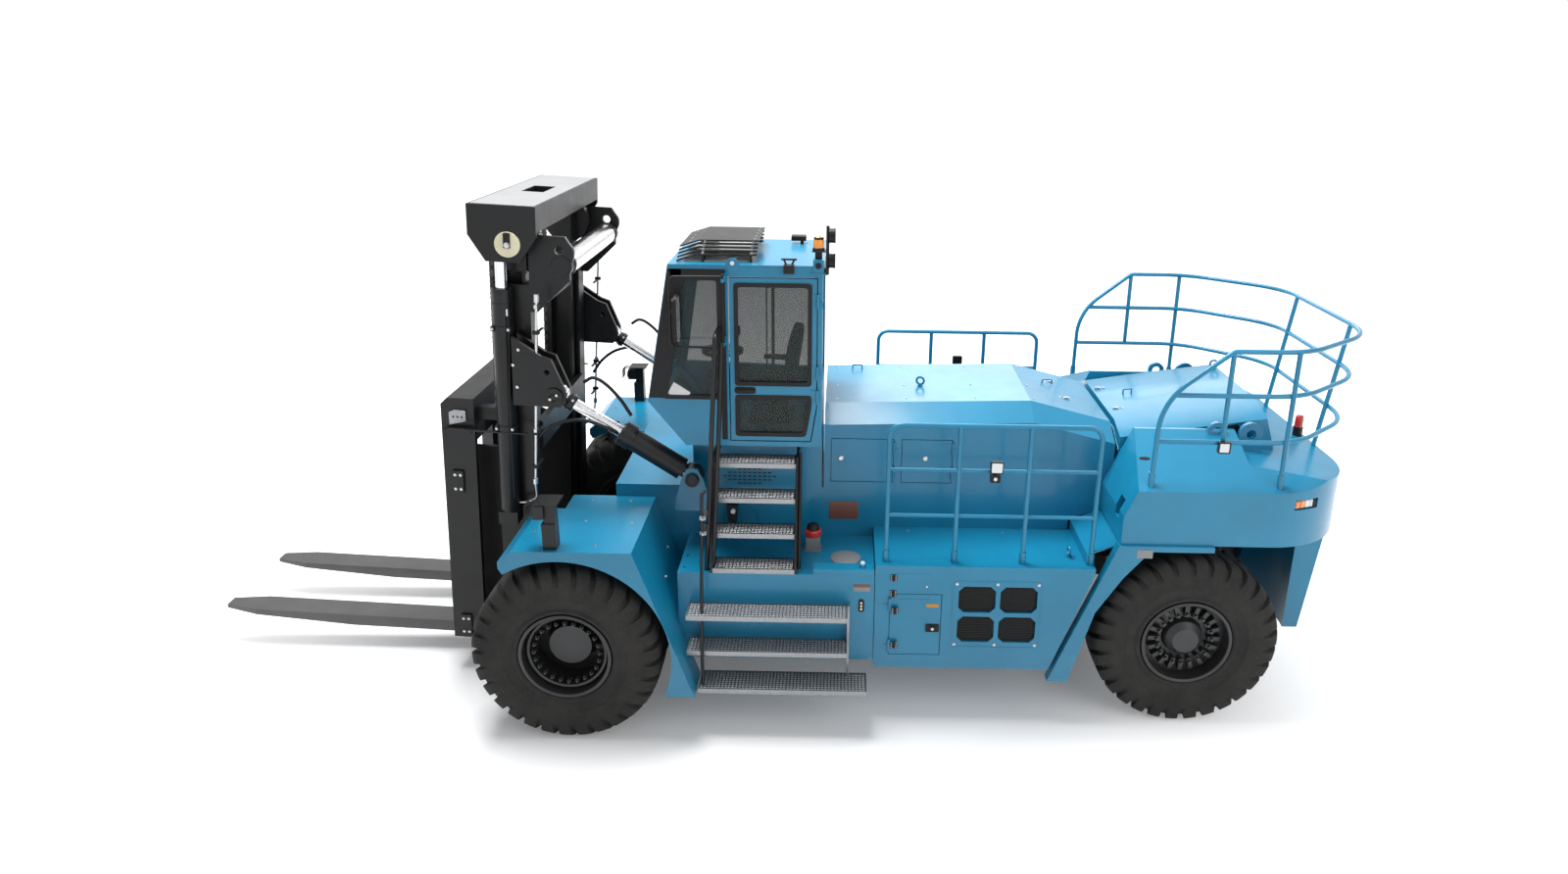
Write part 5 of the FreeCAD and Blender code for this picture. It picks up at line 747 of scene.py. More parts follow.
class FORKLIFT_OT_cab_trim(bpy.types.Operator):
    """Make the window seals, the sliding pane, the door handle, the mirror and the wiper"""

    bl_idname = "forklift.cab_trim"
    bl_label = "Cab trim"

    def execute(self, context):
        side = side_plane(SIDE_Y)
        window_seal("quarter_window_seal", QUARTER_WINDOW, side, "truck")
        single("quarter_panel", "blue", "truck", add_plate, QUARTER_PANEL, -0.008, 0.002, side)
        post = ((-0.672, 2.935), (-0.812, 2.935), (-0.984, 4.012), (-0.985, 4.070), (-0.872, 4.070))
        single("quarter_post_trim", "trim", "truck", add_plate, post, -0.003, 0.005, side)
        window_seal("door_window_seal_upper", UPPER_WINDOW, side, "cab_door")
        window_seal("door_window_seal_lower", LOWER_WINDOW, side, "cab_door")
        window_seal("screen_seal", oblong(0.045, 0.045, 1.135, 1.135), SCREEN, "truck")
        shape = bmesh.new()
        add_plate(shape, oblong(-1.302, 2.56, -1.350, 4.04), -0.003, 0.006, side)
        add_plate(shape, ((-0.90, 4.012), (-1.35, 4.012), (-1.35, 4.072), (-0.885, 4.072)), -0.003, 0.005, side)
        piece("door_post_trim", shape, "trim", "truck")
        shape = bmesh.new()
        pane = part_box("door_glass")[0][1]
        add_block(shape, at(-1.762, pane - 0.022, 3.075), at(-1.735, pane - 0.002, 3.945), 0.003)
        add_block(shape, at(-1.700, pane - 0.010, 3.075), at(-1.688, pane - 0.002, 3.945), 0.003)
        add_block(shape, at(-1.470, pane - 0.030, 3.50), at(-1.450, pane - 0.002, 3.58), 0.004)
        piece("sliding_pane_frame", shape, "trim", "cab_door")
        self.handle()
        self.mirror()
        self.wiper()
        self.louvres()
        return {"FINISHED"}

    def handle(self):
        """The recessed pull of the door on its plate, with the key lock."""
        shape = bmesh.new()
        side = side_plane(SIDE_Y)
        add_plate(shape, rounded(((-1.415, 2.985), (-1.415, 3.045), (-1.60, 3.045), (-1.60, 2.985)), 0.028), -0.002,
                  0.006, side)
        add_block(shape, at(-1.585, SIDE_Y + 0.004, 3.004), at(-1.455, SIDE_Y + 0.020, 3.026), 0.006)
        add_bar(shape, at(-1.438, SIDE_Y, 3.015), at(-1.438, SIDE_Y + 0.024, 3.015), 0.014, 20, edge=0.003)
        piece("door_handle", shape, "trim", "cab_door")

    def mirror(self):
        """The mirror on its hoop, held by two brackets at the door post."""
        out = 1.36
        hoop = rounded_path((at(-1.345, out, 4.035), at(-0.906, out, 4.031), at(-0.903, out, 3.437),
                             at(-1.345, out, 3.430)), 0.05)
        curve_tube("mirror_hoop", hoop, 0.011, "trim", "truck", 2)
        curve_tube("mirror_hoop_post", (at(-1.345, out, 4.06), at(-1.345, out, 3.405)), 0.012, "trim", "truck", 2)
        shape = bmesh.new()
        for height in (4.005, 3.46):
            foot = ((-1.37, -0.055), (-1.37, 0.055), (-1.325, 0.018), (-1.325, -0.018))
            add_plate(shape, [(x, height + z) for x, z in foot], 0.0, 0.012, side_plane(SIDE_Y + 0.002))
            add_block(shape, at(-1.358, SIDE_Y, height - 0.015), at(-1.332, out + 0.018, height + 0.015), 0.004)
        piece("mirror_brackets", shape, "blue", "truck")
        shape = bmesh.new()
        plate = Matrix(((0, 0, 1, FRONT), (1, 0, 0, 0), (0, 1, 0, 0), (0, 0, 0, 1)))
        outline = rounded(oblong(out - 0.085, 3.465, out + 0.085, 3.875), 0.07, 6)
        add_plate(shape, outline, -0.970, -0.945, plate)
        add_plate(shape, [(out + (y - out) * 0.8, 3.67 + (z - 3.67) * 0.9) for y, z in outline], -0.950, -0.925, plate)
        add_block(shape, at(-0.945, out - 0.02, 3.72), at(-0.895, out + 0.02, 3.76), 0.005)
        piece("mirror", shape, "trim", "truck")
        single("mirror_glass", "chrome", "truck", add_plate,
               [(out + (y - out) * 0.88, 3.67 + (z - 3.67) * 0.95) for y, z in outline], -0.9715, -0.9695, plate)

    def wiper(self):
        """The wiper's motor cover, arm and blade on the windscreen."""
        def on_screen(left, up, out=0.03):
            return SCREEN @ Vector((left, up, out))

        shape = bmesh.new()
        add_bar(shape, on_screen(0.62, 0.015, 0.0), on_screen(0.62, 0.015, 0.045), 0.024, 20, edge=0.004)
        add_bar(shape, on_screen(0.62, 0.015, 0.036), on_screen(0.90, 0.52, 0.034), 0.009, 10)
        add_bar(shape, on_screen(0.66, 0.015, 0.036), on_screen(0.92, 0.49, 0.034), 0.006, 10)
        add_bar(shape, on_screen(0.93, 0.27, 0.026), on_screen(0.90, 0.80, 0.026), 0.009, 8)
        add_bar(shape, on_screen(0.93, 0.27, 0.016), on_screen(0.90, 0.80, 0.016), 0.006, 8)
        piece("wiper", shape, "trim", "truck")

    def louvres(self):
        """The rows of vent slots in the wall under the cab, drawn as flat black plates: painted shade for the dark
        inside the slots.
        """
        shape = bmesh.new()
        side = side_plane(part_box("hood")[0][1] * -1)
        for row, count in enumerate((5, 9, 11, 9, 5)):
            height = 2.05 + (row - 2) * 0.036
            for number in range(count):
                along = -1.50 + (number - (count - 1) / 2) * 0.046
                add_plate(shape,
                          rounded(((along - 0.017, height - 0.006), (along + 0.017, height - 0.006),
                                   (along + 0.017, height + 0.006), (along - 0.017, height + 0.006)), 0.005, 2),
                          -0.002, 0.001, side)
        piece("vent_slot_shade_plates", shape, "trim", "truck")


class FORKLIFT_OT_roof_fittings(bpy.types.Operator):
    """Make the roof window, the bolts of its guard, the roof lug, the sensor boxes and the beacon's lens"""

    bl_idname = "forklift.roof_fittings"
    bl_label = "Roof fittings"

    def execute(self, context):
        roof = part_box("cab")[1][2]
        # The roof window takes the pale grey paint, a painted reflection in place of glass.
        single("roof_window", "grey", "truck", add_block, at(-1.57, 0.06, roof), at(-0.99, 1.10, roof + 0.010), 0.004)
        shape = bmesh.new()
        cab_middle = 0.57
        for x in (-1.02, -1.57):
            for y in (cab_middle + step * 0.15 for step in (-2, -1, 0, 1, 2)):
                top = surface("roof_guard", FRONT + x, y)
                hex_head(shape, (FRONT + x, y, top - 0.001), (0, 0, 1), 0.010, 0.008)
        piece("roof_guard_bolts", shape, "machined", "truck")
        shape = bmesh.new()
        side = side_plane(SIDE_Y - 0.014)
        lug = [(-1.48, 4.06), (-1.345, 4.06), (-1.355, 4.115), (-1.385, 4.165), (-1.44, 4.165), (-1.47, 4.115)]
        add_plate(shape, rounded(lug, 0.02), -0.012, 0.016, side)
        piece("roof_lifting_lug", shape, "blue", "truck")
        # The lug's eye takes the pale lamp lens finish, whose faint glow is painted light on a part that is no lamp.
        single("roof_lug_eye", "lamp", "truck", add_bar, at(-1.4125, SIDE_Y, 4.125),
               at(-1.4125, SIDE_Y + 0.004, 4.125), 0.018, 20)
        shape = bmesh.new()
        add_block(shape, at(-1.93, SIDE_Y - 0.05, 4.045), at(-1.84, SIDE_Y + 0.035, 4.118), 0.008)
        add_bar(shape, at(-1.86, SIDE_Y - 0.02, 4.118), at(-1.84, SIDE_Y - 0.02, 4.160), 0.008, 10)
        add_bar(shape, at(-1.91, SIDE_Y - 0.02, 4.118), at(-1.93, SIDE_Y - 0.02, 4.160), 0.008, 10)
        add_bar(shape, at(-1.82, SIDE_Y - 0.02, 4.160), at(-1.95, SIDE_Y - 0.02, 4.160), 0.009, 10)
        add_block(shape, at(-1.965, 0.12, roof), at(-1.935, 0.18, roof + 0.03), 0.004)
        add_block(shape, at(-1.990, 0.09, roof + 0.03), at(-1.850, 0.21, roof + 0.075), 0.010)
        piece("roof_sensors", shape, "trim", "truck")
        shape = bmesh.new()
        add_block(shape, at(-2.177, SIDE_Y - 0.10, 4.045), at(-2.086, SIDE_Y + 0.012, 4.165), 0.006)
        add_block(shape, at(-2.19, SIDE_Y - 0.11, 4.04), at(-2.07, SIDE_Y + 0.018, 4.055), 0.003)
        piece("roof_corner_box", shape, "blue", "truck")
        single("roof_corner_sensor", "trim", "truck", add_bar, at(-2.13, SIDE_Y + 0.010, 4.115),
               at(-2.13, SIDE_Y + 0.022, 4.115), 0.026, 24, edge=0.004)
        self.beacon()
        self.work_lamps()
        return {"FINISHED"}

    def beacon(self):
        """The beacon: its dark foot and the domed amber lens over the lamp's plain solid."""
        centre = at(-2.13, 1.18, 4.235)
        shape = bmesh.new()
        add_ring(shape, centre, (0, 0, 1),
                 ((0.0, 0.002), (0.0, 0.050), (0.020, 0.050), (0.024, 0.046), (0.024, 0.002)), 32)
        add_block(shape, at(-2.16, 1.165, 4.165), at(-2.10, 1.195, 4.236), 0.004)
        piece("beacon_foot", shape, "trim", "truck")
        single("beacon_lens", "amber", "truck", add_ring, centre, (0, 0, 1),
               ((0.024, 0.002), (0.024, 0.045), (0.030, 0.0455), (0.085, 0.0445), (0.105, 0.038), (0.118, 0.026),
                (0.125, 0.012), (0.126, 0.002)), 32, smooth=50.0)

    def work_lamps(self):
        """The cooling fins, the bezels and the lenses of the two work lamps behind the cab."""
        fins = bmesh.new()
        glass = bmesh.new()
        for height in (4.15, 4.36):
            centre = at(-2.26, 1.19, height)
            add_ring(fins, centre, (-1, 0, 0), ((-0.004, 0.040), (-0.004, 0.062), (0.008, 0.062), (0.010, 0.058),
                                                (0.004, 0.050), (0.004, 0.040)), 32)
            for number in range(6):
                along = 0.006 + number * 0.0065
                add_ring(fins, centre, (1, 0, 0), ((along, 0.020), (along, 0.063), (along + 0.0025, 0.063),
                                                   (along + 0.0025, 0.020)), 32)
            add_ring(glass, centre, (-1, 0, 0), ((-0.004, 0.002), (-0.004, 0.054), (0.003, 0.054), (0.006, 0.030),
                                                 (0.007, 0.002)), 32)
        piece("work_lamp_fins", fins, "trim", "truck")
        piece("work_lamp_lenses", glass, "lamp", "truck")


# ------------------------------------------------------------------ seat
def add_pad(shape, place, size, crown, cuts=18, channels=()):
    """A crowned pad: full in the middle, drawn in between its corners and flat where it rests."""
    kept = set(shape.verts)
    bmesh.ops.create_cube(shape, size=2.0)
    edges = [e for e in shape.edges if not (set(e.verts) & kept)]
    bmesh.ops.subdivide_edges(shape, edges=edges, cuts=cuts, use_grid_fill=True)
    half = Vector(size) / 2
    power, drawn, channel_depth, channel_width = 5.0, 0.035, 0.009, 0.045
    for vert in shape.verts:
        if vert in kept:
            continue
        x, y, z = vert.co
        longest = (abs(x) ** power + abs(y) ** power + abs(z) ** power) ** (1 / power)
        scale = max(abs(x), abs(y), abs(z)) / longest
        x, y, z = x * scale, y * scale, z * scale
        drawn_x = 1 - drawn * (1 - y * y)
        drawn_y = 1 - drawn * (1 - x * x)
        height = z * half.z
        if z > 0:
            height += crown * (1 - x * x) * (1 - y * y) * z
        for along in channels:
            height -= channel_depth * math.exp(-((y - along) / channel_width) ** 2) * max(0.0, z)
        vert.co = place @ Vector((x * half.x * drawn_x, y * half.y * drawn_y, height))


class FORKLIFT_OT_seat(bpy.types.Operator):
    """Make the driver's seat: two crowned pads, the side bolsters, the arm rests and the sprung base"""

    bl_idname = "forklift.seat"
    bl_label = "Seat"

    def execute(self, context):
        crown = sizes().pad_crown
        middle_y = 0.59
        cushion = Matrix.Translation(at(-1.635, middle_y, 2.905)) @ Matrix.Rotation(math.radians(-5), 4, "Y")
        seat = single("seat_cushion", "seat", "truck", add_pad, cushion, (0.47, 0.50, 0.13), crown,
                      channels=(-0.52, 0.52), smooth=60.0)
        back = Matrix.Translation(at(-1.905, middle_y, 3.175)) @ Matrix.Rotation(math.radians(81), 4, "Y")
        rest = single("seat_back", "seat", "truck", add_pad, back, (0.52, 0.47, 0.11), crown,
                      channels=(-0.52, 0.52), smooth=60.0)
        for part, place, long_, wide, level in (("cushion", cushion, 0.47, 0.50, 0.050),
                                                ("back", back, 0.52, 0.47, 0.043)):
            loop = rounded(oblong(-long_ / 2, -wide / 2, long_ / 2, wide / 2), 0.07, 5)
            line = [place @ Vector((a * 0.955, b * 0.955, level)) for a, b in loop + loop[:1]]
            curve_tube(f"seat_{part}_piping", line, 0.004, "trim", "truck", 3)
        shape = bmesh.new()
        add_plate(shape, ((-1.89, 2.55), (-1.49, 2.55), (-1.50, 2.60), (-1.88, 2.60)), 0.40, 0.78, side_plane(0.0))
        for number in range(4):
            low = 2.60 + number * 0.052
            add_block(shape, at(-1.86 + 0.012 * (number % 2), 0.43, low),
                      at(-1.52 - 0.012 * (number % 2), 0.75, low + 0.050), 0.012)
        add_plate(shape, ((-1.90, 2.808), (-1.43, 2.808), (-1.42, 2.835), (-1.90, 2.835)), 0.37, 0.81,
                  side_plane(0.0))
        piece("seat_base", shape, "trim", "truck")
        shape = bmesh.new()
        for side in (1, -1):
            y = middle_y + side * 0.235
            low, high = sorted((y - 0.022 * side, y + 0.020 * side))
            add_plate(shape, rounded(((-1.90, 3.03), (-1.60, 3.05), (-1.60, 3.085), (-1.90, 3.085)), 0.015), low,
                      high, side_plane(0.0))
        piece("seat_arm_rests", shape, "seat", "truck")
        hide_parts("seat")
        return {"FINISHED"}


# ------------------------------------------------------------------ step box and body wall
class FORKLIFT_OT_step_fittings(bpy.types.Operator):
    """Make the filler cap, the stop button, the ledge, the horn and the connector beside the ladder"""

    bl_idname = "forklift.step_fittings"
    bl_label = "Step box fittings"

    def execute(self, context):
        _, side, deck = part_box("step_box_left")[1]
        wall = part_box("hood")[0][1] * -1
        single("filler_cap", "pale", "truck", add_ring, at(-2.400, 1.306, deck), (0, 0, 1),
               ((-0.002, 0.002), (-0.002, 0.137), (0.008, 0.137), (0.013, 0.130), (0.020, 0.060), (0.021, 0.002)), 64)
        shape = bmesh.new()
        add_block(shape, at(-2.652, side - 0.125, deck - 0.004), at(-2.115, side + 0.006, deck + 0.055), 0.010)
        add_bar(shape, at(-2.548, side - 0.055, deck + 0.05), at(-2.548, side - 0.055, deck + 0.085), 0.030, 24,
                edge=0.003)
        piece("step_box_ledge", shape, "blue", "truck")
        # The cap takes the pale lamp lens finish, whose faint glow is painted light on a part that is no lamp.
        single("ledge_cap", "lamp", "truck", add_bar, at(-2.548, side - 0.055, deck + 0.085),
               at(-2.548, side - 0.055, deck + 0.102), 0.021, 6)
        self.stop_button(deck)
        single("blank_plate_wall", "bronze", "truck", add_block, at(-2.512, wall - 0.001, 1.632),
               at(-2.240, wall + 0.004, 1.812), 0.002)
        shape = bmesh.new()
        add_block(shape, at(-2.617, side - 0.001, 1.305), at(-2.471, side + 0.002, 1.345), 0.0008)
        add_block(shape, at(-5.033, 1.649, 1.692), at(-4.897, 1.653, 1.769), 0.001)
        piece("blank_plate_pale", shape, "pale", "truck")
        single("blank_plate_dark", "bronze", "truck", add_block, at(-2.617, side - 0.001, 1.345),
               at(-2.471, side + 0.002, 1.374), 0.0008)
        single("connector", "trim", "truck", add_plate, rounded(oblong(-2.568, 1.105, -2.518, 1.225), 0.024, 6),
               -0.001, 0.010, side_plane(side))
        shape = bmesh.new()
        for number in range(3):
            spot = at(-2.543, side + 0.008, 1.135 + number * 0.030)
            add_bar(shape, spot, spot + Vector((0, 0.005, 0)), 0.010, 16)
        piece("connector_pins", shape, "cream", "truck")
        shape = bmesh.new()
        add_plate(shape, ((-1.395, 1.80), (-1.290, 1.80), (-1.300, 1.70), (-1.315, 1.58), (-1.370, 1.58),
                          (-1.385, 1.70)), 0.0, 0.10, side_plane(wall))
        add_block(shape, at(-1.372, wall, 1.50), at(-1.312, wall + 0.04, 1.60), 0.010)
        piece("horn", shape, "trim", "truck")
        # The horn's cap takes the pale lamp lens finish, whose faint glow is painted light on a part that is no lamp.
        single("horn_cap", "lamp", "truck", add_bar, at(-1.352, wall + 0.095, 1.742),
               at(-1.352, wall + 0.125, 1.742), 0.022, 20, edge=0.004)
        shape = bmesh.new()
        add_ring(shape, at(-1.41, wall - 0.004, 1.60), (0, 1, 0),
                 ((0.0, 0.160), (0.0, 0.172), (0.009, 0.172), (0.007, 0.160)), 64)
        add_ring(shape, at(-1.41, wall - 0.004, 1.60), (0, 1, 0),
                 ((0.0, 0.002), (0.0, 0.158), (0.007, 0.158), (0.007, 0.002)), 64)
        piece("wall_cover", shape, "blue", "truck")
        shape = bmesh.new()
        for x, y in ((-0.975, 1.30), (-0.975, 1.52)):
            add_bar(shape, at(x, y, deck - 0.004), at(x, y, deck + 0.002), 0.011, 16)
        piece("deck_plugs", shape, "trim", "truck")
        return {"FINISHED"}

    def stop_button(self, deck):
        """The stop button on its grey box: a red skirt under a black dome."""
        x, y = -2.10, 1.12
        shape = bmesh.new()
        add_block(shape, at(x - 0.078, y - 0.070, deck), at(x + 0.078, y + 0.070, deck + 0.010), 0.003)
        add_block(shape, at(x - 0.066, y - 0.058, deck + 0.008), at(x + 0.066, y + 0.058, deck + 0.135), 0.014)
        piece("stop_button_box", shape, "pale", "truck")
        # The skirt takes the red lens finish, whose faint glow is painted light on a part that is no lamp.
        single("stop_button_skirt", "red", "truck", add_ring, at(x, y, deck + 0.135), (0, 0, 1),
               ((0.0, 0.002), (0.0, 0.074), (0.010, 0.078), (0.050, 0.076), (0.062, 0.066), (0.066, 0.002)), 40)
        single("stop_button_dome", "trim", "truck", add_ring, at(x, y, deck + 0.200), (0, 0, 1),
               ((0.0, 0.002), (0.0, 0.058), (0.024, 0.056), (0.042, 0.044), (0.052, 0.024), (0.055, 0.002)), 40,
               smooth=50.0)


# ------------------------------------------------------------------ side box and rails
def add_eye_bolt(shape, foot, radius, wire, face=(1, 0, 0)):
    """A forged ring on its collar, standing on a surface."""
    foot, rise = Vector(foot), Vector((0, 0, 1))
    add_bar(shape, foot - rise * 0.004, foot + rise * 0.010, wire * 2.4, 20, edge=0.002)
    add_bar(shape, foot, foot + rise * 0.028, wire * 1.3, 16)
    add_ring(shape, foot + rise * (0.020 + radius), face,
             [(wire * math.sin(turn * math.pi / 5), radius + wire * math.cos(turn * math.pi / 5))
              for turn in range(10)], 32)


class FORKLIFT_OT_side_fittings(bpy.types.Operator):
    """Make the grilles, the hinge plates, the latch, the eye bolt and the rail lamps of the side box"""

    bl_idname = "forklift.side_fittings"
    bl_label = "Side box fittings"

    def execute(self, context):
        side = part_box("step_box_left")[1][1]
        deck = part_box("side_box_left")[1][2]
        self.grilles(side)
        self.doors(side)
        single("box_eye_bolt", "blue", "truck", add_eye_bolt, at(-4.38, 1.39, deck), 0.036, 0.011)
        shape = bmesh.new()
        for x in (-2.98, -3.42, -3.86, -4.28):
            hex_head(shape, at(x, 0.93, deck), (0, 0, 1), 0.009, 0.008)
        for height in (1.48, 1.44):
            add_bar(shape, at(-2.655, side - 0.05, height), at(-2.64, side - 0.05, height), 0.009, 12)
        piece("box_deck_bolts", shape, "machined", "truck")
        for way, word in SIDES:
            self.rail_lamp(word, way)
        return {"FINISHED"}

    def grilles(self, side):
        """Black wire mesh behind the four openings, a black sheet behind it that is painted shade for the dark inside
        the box, and the bolts of the frame round them.
        """
        pitch = sizes().mesh_pitch
        wide, tall, deep = 0.325, 0.255, side - 0.016
        sheet, wires = bmesh.new(), bmesh.new()
        for left in (-4.075, -3.710):
            for low in (0.820, 1.115):
                # A black block fills each opening behind the wires: painted shade for the box's dark inside.
                add_block(sheet, at(left - 0.002, deep - 0.040, low - 0.002),
                          at(left + wide + 0.002, deep - 0.012, low + tall + 0.002))
                for number in range(1, int(wide / pitch)):
                    x = left + number * pitch
                    add_block(wires, at(x - 0.0025, deep - 0.013, low), at(x + 0.0025, deep - 0.006, low + tall))
                for number in range(1, int(tall / pitch)):
                    z = low + number * pitch
                    add_block(wires, at(left, deep - 0.010, z - 0.0025), at(left + wide, deep - 0.003, z + 0.0025))
        piece("grille_shade_sheet", sheet, "trim", "truck")
        piece("grille_wires", wires, "black", "truck")
        frame_line = bmesh.new()
        outline = rounded(oblong(-4.125, 0.765, -3.340, 1.425), 0.05, 6)
        add_frame(frame_line, outline, inset(outline, 0.010), -0.002, 0.003, side_plane(side))
        outline = rounded(oblong(-3.150, 1.235, -2.835, 1.490), 0.02, 4)
        add_frame(frame_line, outline, inset(outline, 0.006), -0.002, 0.002, side_plane(side))
        piece("grille_frame", frame_line, "blue", "truck")
        bolts = bmesh.new()
        for x in (-3.375, -3.7325, -4.090):
            for z in (0.795, 1.395):
                hex_head(bolts, at(x, side, z), (0, 1, 0), 0.010, 0.008)
        piece("grille_bolts", bolts, "machined", "truck")

    def doors(self, side):
        """The dark hinge plates, the paddle latch and the key locks."""
        leaf_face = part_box("box_door")[1][1]
        for name, body, face, heights in (("box_panel_hinges", "truck", side, (1.445, 1.291)),
                                          ("box_door_hinges", "box_door", leaf_face, (1.135, 0.793))):
            plates, screws = bmesh.new(), bmesh.new()
            for height in heights:
                x = -2.838 if body == "box_door" else -2.820
                add_block(plates, at(x - 0.030, face - 0.001, height - 0.031),
                          at(x + 0.030, face + 0.005, height + 0.031), 0.003)
                add_bar(plates, at(x, face + 0.004, height - 0.031), at(x, face + 0.004, height + 0.031), 0.008, 12)
                for across in (-0.020, 0.020):
                    for up in (-0.020, 0.0, 0.020):
                        spot = at(x + across, face + 0.004, height + up)
                        add_bar(screws, spot, spot + Vector((0, 0.003, 0)), 0.0045, 8)
            piece(name, plates, "trim", body)
            piece(name + "_screws", screws, "machined", body)
        leaf = side + 0.001
        latch = bmesh.new()
        add_plate(latch, rounded(oblong(-3.235, 0.920, -3.115, 0.992), 0.012), 0.0, 0.012,
                  side_plane(leaf))
        add_block(latch, at(-3.205, leaf + 0.008, 0.932), at(-3.145, leaf + 0.020, 0.980), 0.005)
        piece("box_door_latch", latch, "trim", "box_door")
        locks = bmesh.new()
        add_bar(locks, at(-3.175, leaf + 0.018, 0.956), at(-3.175, leaf + 0.026, 0.956), 0.013, 20, edge=0.002)
        piece("box_door_lock", locks, "machined", "box_door")
        plate = bmesh.new()
        add_block(plate, at(-3.223, leaf - 0.001, 1.160), at(-3.113, leaf + 0.002, 1.195), 0.001)
        piece("blank_plate_door", plate, "ochre", "box_door")
        locks = bmesh.new()
        add_bar(locks, at(-3.112, side - 0.001, 1.363), at(-3.112, side + 0.006, 1.363), 0.009, 16)
        piece("box_panel_lock", locks, "machined", "truck")
        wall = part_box("hood")[0][1] * -1
        for body, x, z in (("hatch_one", -2.343, 2.244), ("hatch_two", -3.120, 2.252)):
            locks = bmesh.new()
            add_ring(locks, at(x, wall - 0.001, z), (0, 1, 0),
                     ((0.0, 0.002), (0.0, 0.024), (0.006, 0.024), (0.010, 0.018), (0.008, 0.008), (0.008, 0.002)), 28)
            piece(body + "_lock", locks, "machined", body)

    def rail_lamp(self, word, way):
        """The work lamp on a hand rail, its bracket and the small camera under it."""
        low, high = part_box("hand_rail_" + word)
        y = high[1] if way > 0 else low[1]
        plane = side_plane(y, way)
        shape = bmesh.new()
        add_plate(shape, rounded(oblong(-3.715, 2.430, -3.605, 2.535), 0.012), 0.006, 0.040, plane)
        for number in range(5):
            height = 2.440 + number * 0.021
            add_plate(shape, oblong(-3.705, height, -3.615, height + 0.006),
                      -0.004, 0.008, plane)
        add_plate(shape, rounded(oblong(-3.695, 2.345, -3.610, 2.415), 0.012), -0.010, 0.035, plane)
        add_plate(shape, oblong(-3.665, 2.40, -3.640, 2.44), 0.0, 0.015, plane)
        piece("rail_lamp_" + word, shape, "trim", "truck")
        shape = bmesh.new()
        add_plate(shape, rounded(oblong(-3.705, 2.440, -3.615, 2.525), 0.008), 0.038, 0.043, plane)
        centre = plane @ Vector((-3.652, 2.380, 0.034))
        add_bar(shape, centre, centre + Vector((0, 0.008 * way, 0)), 0.016, 20, edge=0.002)
        piece("rail_lamp_lens_" + word, shape, "lamp", "truck")


# ------------------------------------------------------------------ hood, cover and counterweight
COVER_SECTIONS = ((-4.888, 2.578), (-5.400, 2.660), (-6.200, 2.778), (-6.290, 2.500))


def add_toggle(shape, centre, turn):
    """A toggle latch: its base, lever, wire bail and keeper."""
    place = Matrix.Translation(centre) @ Matrix.Rotation(turn, 4, "Z")
    add_block(shape, (-0.045, -0.014, -0.002), (0.020, 0.014, 0.004), 0.001, place)
    add_block(shape, (-0.040, -0.009, 0.004), (0.008, 0.009, 0.014), 0.004, place)
    add_block(shape, (0.040, -0.014, -0.002), (0.060, 0.014, 0.012), 0.002, place)
    for across in (-0.011, 0.011):
        add_bar(shape, place @ Vector((-0.010, across, 0.012)), place @ Vector((0.050, across, 0.011)), 0.0025, 8)
    add_bar(shape, place @ Vector((0.0, -0.024, 0.009)), place @ Vector((0.0, 0.024, 0.009)), 0.0045, 10)


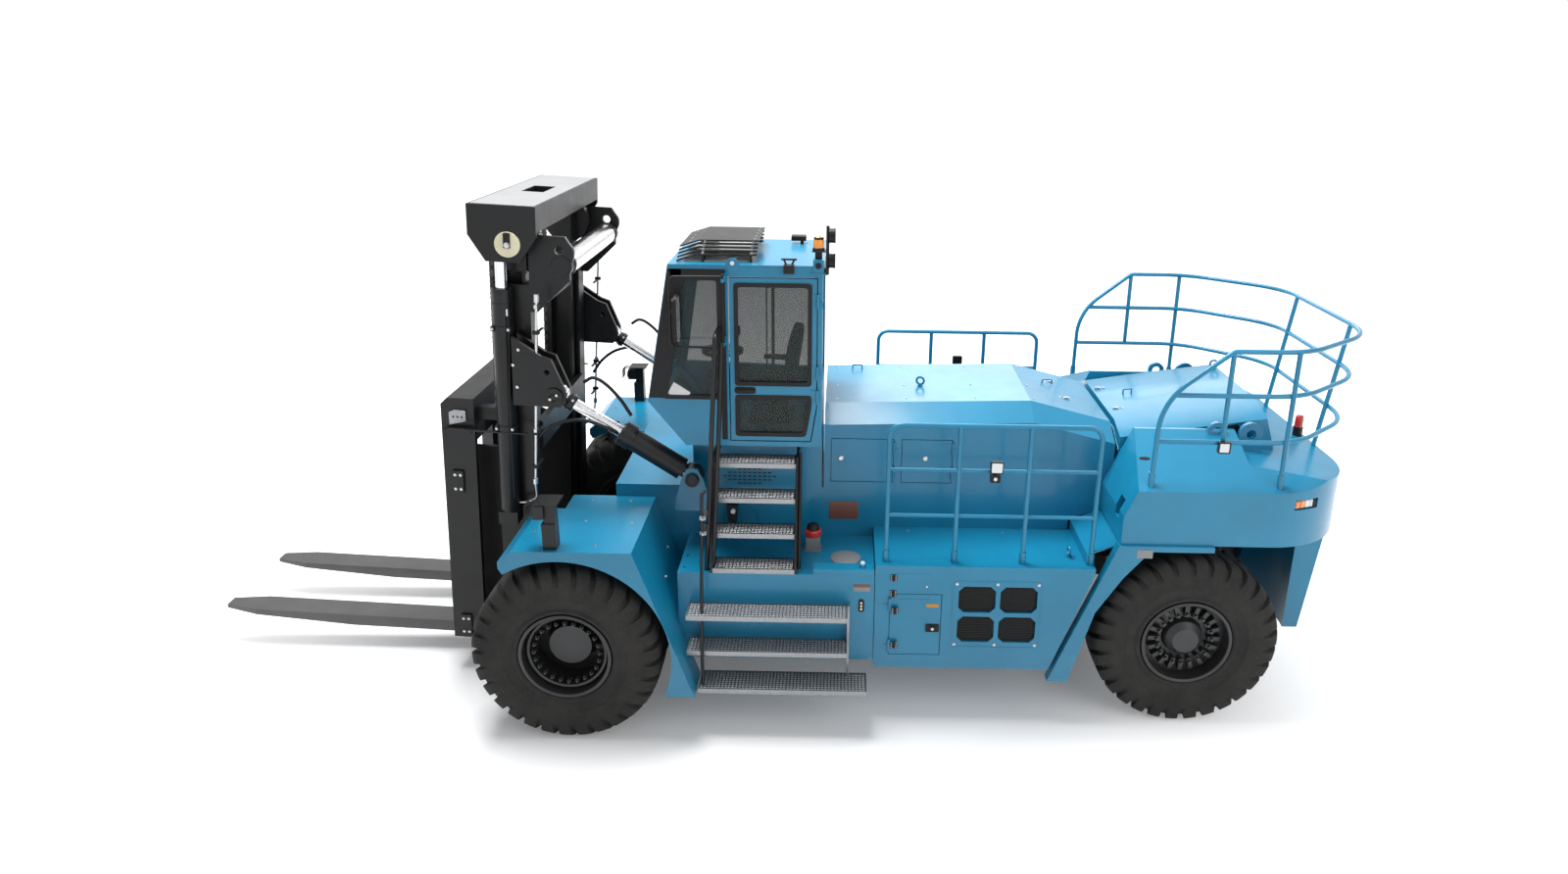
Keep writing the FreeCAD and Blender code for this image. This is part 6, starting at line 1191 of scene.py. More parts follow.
class FORKLIFT_OT_hood_fittings(bpy.types.Operator):
    """Make the raised rear cover, its vents, and the hood's latches, handles, eye bolts and bolts"""

    bl_idname = "forklift.hood_fittings"
    bl_label = "Hood fittings"

    def execute(self, context):
        self.cover()
        self.wall()
        shape = bmesh.new()
        for x, y, turn in ((-4.44, -0.256, 0.3), (-4.505, 0.215, -0.2)):
            add_toggle(shape, (FRONT + x, y, surface("hood", FRONT + x, y) + 0.002), turn)
        piece("hood_latches", shape, "machined", "truck")
        shape = bmesh.new()
        add_eye_bolt(shape, (FRONT - 3.104, 0.138, surface("hood", FRONT - 3.104, 0.138)), 0.036, 0.011,
                     face=(0.3, 1, 0))
        for x, y in ((-4.395, -0.150), (-2.50, -0.45)):
            base = surface("hood", FRONT + x, y)
            curve = (Vector((FRONT + x - 0.05, y, base)), Vector((FRONT + x - 0.045, y, base + 0.045)),
                     Vector((FRONT + x + 0.045, y, base + 0.045)), Vector((FRONT + x + 0.05, y, base)))
            for first, second in zip(curve, curve[1:]):
                add_bar(shape, first, second, 0.007, 12)
        piece("hood_eye_bolt", shape, "blue", "truck")
        shape = bmesh.new()
        for x in (-2.30, -2.95, -3.60, -4.15):
            for y in (0.50, -0.50, 0.10):
                hex_head(shape, (FRONT + x, y, surface("hood", FRONT + x, y)), (0, 0, 1), 0.008, 0.006)
        piece("hood_bolts", shape, "machined", "truck")
        return {"FINISHED"}

    def section(self, top):
        """The cover's walls, shoulders and flat top at one place along it."""
        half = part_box("rear_cover")[1][1] + 0.002
        return ((-half, 2.30), (half, 2.30), (half, top - 0.085), (0.60, top), (-0.60, top), (-half, top - 0.085))

    def wall(self):
        """The hood's lower side wall carried back to the counterweight, clear of the steered tyres."""
        shape = bmesh.new()
        for way in (1, -1):
            plane = side_plane(0.845 * way, way)
            add_plate(shape, ((-4.20, 1.30), (-4.20, 1.955), (-4.90, 1.955), (-4.90, 1.80), (-4.48, 1.68),
                              (-4.48, 1.30)), -0.010, 0.0, plane)
            apron = ((-4.500, 1.555), (-4.500, 1.665), (-4.860, 1.805), (-4.860, 1.795), (-4.512, 1.655),
                     (-4.512, 1.555))
            add_plate(shape, apron, 0.845, 1.545, side_plane(0.0, way))
        piece("hood_rear_wall", shape, "blue", "truck")

    def cover(self):
        """The cover's outer skin: level behind the seam, then rising to a steep rear end."""
        shape = bmesh.new()
        rings = [[shape.verts.new(at(x, y, z)) for y, z in self.section(top)] for x, top in COVER_SECTIONS]
        for first, second in zip(rings, rings[1:]):
            wrap(shape, first, second)
        shape.faces.new(rings[0])
        shape.faces.new(rings[-1])
        edges = [e for e in shape.edges if len(e.link_faces) == 2 and e.calc_face_angle(0) > 0.15
                 and min(v.co.z for v in e.verts) > 2.31]
        bmesh.ops.bevel(shape, geom=edges, offset=0.008, segments=2, affect="EDGES")
        piece("cover_skin", shape, "blue", "truck", 25.0)
        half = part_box("rear_cover")[1][1] + 0.003
        vents = bmesh.new()
        for way in (1, -1):
            plane = side_plane(half * way, way)
            # Under the slats lies a black plate: painted shade for the dark gaps between them.
            outline = ((-5.22, 2.480), (-5.22, 2.532), (-5.94, 2.638), (-6.06, 2.480))
            add_plate(vents, outline, -0.002, 0.003, plane)
            for number in range(22):
                x = -5.28 - number * 0.038
                top = min(2.528 + (-5.22 - x) * 0.147, 2.630 - max(0.0, -5.94 - x))
                add_plate(vents, oblong(x - 0.004, 2.484, x + 0.004, top), 0.002, 0.007, plane)
        piece("cover_vents", vents, "trim", "truck")
        shape = bmesh.new()
        for x, y, turn in ((-4.955, -0.288, math.radians(180)), (-4.985, 0.330, math.radians(180))):
            add_toggle(shape, at(x, y, 2.593), turn)
        piece("cover_latches", shape, "machined", "truck")
        shape = bmesh.new()
        add_eye_bolt(shape, at(-6.15, -0.45, 2.770), 0.036, 0.011, face=(0.3, 1, 0))
        base = 2.618
        for first, second in (((-5.13, base), (-5.13, base + 0.05)), ((-5.13, base + 0.05), (-5.21, base + 0.06)),
                              ((-5.21, base + 0.06), (-5.21, base + 0.012))):
            add_bar(shape, at(first[0], -0.03, first[1]), at(second[0], -0.03, second[1]), 0.007, 12)
        piece("cover_handles", shape, "blue", "truck")


class FORKLIFT_OT_weight_fittings(bpy.types.Operator):
    """Make the tail lamps' lenses, the deck lamp's lens, the tail light and the deck's slot"""

    bl_idname = "forklift.weight_fittings"
    bl_label = "Counterweight fittings"

    def execute(self, context):
        turn = math.radians(20.0)
        round_, half = 0.780, 1.620
        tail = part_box("counterweight")[0][0]
        for way, word in SIDES:
            along = Vector((math.cos(turn), math.sin(turn) * way, 0))
            out = Vector((-math.sin(turn), math.cos(turn) * way, 0))
            centre = Vector((tail + round_, (half - round_) * way, 2.187)) + out * (round_ - 0.030)
            plane = Matrix.Translation(centre) @ Matrix((along, (0, 0, 1), out)).transposed().to_4x4()
            for finish, start, end in (("trim", -0.115, 0.115), ("orange", 0.060, 0.110), ("amber", 0.012, 0.056),
                                       ("lamp", -0.040, 0.008), ("lamp", -0.072, -0.044), ("trim", -0.108, -0.076)):
                shape = bmesh.new()
                if finish == "trim" and end > 0:
                    add_plate(shape, rounded(oblong(start, -0.041, end, 0.041), 0.02), -0.004, 0.004, plane)
                else:
                    add_plate(shape, rounded(oblong(start, -0.032, end, 0.032), 0.008), 0.003, 0.014, plane)
                    add_plate(shape, rounded(oblong(start + 0.006, -0.026, end - 0.006, 0.026), 0.006), 0.013,
                              0.017, plane)
                piece(f"tail_lamp_{word}_{int(1000 * (0.2 + start))}", shape, finish, "truck")
        shape = bmesh.new()
        face = side_plane(1.611)
        add_plate(shape, rounded(oblong(-5.575, 2.663, -5.495, 2.742), 0.010), -0.002, 0.004, face)
        piece("deck_lamp_lens", shape, "lamp", "truck")
        shape = bmesh.new()
        outline = rounded(oblong(-5.585, 2.653, -5.485, 2.752), 0.014)
        add_frame(shape, outline, inset(outline, 0.010), -0.004, 0.007, face)
        piece("deck_lamp_bezel", shape, "trim", "truck")
        single("tail_light_lens", "red", "truck", add_ring, at(-6.75, 0.30, 2.432), (0, 0, 1),
               ((0.0, 0.002), (0.0, 0.040), (0.060, 0.0385), (0.104, 0.036), (0.112, 0.028), (0.113, 0.002)), 32,
               smooth=50.0)
        # The deck's slot is a flat black oval: painted shade for the dark inside the slot.
        shape = bmesh.new()
        height = surface("counterweight", FRONT - 5.0, 1.25)
        lean = Matrix.Translation((FRONT - 5.0, 1.25, height)) @ Matrix.Rotation(-math.atan2(0.30, 0.73), 4, "X")
        oval = [(0.050 * math.cos(step * math.pi / 12), 0.020 * math.sin(step * math.pi / 12))
                for step in range(24)]
        add_plate(shape, oval, -0.002, 0.002, lean)
        piece("deck_slot_painted_shade", shape, "trim", "truck")
        return {"FINISHED"}


# ------------------------------------------------------------------ fenders and lamps
class FORKLIFT_OT_front_fittings(bpy.types.Operator):
    """Make the fenders' bolts, the head lamps' lenses and guards, and the tilt cylinders' rings"""

    bl_idname = "forklift.front_fittings"
    bl_label = "Front fittings"

    def execute(self, context):
        for way, word in SIDES:
            bolts = bmesh.new()
            for x, y in ((-0.05, 0.96), (-0.406, 0.96), (-0.512, 1.431), (-0.098, 1.40), (-0.286, 1.86),
                         (0.30, 1.62)):
                spot = Vector((FRONT + x, y * way, surface("fender_front_" + word, FRONT + x, y * way)))
                hex_head(bolts, spot, (0, 0, 1), 0.011, 0.008)
            for x, y in ((-0.760, 1.10), (-0.800, 1.45)):
                top = surface("fender_front_" + word, FRONT + x, y * way)
                hex_head(bolts, (FRONT + x, y * way, top - 0.002), (-0.9, 0, 0.42), 0.011, 0.010)
            piece("fender_bolts_" + word, bolts, "machined", "truck")
            self.head_lamp(word, way)
            self.barrel_trim(word, way)
        return {"FINISHED"}

    def head_lamp(self, word, way):
        """The head lamp's two round lenses, its bezel and the wire guard in front."""
        shape = bmesh.new()
        lens_shape = bmesh.new()
        for across in (-0.036, 0.036):
            centre = Vector((FRONT + 0.184, 1.90 * way + across, 2.17))
            add_ring(shape, centre, (1, 0, 0),
                     ((-0.004, 0.030), (-0.004, 0.035), (0.010, 0.035), (0.012, 0.032), (0.006, 0.030)), 28)
            add_ring(lens_shape, centre, (1, 0, 0),
                     ((-0.004, 0.002), (-0.004, 0.030), (0.004, 0.030), (0.009, 0.016), (0.010, 0.002)), 28)
        piece("head_lamp_bezel_" + word, shape, "trim", "truck")
        piece("head_lamp_lens_" + word, lens_shape, "lamp", "truck")
        guard = bmesh.new()
        for number in range(5):
            y = 1.90 * way + (number - 2) * 0.034
            for first, second in (((0.18, 2.245), (0.245, 2.235)), ((0.245, 2.235), (0.250, 2.12)),
                                  ((0.250, 2.12), (0.20, 2.105))):
                add_bar(guard, at(first[0], y, first[1]), at(second[0], y, second[1]), 0.0035, 8)
        for height in (2.145, 2.205):
            add_bar(guard, at(0.248, 1.90 * way - 0.072, height), at(0.248, 1.90 * way + 0.072, height), 0.0035, 8)
        piece("head_lamp_guard_" + word, guard, "trim", "truck")

    def barrel_trim(self, word, way):
        """The tilt cylinder's gland ring, weld collar, pin plate and grease fitting."""
        foot = Vector(JOINT["tilt_swing_" + word]["pos_m"])
        heading = Vector(JOINT["tilt_stroke_" + word]["axis"]).normalized()
        shape = bmesh.new()
        add_ring(shape, foot + heading * 0.640, heading,
                 ((0.0, 0.098), (0.0, 0.112), (0.016, 0.116), (0.020, 0.116), (0.020, 0.098)), 48)
        add_ring(shape, foot + heading * 0.752, heading,
                 ((0.0, 0.058), (0.0, 0.100), (0.010, 0.094), (0.012, 0.058)), 48)
        add_ring(shape, foot + heading * 0.128, heading,
                 ((0.0, 0.095), (0.0, 0.103), (0.014, 0.103), (0.014, 0.095)), 48)
        side = Vector((0, way, 0))
        bolts = 8
        for number in range(bolts):
            turn = math.tau * number / bolts
            around = side * math.cos(turn) + heading.cross(side) * math.sin(turn)
            hex_head(shape, foot + heading * 0.762 + around * 0.080, heading, 0.008, 0.008)
        piece("tilt_barrel_rings_" + word, shape, "black", "tilt_barrel_" + word)
        shape = bmesh.new()
        pin = foot + side * 0.114
        add_ring(shape, pin, side,
                 ((-0.004, 0.002), (-0.004, 0.062), (0.006, 0.062), (0.010, 0.056), (0.010, 0.042), (0.006, 0.038),
                  (0.006, 0.002)), 40)
        piece("tilt_pin_cap_" + word, shape, "black", "tilt_barrel_" + word)
        shape = bmesh.new()
        spot = foot + heading * 0.086 + side * 0.050
        add_bar(shape, spot, spot + side * 0.022, 0.012, 12, edge=0.002)
        piece("tilt_grease_" + word, shape, "machined", "tilt_barrel_" + word)


# ------------------------------------------------------------------ mast
TIE_TUBE_XZ = (-0.178, 3.260)
TILT_EYE_XZ = (-0.1564, 2.1489)
# each hose's points along, out and up, from the front axle
TILT_HOSES = (
    ((-0.060, 1.030, 3.000), (-0.150, 1.040, 3.045), (-0.260, 1.045, 2.985), (-0.380, 1.050, 2.850),
     (-0.470, 1.050, 2.700)),
    ((0.395, 1.060, 2.430), (0.300, 1.130, 2.560), (0.150, 1.165, 2.660), (-0.060, 1.170, 2.695),
     (-0.250, 1.150, 2.625), (-0.400, 1.060, 2.510)))


class FORKLIFT_OT_mast_fittings(bpy.types.Operator):
    """Make the mast's pin discs, leaf chains, pipes, clamps, bolts, glands and pads"""

    bl_idname = "forklift.mast_fittings"
    bl_label = "Mast fittings"

    def execute(self, context):
        for way, word in SIDES:
            self.disc(word, way)
            self.chain(word, way)
            self.pipes(word, way)
            self.cylinder(word, way)
            self.pins(word, way)
            self.hoses(word, way)
        self.head()
        self.tie_tube()
        self.carriage()
        return {"FINISHED"}

    def hoses(self, word, way):
        """The tilt cylinder's two hoses, each made as two halves that meet at its middle point; neither half rides on a
        body.
        """
        for number, points in enumerate(TILT_HOSES):
            line = hose_line([at(x, y * way, z) for x, y, z in points])
            half = len(line) // 2
            for part, other, run in (("upper", "outer_mast", line[half::-1]),
                                     ("lower", "tilt_barrel_" + word, line[half:])):
                made = single(f"tilt_hose_{part}_{word}_{number}", "hose", None, add_hose, run, sizes().hose_radius,
                              smooth=60.0)
                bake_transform(made)

    def disc(self, word, way):
        """The pale disc on the head's cheek with its keeper and bolt."""
        centre = on_mast(0.215, 1.100 * way, 3.464)
        side = Vector((0, way, 0))
        single("pin_disc_" + word, "cream", "inner_mast", add_ring, centre, side,
               ((-0.004, 0.002), (-0.004, 0.109), (0.010, 0.109), (0.014, 0.104), (0.014, 0.002)), 56, smooth=35.0)
        shape = bmesh.new()
        plane = mast_plane(0.215, 1.114 * way, 3.464, way)
        add_plate(shape, rounded(oblong(-0.028, -0.030, 0.028, 0.100), 0.010), -0.002, 0.012, plane)
        piece("pin_keeper_" + word, shape, "trim", "inner_mast")
        shape = bmesh.new()
        hex_head(shape, centre + side * 0.024 + UP * -0.004, side, 0.018, 0.014)
        piece("pin_bolt_" + word, shape, "machined", "inner_mast")

    def chain(self, word, way):
        """The leaf chain's plates and pins, over the plain bar that stands for its run."""
        middle_y, x = 0.790 * way, 0.457
        pitch, plates, plate_pitch = 0.0508, 7, 0.0105
        foot, run = 1.905, 1.490
        shape = bmesh.new()
        for number in range(int(run / pitch)):
            base = foot + number * pitch
            for plate in range(number % 2, plates, 2):
                y = middle_y + (plate - plates // 2) * plate_pitch
                place = mast_plane(x, y, base)
                add_plate(shape,
                          ((-0.0195, -0.004), (0.0195, -0.004), (0.0195, 0.016), (0.0150, 0.027), (0.0195, 0.038),
                           (0.0195, 0.0568), (-0.0195, 0.0568), (-0.0195, 0.038), (-0.0150, 0.027),
                           (-0.0195, 0.016)), -0.0042, 0.0042, place)
            add_bar(shape, on_mast(x, middle_y - 0.040, base), on_mast(x, middle_y + 0.040, base), 0.008, 8)
        piece("chain_links_" + word, shape, "chain", "inner_mast", 0)

    def pipes(self, word, way):
        """The bright pipe down the outer rail, its fittings, its elbow and its clamps."""
        y = 1.125 * way
        top, foot = on_mast(-0.02, y, 2.985), on_mast(0.035, y, 1.300)
        curve_tube("lift_pipe_" + word,
                   rounded_path((top, foot, on_mast(0.045, 1.06 * way, 1.13), on_mast(0.16, 1.02 * way, 1.06),
                                 on_mast(0.24, 1.01 * way, 1.05)), 0.05), 0.012, "machined", "outer_mast", 2)
        shape = bmesh.new()
        along = (top - foot).normalized()
        for spot, long_, radius in ((top, 0.07, 0.022), (top - along * 0.055, 0.035, 0.027), (foot, 0.05, 0.022),
                                    (foot + along * 0.50, 0.03, 0.024)):
            add_bar(shape, spot, spot + along * long_, radius, 6 if radius > 0.023 else 20)
        piece("pipe_fittings_" + word, shape, "machined", "outer_mast")
        shape = bmesh.new()
        for share in (0.84, 0.29, 0.10):
            spot = foot + (top - foot) * share
            add_block(shape, spot - Vector((0.030, 0.020, 0.016)), spot + Vector((0.030, 0.020, 0.016)), 0.004)
            inner = Vector((spot.x, 0.935 * way, spot.z))
            low = Vector((min(spot.x, inner.x) - 0.014, min(spot.y, inner.y), spot.z - 0.012))
            high = Vector((max(spot.x, inner.x) + 0.014, max(spot.y, inner.y), spot.z - 0.002))
            add_block(shape, low, high, 0.002)
        piece("pipe_clamps_" + word, shape, "trim", "outer_mast")

    def cylinder(self, word, way):
        """The lift cylinder's gland, its clamp bands with their bolts, and the thin line beside it."""
        shape, bolts = bmesh.new(), bmesh.new()
        axis_x, axis_y = 0.310, 1.008 * way
        add_ring(shape, on_mast(axis_x, axis_y, 3.030), UP,
                 ((0.0, 0.056), (0.0, 0.089), (0.030, 0.086), (0.036, 0.078), (0.036, 0.056)), 40)
        add_ring(shape, on_mast(axis_x, axis_y, 2.930), UP,
                 ((0.0, 0.084), (0.0, 0.091), (0.012, 0.091), (0.012, 0.084)), 40)
        for height in (2.690, 1.770):
            add_ring(shape, on_mast(axis_x, axis_y, height), UP,
                     ((0.0, 0.0865), (0.0, 0.094), (0.050, 0.094), (0.050, 0.0865)), 40)
            for ahead in (-1, 1):
                spot = on_mast(axis_x + ahead * 0.070, axis_y + 0.062 * way, height + 0.025)
                low = spot - Vector((0.016, 0.024, 0.022))
                add_block(shape, low, low + Vector((0.032, 0.048, 0.044)), 0.003)
                hex_head(bolts, spot + Vector((0, 0.024 * way, 0)), (0, way, 0), 0.009, 0.010)
        add_block(shape, (-0.34, -0.014, -0.006), (0.36, 0.014, 0.006), 0.002,
                  MAST @ Matrix.Translation((0.44, 1.085 * way, 1.760)))
        piece("barrel_bands_" + word, shape, "black", "outer_mast")
        piece("barrel_band_bolts_" + word, bolts, "machined", "outer_mast")
        curve_tube("barrel_line_" + word,
                   rounded_path((on_mast(0.245, 1.085 * way, 2.86), on_mast(0.235, 1.09 * way, 2.60),
                                 on_mast(0.255, 1.09 * way, 1.90), on_mast(0.250, 1.07 * way, 1.12)), 0.2), 0.009,
                   "hose", "outer_mast", 2)
        single("barrel_line_fitting_" + word, "machined", "outer_mast", add_bar, on_mast(0.245, 1.085 * way, 2.84),
               on_mast(0.245, 1.085 * way, 2.90), 0.014, 6)

    def pins(self, word, way):
        """Round bosses, keeper plates and bolts on the tie tube's and the tilt eye's pins."""
        side = Vector((0, way, 0))
        shape = bmesh.new()
        outer = 0.920 * way
        add_ring(shape, on_mast(TIE_TUBE_XZ[0], outer, TIE_TUBE_XZ[1]), side,
                 ((-0.002, 0.002), (-0.002, 0.098), (0.008, 0.098), (0.008, 0.086), (0.004, 0.082), (0.004, 0.002)), 48)
        eye_at = (TILT_EYE_XZ[0], 1.166 * way, TILT_EYE_XZ[1])
        eye = on_mast(*eye_at)
        add_ring(shape, eye, side, ((-0.014, 0.042), (-0.014, 0.078), (-0.002, 0.078), (-0.002, 0.042)), 40)
        add_block(shape, (-0.050, -0.010, -0.016), (0.050, 0.010, 0.016), 0.003,
                  MAST @ Matrix.Translation(eye_at) @ Matrix.Rotation(0.6, 4, "Y"))
        piece("mast_pin_bosses_" + word, shape, "black", "outer_mast")
        shape = bmesh.new()
        for across in (-0.036, 0.036):
            hex_head(shape, eye + AHEAD * across * 0.82 - UP * across * 0.56 + side * 0.009, side, 0.009, 0.008)
        for x, z in ((0.19, 2.42), (0.14, 2.56), (0.16, 2.22)):
            hex_head(shape, on_mast(x, 1.156 * way, z), side, 0.010, 0.008)
        piece("mast_pin_bolts_" + word, shape, "machined", "outer_mast")
        foot = Vector(JOINT["tilt_swing_" + word]["pos_m"])
        heading = Vector(JOINT["tilt_stroke_" + word]["axis"]).normalized()
        span = (on_mast(TILT_EYE_XZ[0], 1.05 * way, TILT_EYE_XZ[1]) - foot).length
        single("rod_clevis_" + word, "black", "tilt_rod_" + word, add_ring, foot + heading * (span - 0.185),
               heading, ((0.0, 0.050), (0.0, 0.072), (0.014, 0.076), (0.055, 0.076), (0.070, 0.066), (0.085, 0.066),
                         (0.085, 0.050)), 40)
        shape = bmesh.new()
        for turn in (0.6, 2.2, 3.8, 5.3):
            around = side * math.cos(turn) + heading.cross(side) * math.sin(turn)
            hex_head(shape, foot + heading * (span - 0.155) + around * 0.074, around, 0.009, 0.008)
        piece("rod_clevis_bolts_" + word, shape, "machined", "tilt_rod_" + word)

    def tie_tube(self):
        """The bright sleeve of the tube between the crest plates, and the collars at its ends."""
        shape, collars = bmesh.new(), bmesh.new()
        reach = 0.845
        base = on_mast(TIE_TUBE_XZ[0], -reach, TIE_TUBE_XZ[1])
        across = Vector((0, 1, 0))
        add_ring(shape, base, across, ((0.0, 0.099), (0.0, 0.1025), (2 * reach, 0.1025), (2 * reach, 0.099)), 64)
        for start in (0.02, 2 * reach - 0.05):
            add_ring(collars, base, across,
                     ((start, 0.102), (start, 0.112), (start + 0.03, 0.112), (start + 0.03, 0.102)), 64)
        piece("tie_tube_sleeve", shape, "chrome", "outer_mast", 40.0)
        piece("tie_tube_collars", collars, "black", "outer_mast")

    def head(self):
        """The pale plate on the mast's head, round its window."""
        shape = bmesh.new()
        plane = MAST @ Matrix.Translation((0.262, 0, 3.790))
        outer = oblong(-0.270, -1.075, 0.270, 1.075)
        inner = oblong(-0.102, -0.212, 0.102, 0.212)
        add_frame(shape, outer, inner, -0.001, 0.003, plane)
        piece("head_top_skin", shape, "pale", "inner_mast")

    def carriage(self):
        """The fork stops on the carriage's bars, the pads on its sides and their bolts."""
        for way, word in SIDES:
            shape, bolts = bmesh.new(), bmesh.new()
            for height in (-0.30, 1.20):
                add_block(shape, (-0.05, -0.012, -0.11), (0.05, 0.012, 0.11), 0.004,
                          MAST @ Matrix.Translation((0.800, 0.962 * way, height)))
                for up in (-0.07, 0.07):
                    for ahead in (-0.025, 0.025):
                        hex_head(bolts, on_mast(0.800 + ahead, 0.974 * way, height + up), (0, way, 0), 0.010, 0.008)
            plane = mast_plane(0, 0.95 * way, 0, way)
            add_plate(shape, ((0.645, 1.700), (0.915, 1.700), (0.860, 1.740), (0.645, 1.740)), -0.004, 0.060, plane)
            piece("carriage_pads_" + word, shape, "black", "carriage")
            piece("carriage_pad_bolts_" + word, bolts, "machined", "carriage")
            rack, holes = bmesh.new(), bmesh.new()
            add_plate(rack, ((0.700, 1.800), (0.850, 1.760), (0.850, 1.880), (0.800, 1.905), (0.700, 1.900)), 0.0,
                      0.020, plane)
            # The positioner's holes are flat black discs: painted shade for the dark inside them.
            for number in range(3):
                spot = on_mast(0.735 + number * 0.038, 0.970 * way, 1.838)
                add_bar(holes, spot, spot + Vector((0, 0.004 * way, 0)), 0.009, 12)
            piece("positioner_plate_" + word, rack, "zinc", "carriage")
            piece("positioner_hole_shade_" + word, holes, "trim", "carriage")


# ------------------------------------------------------------------ the stage
def seen_directly(tree):
    """One for a ray from the camera, a mirror or a pane of glass, and zero for light on the object."""
    path = add_node(tree, "LightPath")
    total = path.outputs["Is Camera Ray"]
    for word in ("Is Glossy Ray", "Is Transmission Ray"):
        total = add_node(tree, "Math", {0: total, 1: path.outputs[word]}, operation="MAXIMUM").outputs["Value"]
    return total


class FORKLIFT_OT_stage(bpy.types.Operator):
    """Make the camera, the lights, the pale floor and the world"""

    bl_idname = "forklift.stage"
    bl_label = "Stage"

    def execute(self, context):
        scene = context.scene
        scene.view_settings.view_transform = "Standard"
        camera = bpy.data.cameras.new("camera")
        camera.sensor_width = 36.0
        camera.lens = 23.005
        camera.shift_x = -0.0302
        camera.shift_y = -0.0404
        holder = bpy.data.objects.new("camera", camera)
        scene.collection.objects.link(holder)
        right = Vector((-0.99982, -0.01387, 0.01266))
        up = Vector((0.01622, -0.29826, 0.95435))
        behind = right.cross(up)
        turn = Matrix((right, up, behind)).transposed().to_4x4()
        holder.matrix_world = Matrix.Translation((-0.7597, 9.434, 5.743)) @ turn
        camera.clip_end = 200.0
        scene.camera = holder

        self.floor(scene)
        self.lamps(scene)
        return {"FINISHED"}

    def floor(self, scene):
        """The pale floor, which glows more the farther it is from the truck."""
        shape = bmesh.new()
        bmesh.ops.create_grid(shape, x_segments=1, y_segments=1, size=60.0)
        mesh = bpy.data.meshes.new("floor")
        shape.to_mesh(mesh)
        shape.free()
        floor = bpy.data.objects.new("floor", mesh)
        scene.collection.objects.link(floor)
        material, tree, shader = new_material("pale_floor")
        place = add_node(tree, "TexCoord").outputs["Object"]
        reach = add_node(tree, "VectorMath", {0: place}, operation="LENGTH")
        share = add_node(tree, "MapRange", {"From Min": 3.0, "From Max": 9.0, "To Min": 0.10, "To Max": 0.95,
                                            "Value": reach.outputs["Value"]})
        feed(tree, shader, {
            "Base Color": (0.90, 0.90, 0.90, 1), "Roughness": 0.9, "Emission Color": (1, 1, 1, 1),
            "Emission Strength": multiply(tree, seen_directly(tree), share.outputs["Result"])})
        mesh.materials.append(material)

    def lamps(self, scene):
        """The white surroundings, dimmer as light than they look, and the three soft lamps."""
        world = bpy.data.worlds.new("studio")
        scene.world = world
        world.use_nodes = True
        tree = world.node_tree
        tree.nodes.clear()
        back = add_node(tree, "Background", {"Color": (1.0, 1.0, 1.0, 1), "Strength": 1.0})
        light = add_node(tree, "Background", {"Color": (0.93, 0.96, 1.0, 1), "Strength": 0.45})
        choice = add_node(tree, "MixShader", {"Fac": seen_directly(tree), 1: light.outputs["Background"],
                                              2: back.outputs["Background"]})
        add_node(tree, "OutputWorld", {"Surface": choice.outputs["Shader"]})
        for name, place, aim, power, wide in (
                ("key", (2.0, -0.5, 13.0), (0.0, 0.3, 1.5), 2300.0, 6.0),
                ("fill", (-9.0, 8.0, 7.0), (-1.0, 0.0, 1.5), 420.0, 8.0),
                ("rim", (-4.0, -9.0, 9.0), (0.0, 0.0, 2.0), 600.0, 8.0)):
            lamp = bpy.data.lights.new(name, "AREA")
            lamp.energy = power
            lamp.size = wide
            holder = bpy.data.objects.new(name, lamp)
            scene.collection.objects.link(holder)
            heading = (Vector(aim) - Vector(place)).to_track_quat("-Z", "Y").to_matrix().to_4x4()
            holder.matrix_world = Matrix.Translation(place) @ heading


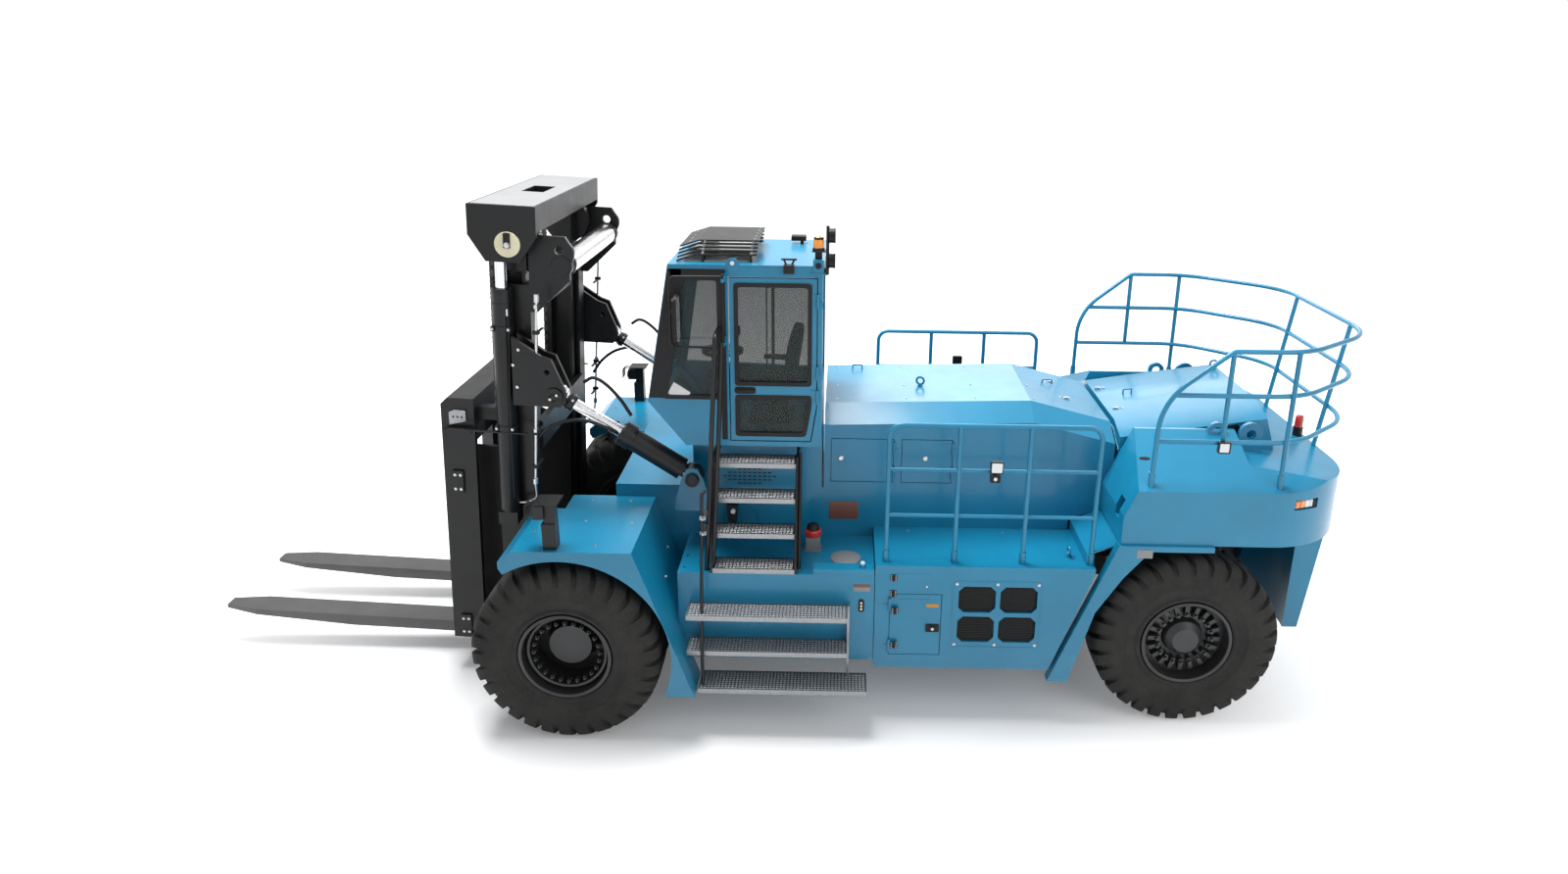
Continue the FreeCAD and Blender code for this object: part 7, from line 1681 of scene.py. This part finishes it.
# ------------------------------------------------------------------ the frame's own pieces
NODE_FINISH = {
    "black": ("chassis", "lamps", "tilt_brackets", "outer_mast", "inner_mast", "carriage", "ladder", "roof_guard",
              "drive_axle", "steer_axle", "knuckle_left", "knuckle_right", "battery",
              "tilt_barrel_left", "tilt_barrel_right", "lift_chain_left", "lift_chain_right",
              "lift_barrel_left", "lift_barrel_right"),
    "steel": ("fork_left", "fork_right"),
    "rim": ("rim_front_left", "rim_front_right", "rim_rear_left", "rim_rear_right"),
    "zinc": ("lower_steps",),
    "chrome": ("lift_rod_left", "lift_rod_right", "tilt_rod_left", "tilt_rod_right"),
    "glass": ("cab_glass", "door_glass"),
    "seat": ("seat",),
    "trim": ("console",),
}


class FORKLIFT_OT_finishes(bpy.types.Operator):
    """Give every piece of the frame its finish"""

    bl_idname = "forklift.finishes"
    bl_label = "Finishes"

    def execute(self, context):
        make_finishes()
        finish_of = {node: finish for finish, nodes in NODE_FINISH.items() for node in nodes}
        for name, node in frame["nodes"].items():
            finish = "rubber" if name.startswith("tyre") else finish_of.get(name, "blue")
            node.data.materials.clear()
            node.data.materials.append(FINISH[finish])
        return {"FINISHED"}


# ------------------------------------------------------------------ panel and registration
class FORKLIFT_PT_looks(bpy.types.Panel):
    """The steps that dress the forklift"""

    bl_idname = "FORKLIFT_PT_looks"
    bl_label = "Forklift looks"
    bl_space_type = "VIEW_3D"
    bl_region_type = "UI"
    bl_category = "Forklift"

    def draw(self, context):
        for step in STEPS:
            self.layout.operator(step.bl_idname)


STEPS = (FORKLIFT_OT_finishes, FORKLIFT_OT_tyres, FORKLIFT_OT_rims, FORKLIFT_OT_treads, FORKLIFT_OT_ladder_rails,
         FORKLIFT_OT_cab_trim, FORKLIFT_OT_roof_fittings, FORKLIFT_OT_seat, FORKLIFT_OT_step_fittings,
         FORKLIFT_OT_side_fittings, FORKLIFT_OT_hood_fittings, FORKLIFT_OT_weight_fittings,
         FORKLIFT_OT_front_fittings, FORKLIFT_OT_mast_fittings, FORKLIFT_OT_stage)
CLASSES = (ForkliftColours, ForkliftSizes, *STEPS, FORKLIFT_PT_looks)


def register():
    for entry in CLASSES:
        bpy.utils.register_class(entry)
    bpy.types.Scene.forklift_colours = bpy.props.PointerProperty(type=ForkliftColours)
    bpy.types.Scene.forklift_sizes = bpy.props.PointerProperty(type=ForkliftSizes)


def unregister():
    del bpy.types.Scene.forklift_sizes
    del bpy.types.Scene.forklift_colours
    for entry in reversed(CLASSES):
        bpy.utils.unregister_class(entry)


def main():
    register()
    for step in STEPS:
        group, action = step.bl_idname.split(".")
        getattr(getattr(bpy.ops, group), action)()


if __name__ == "__main__":
    main()
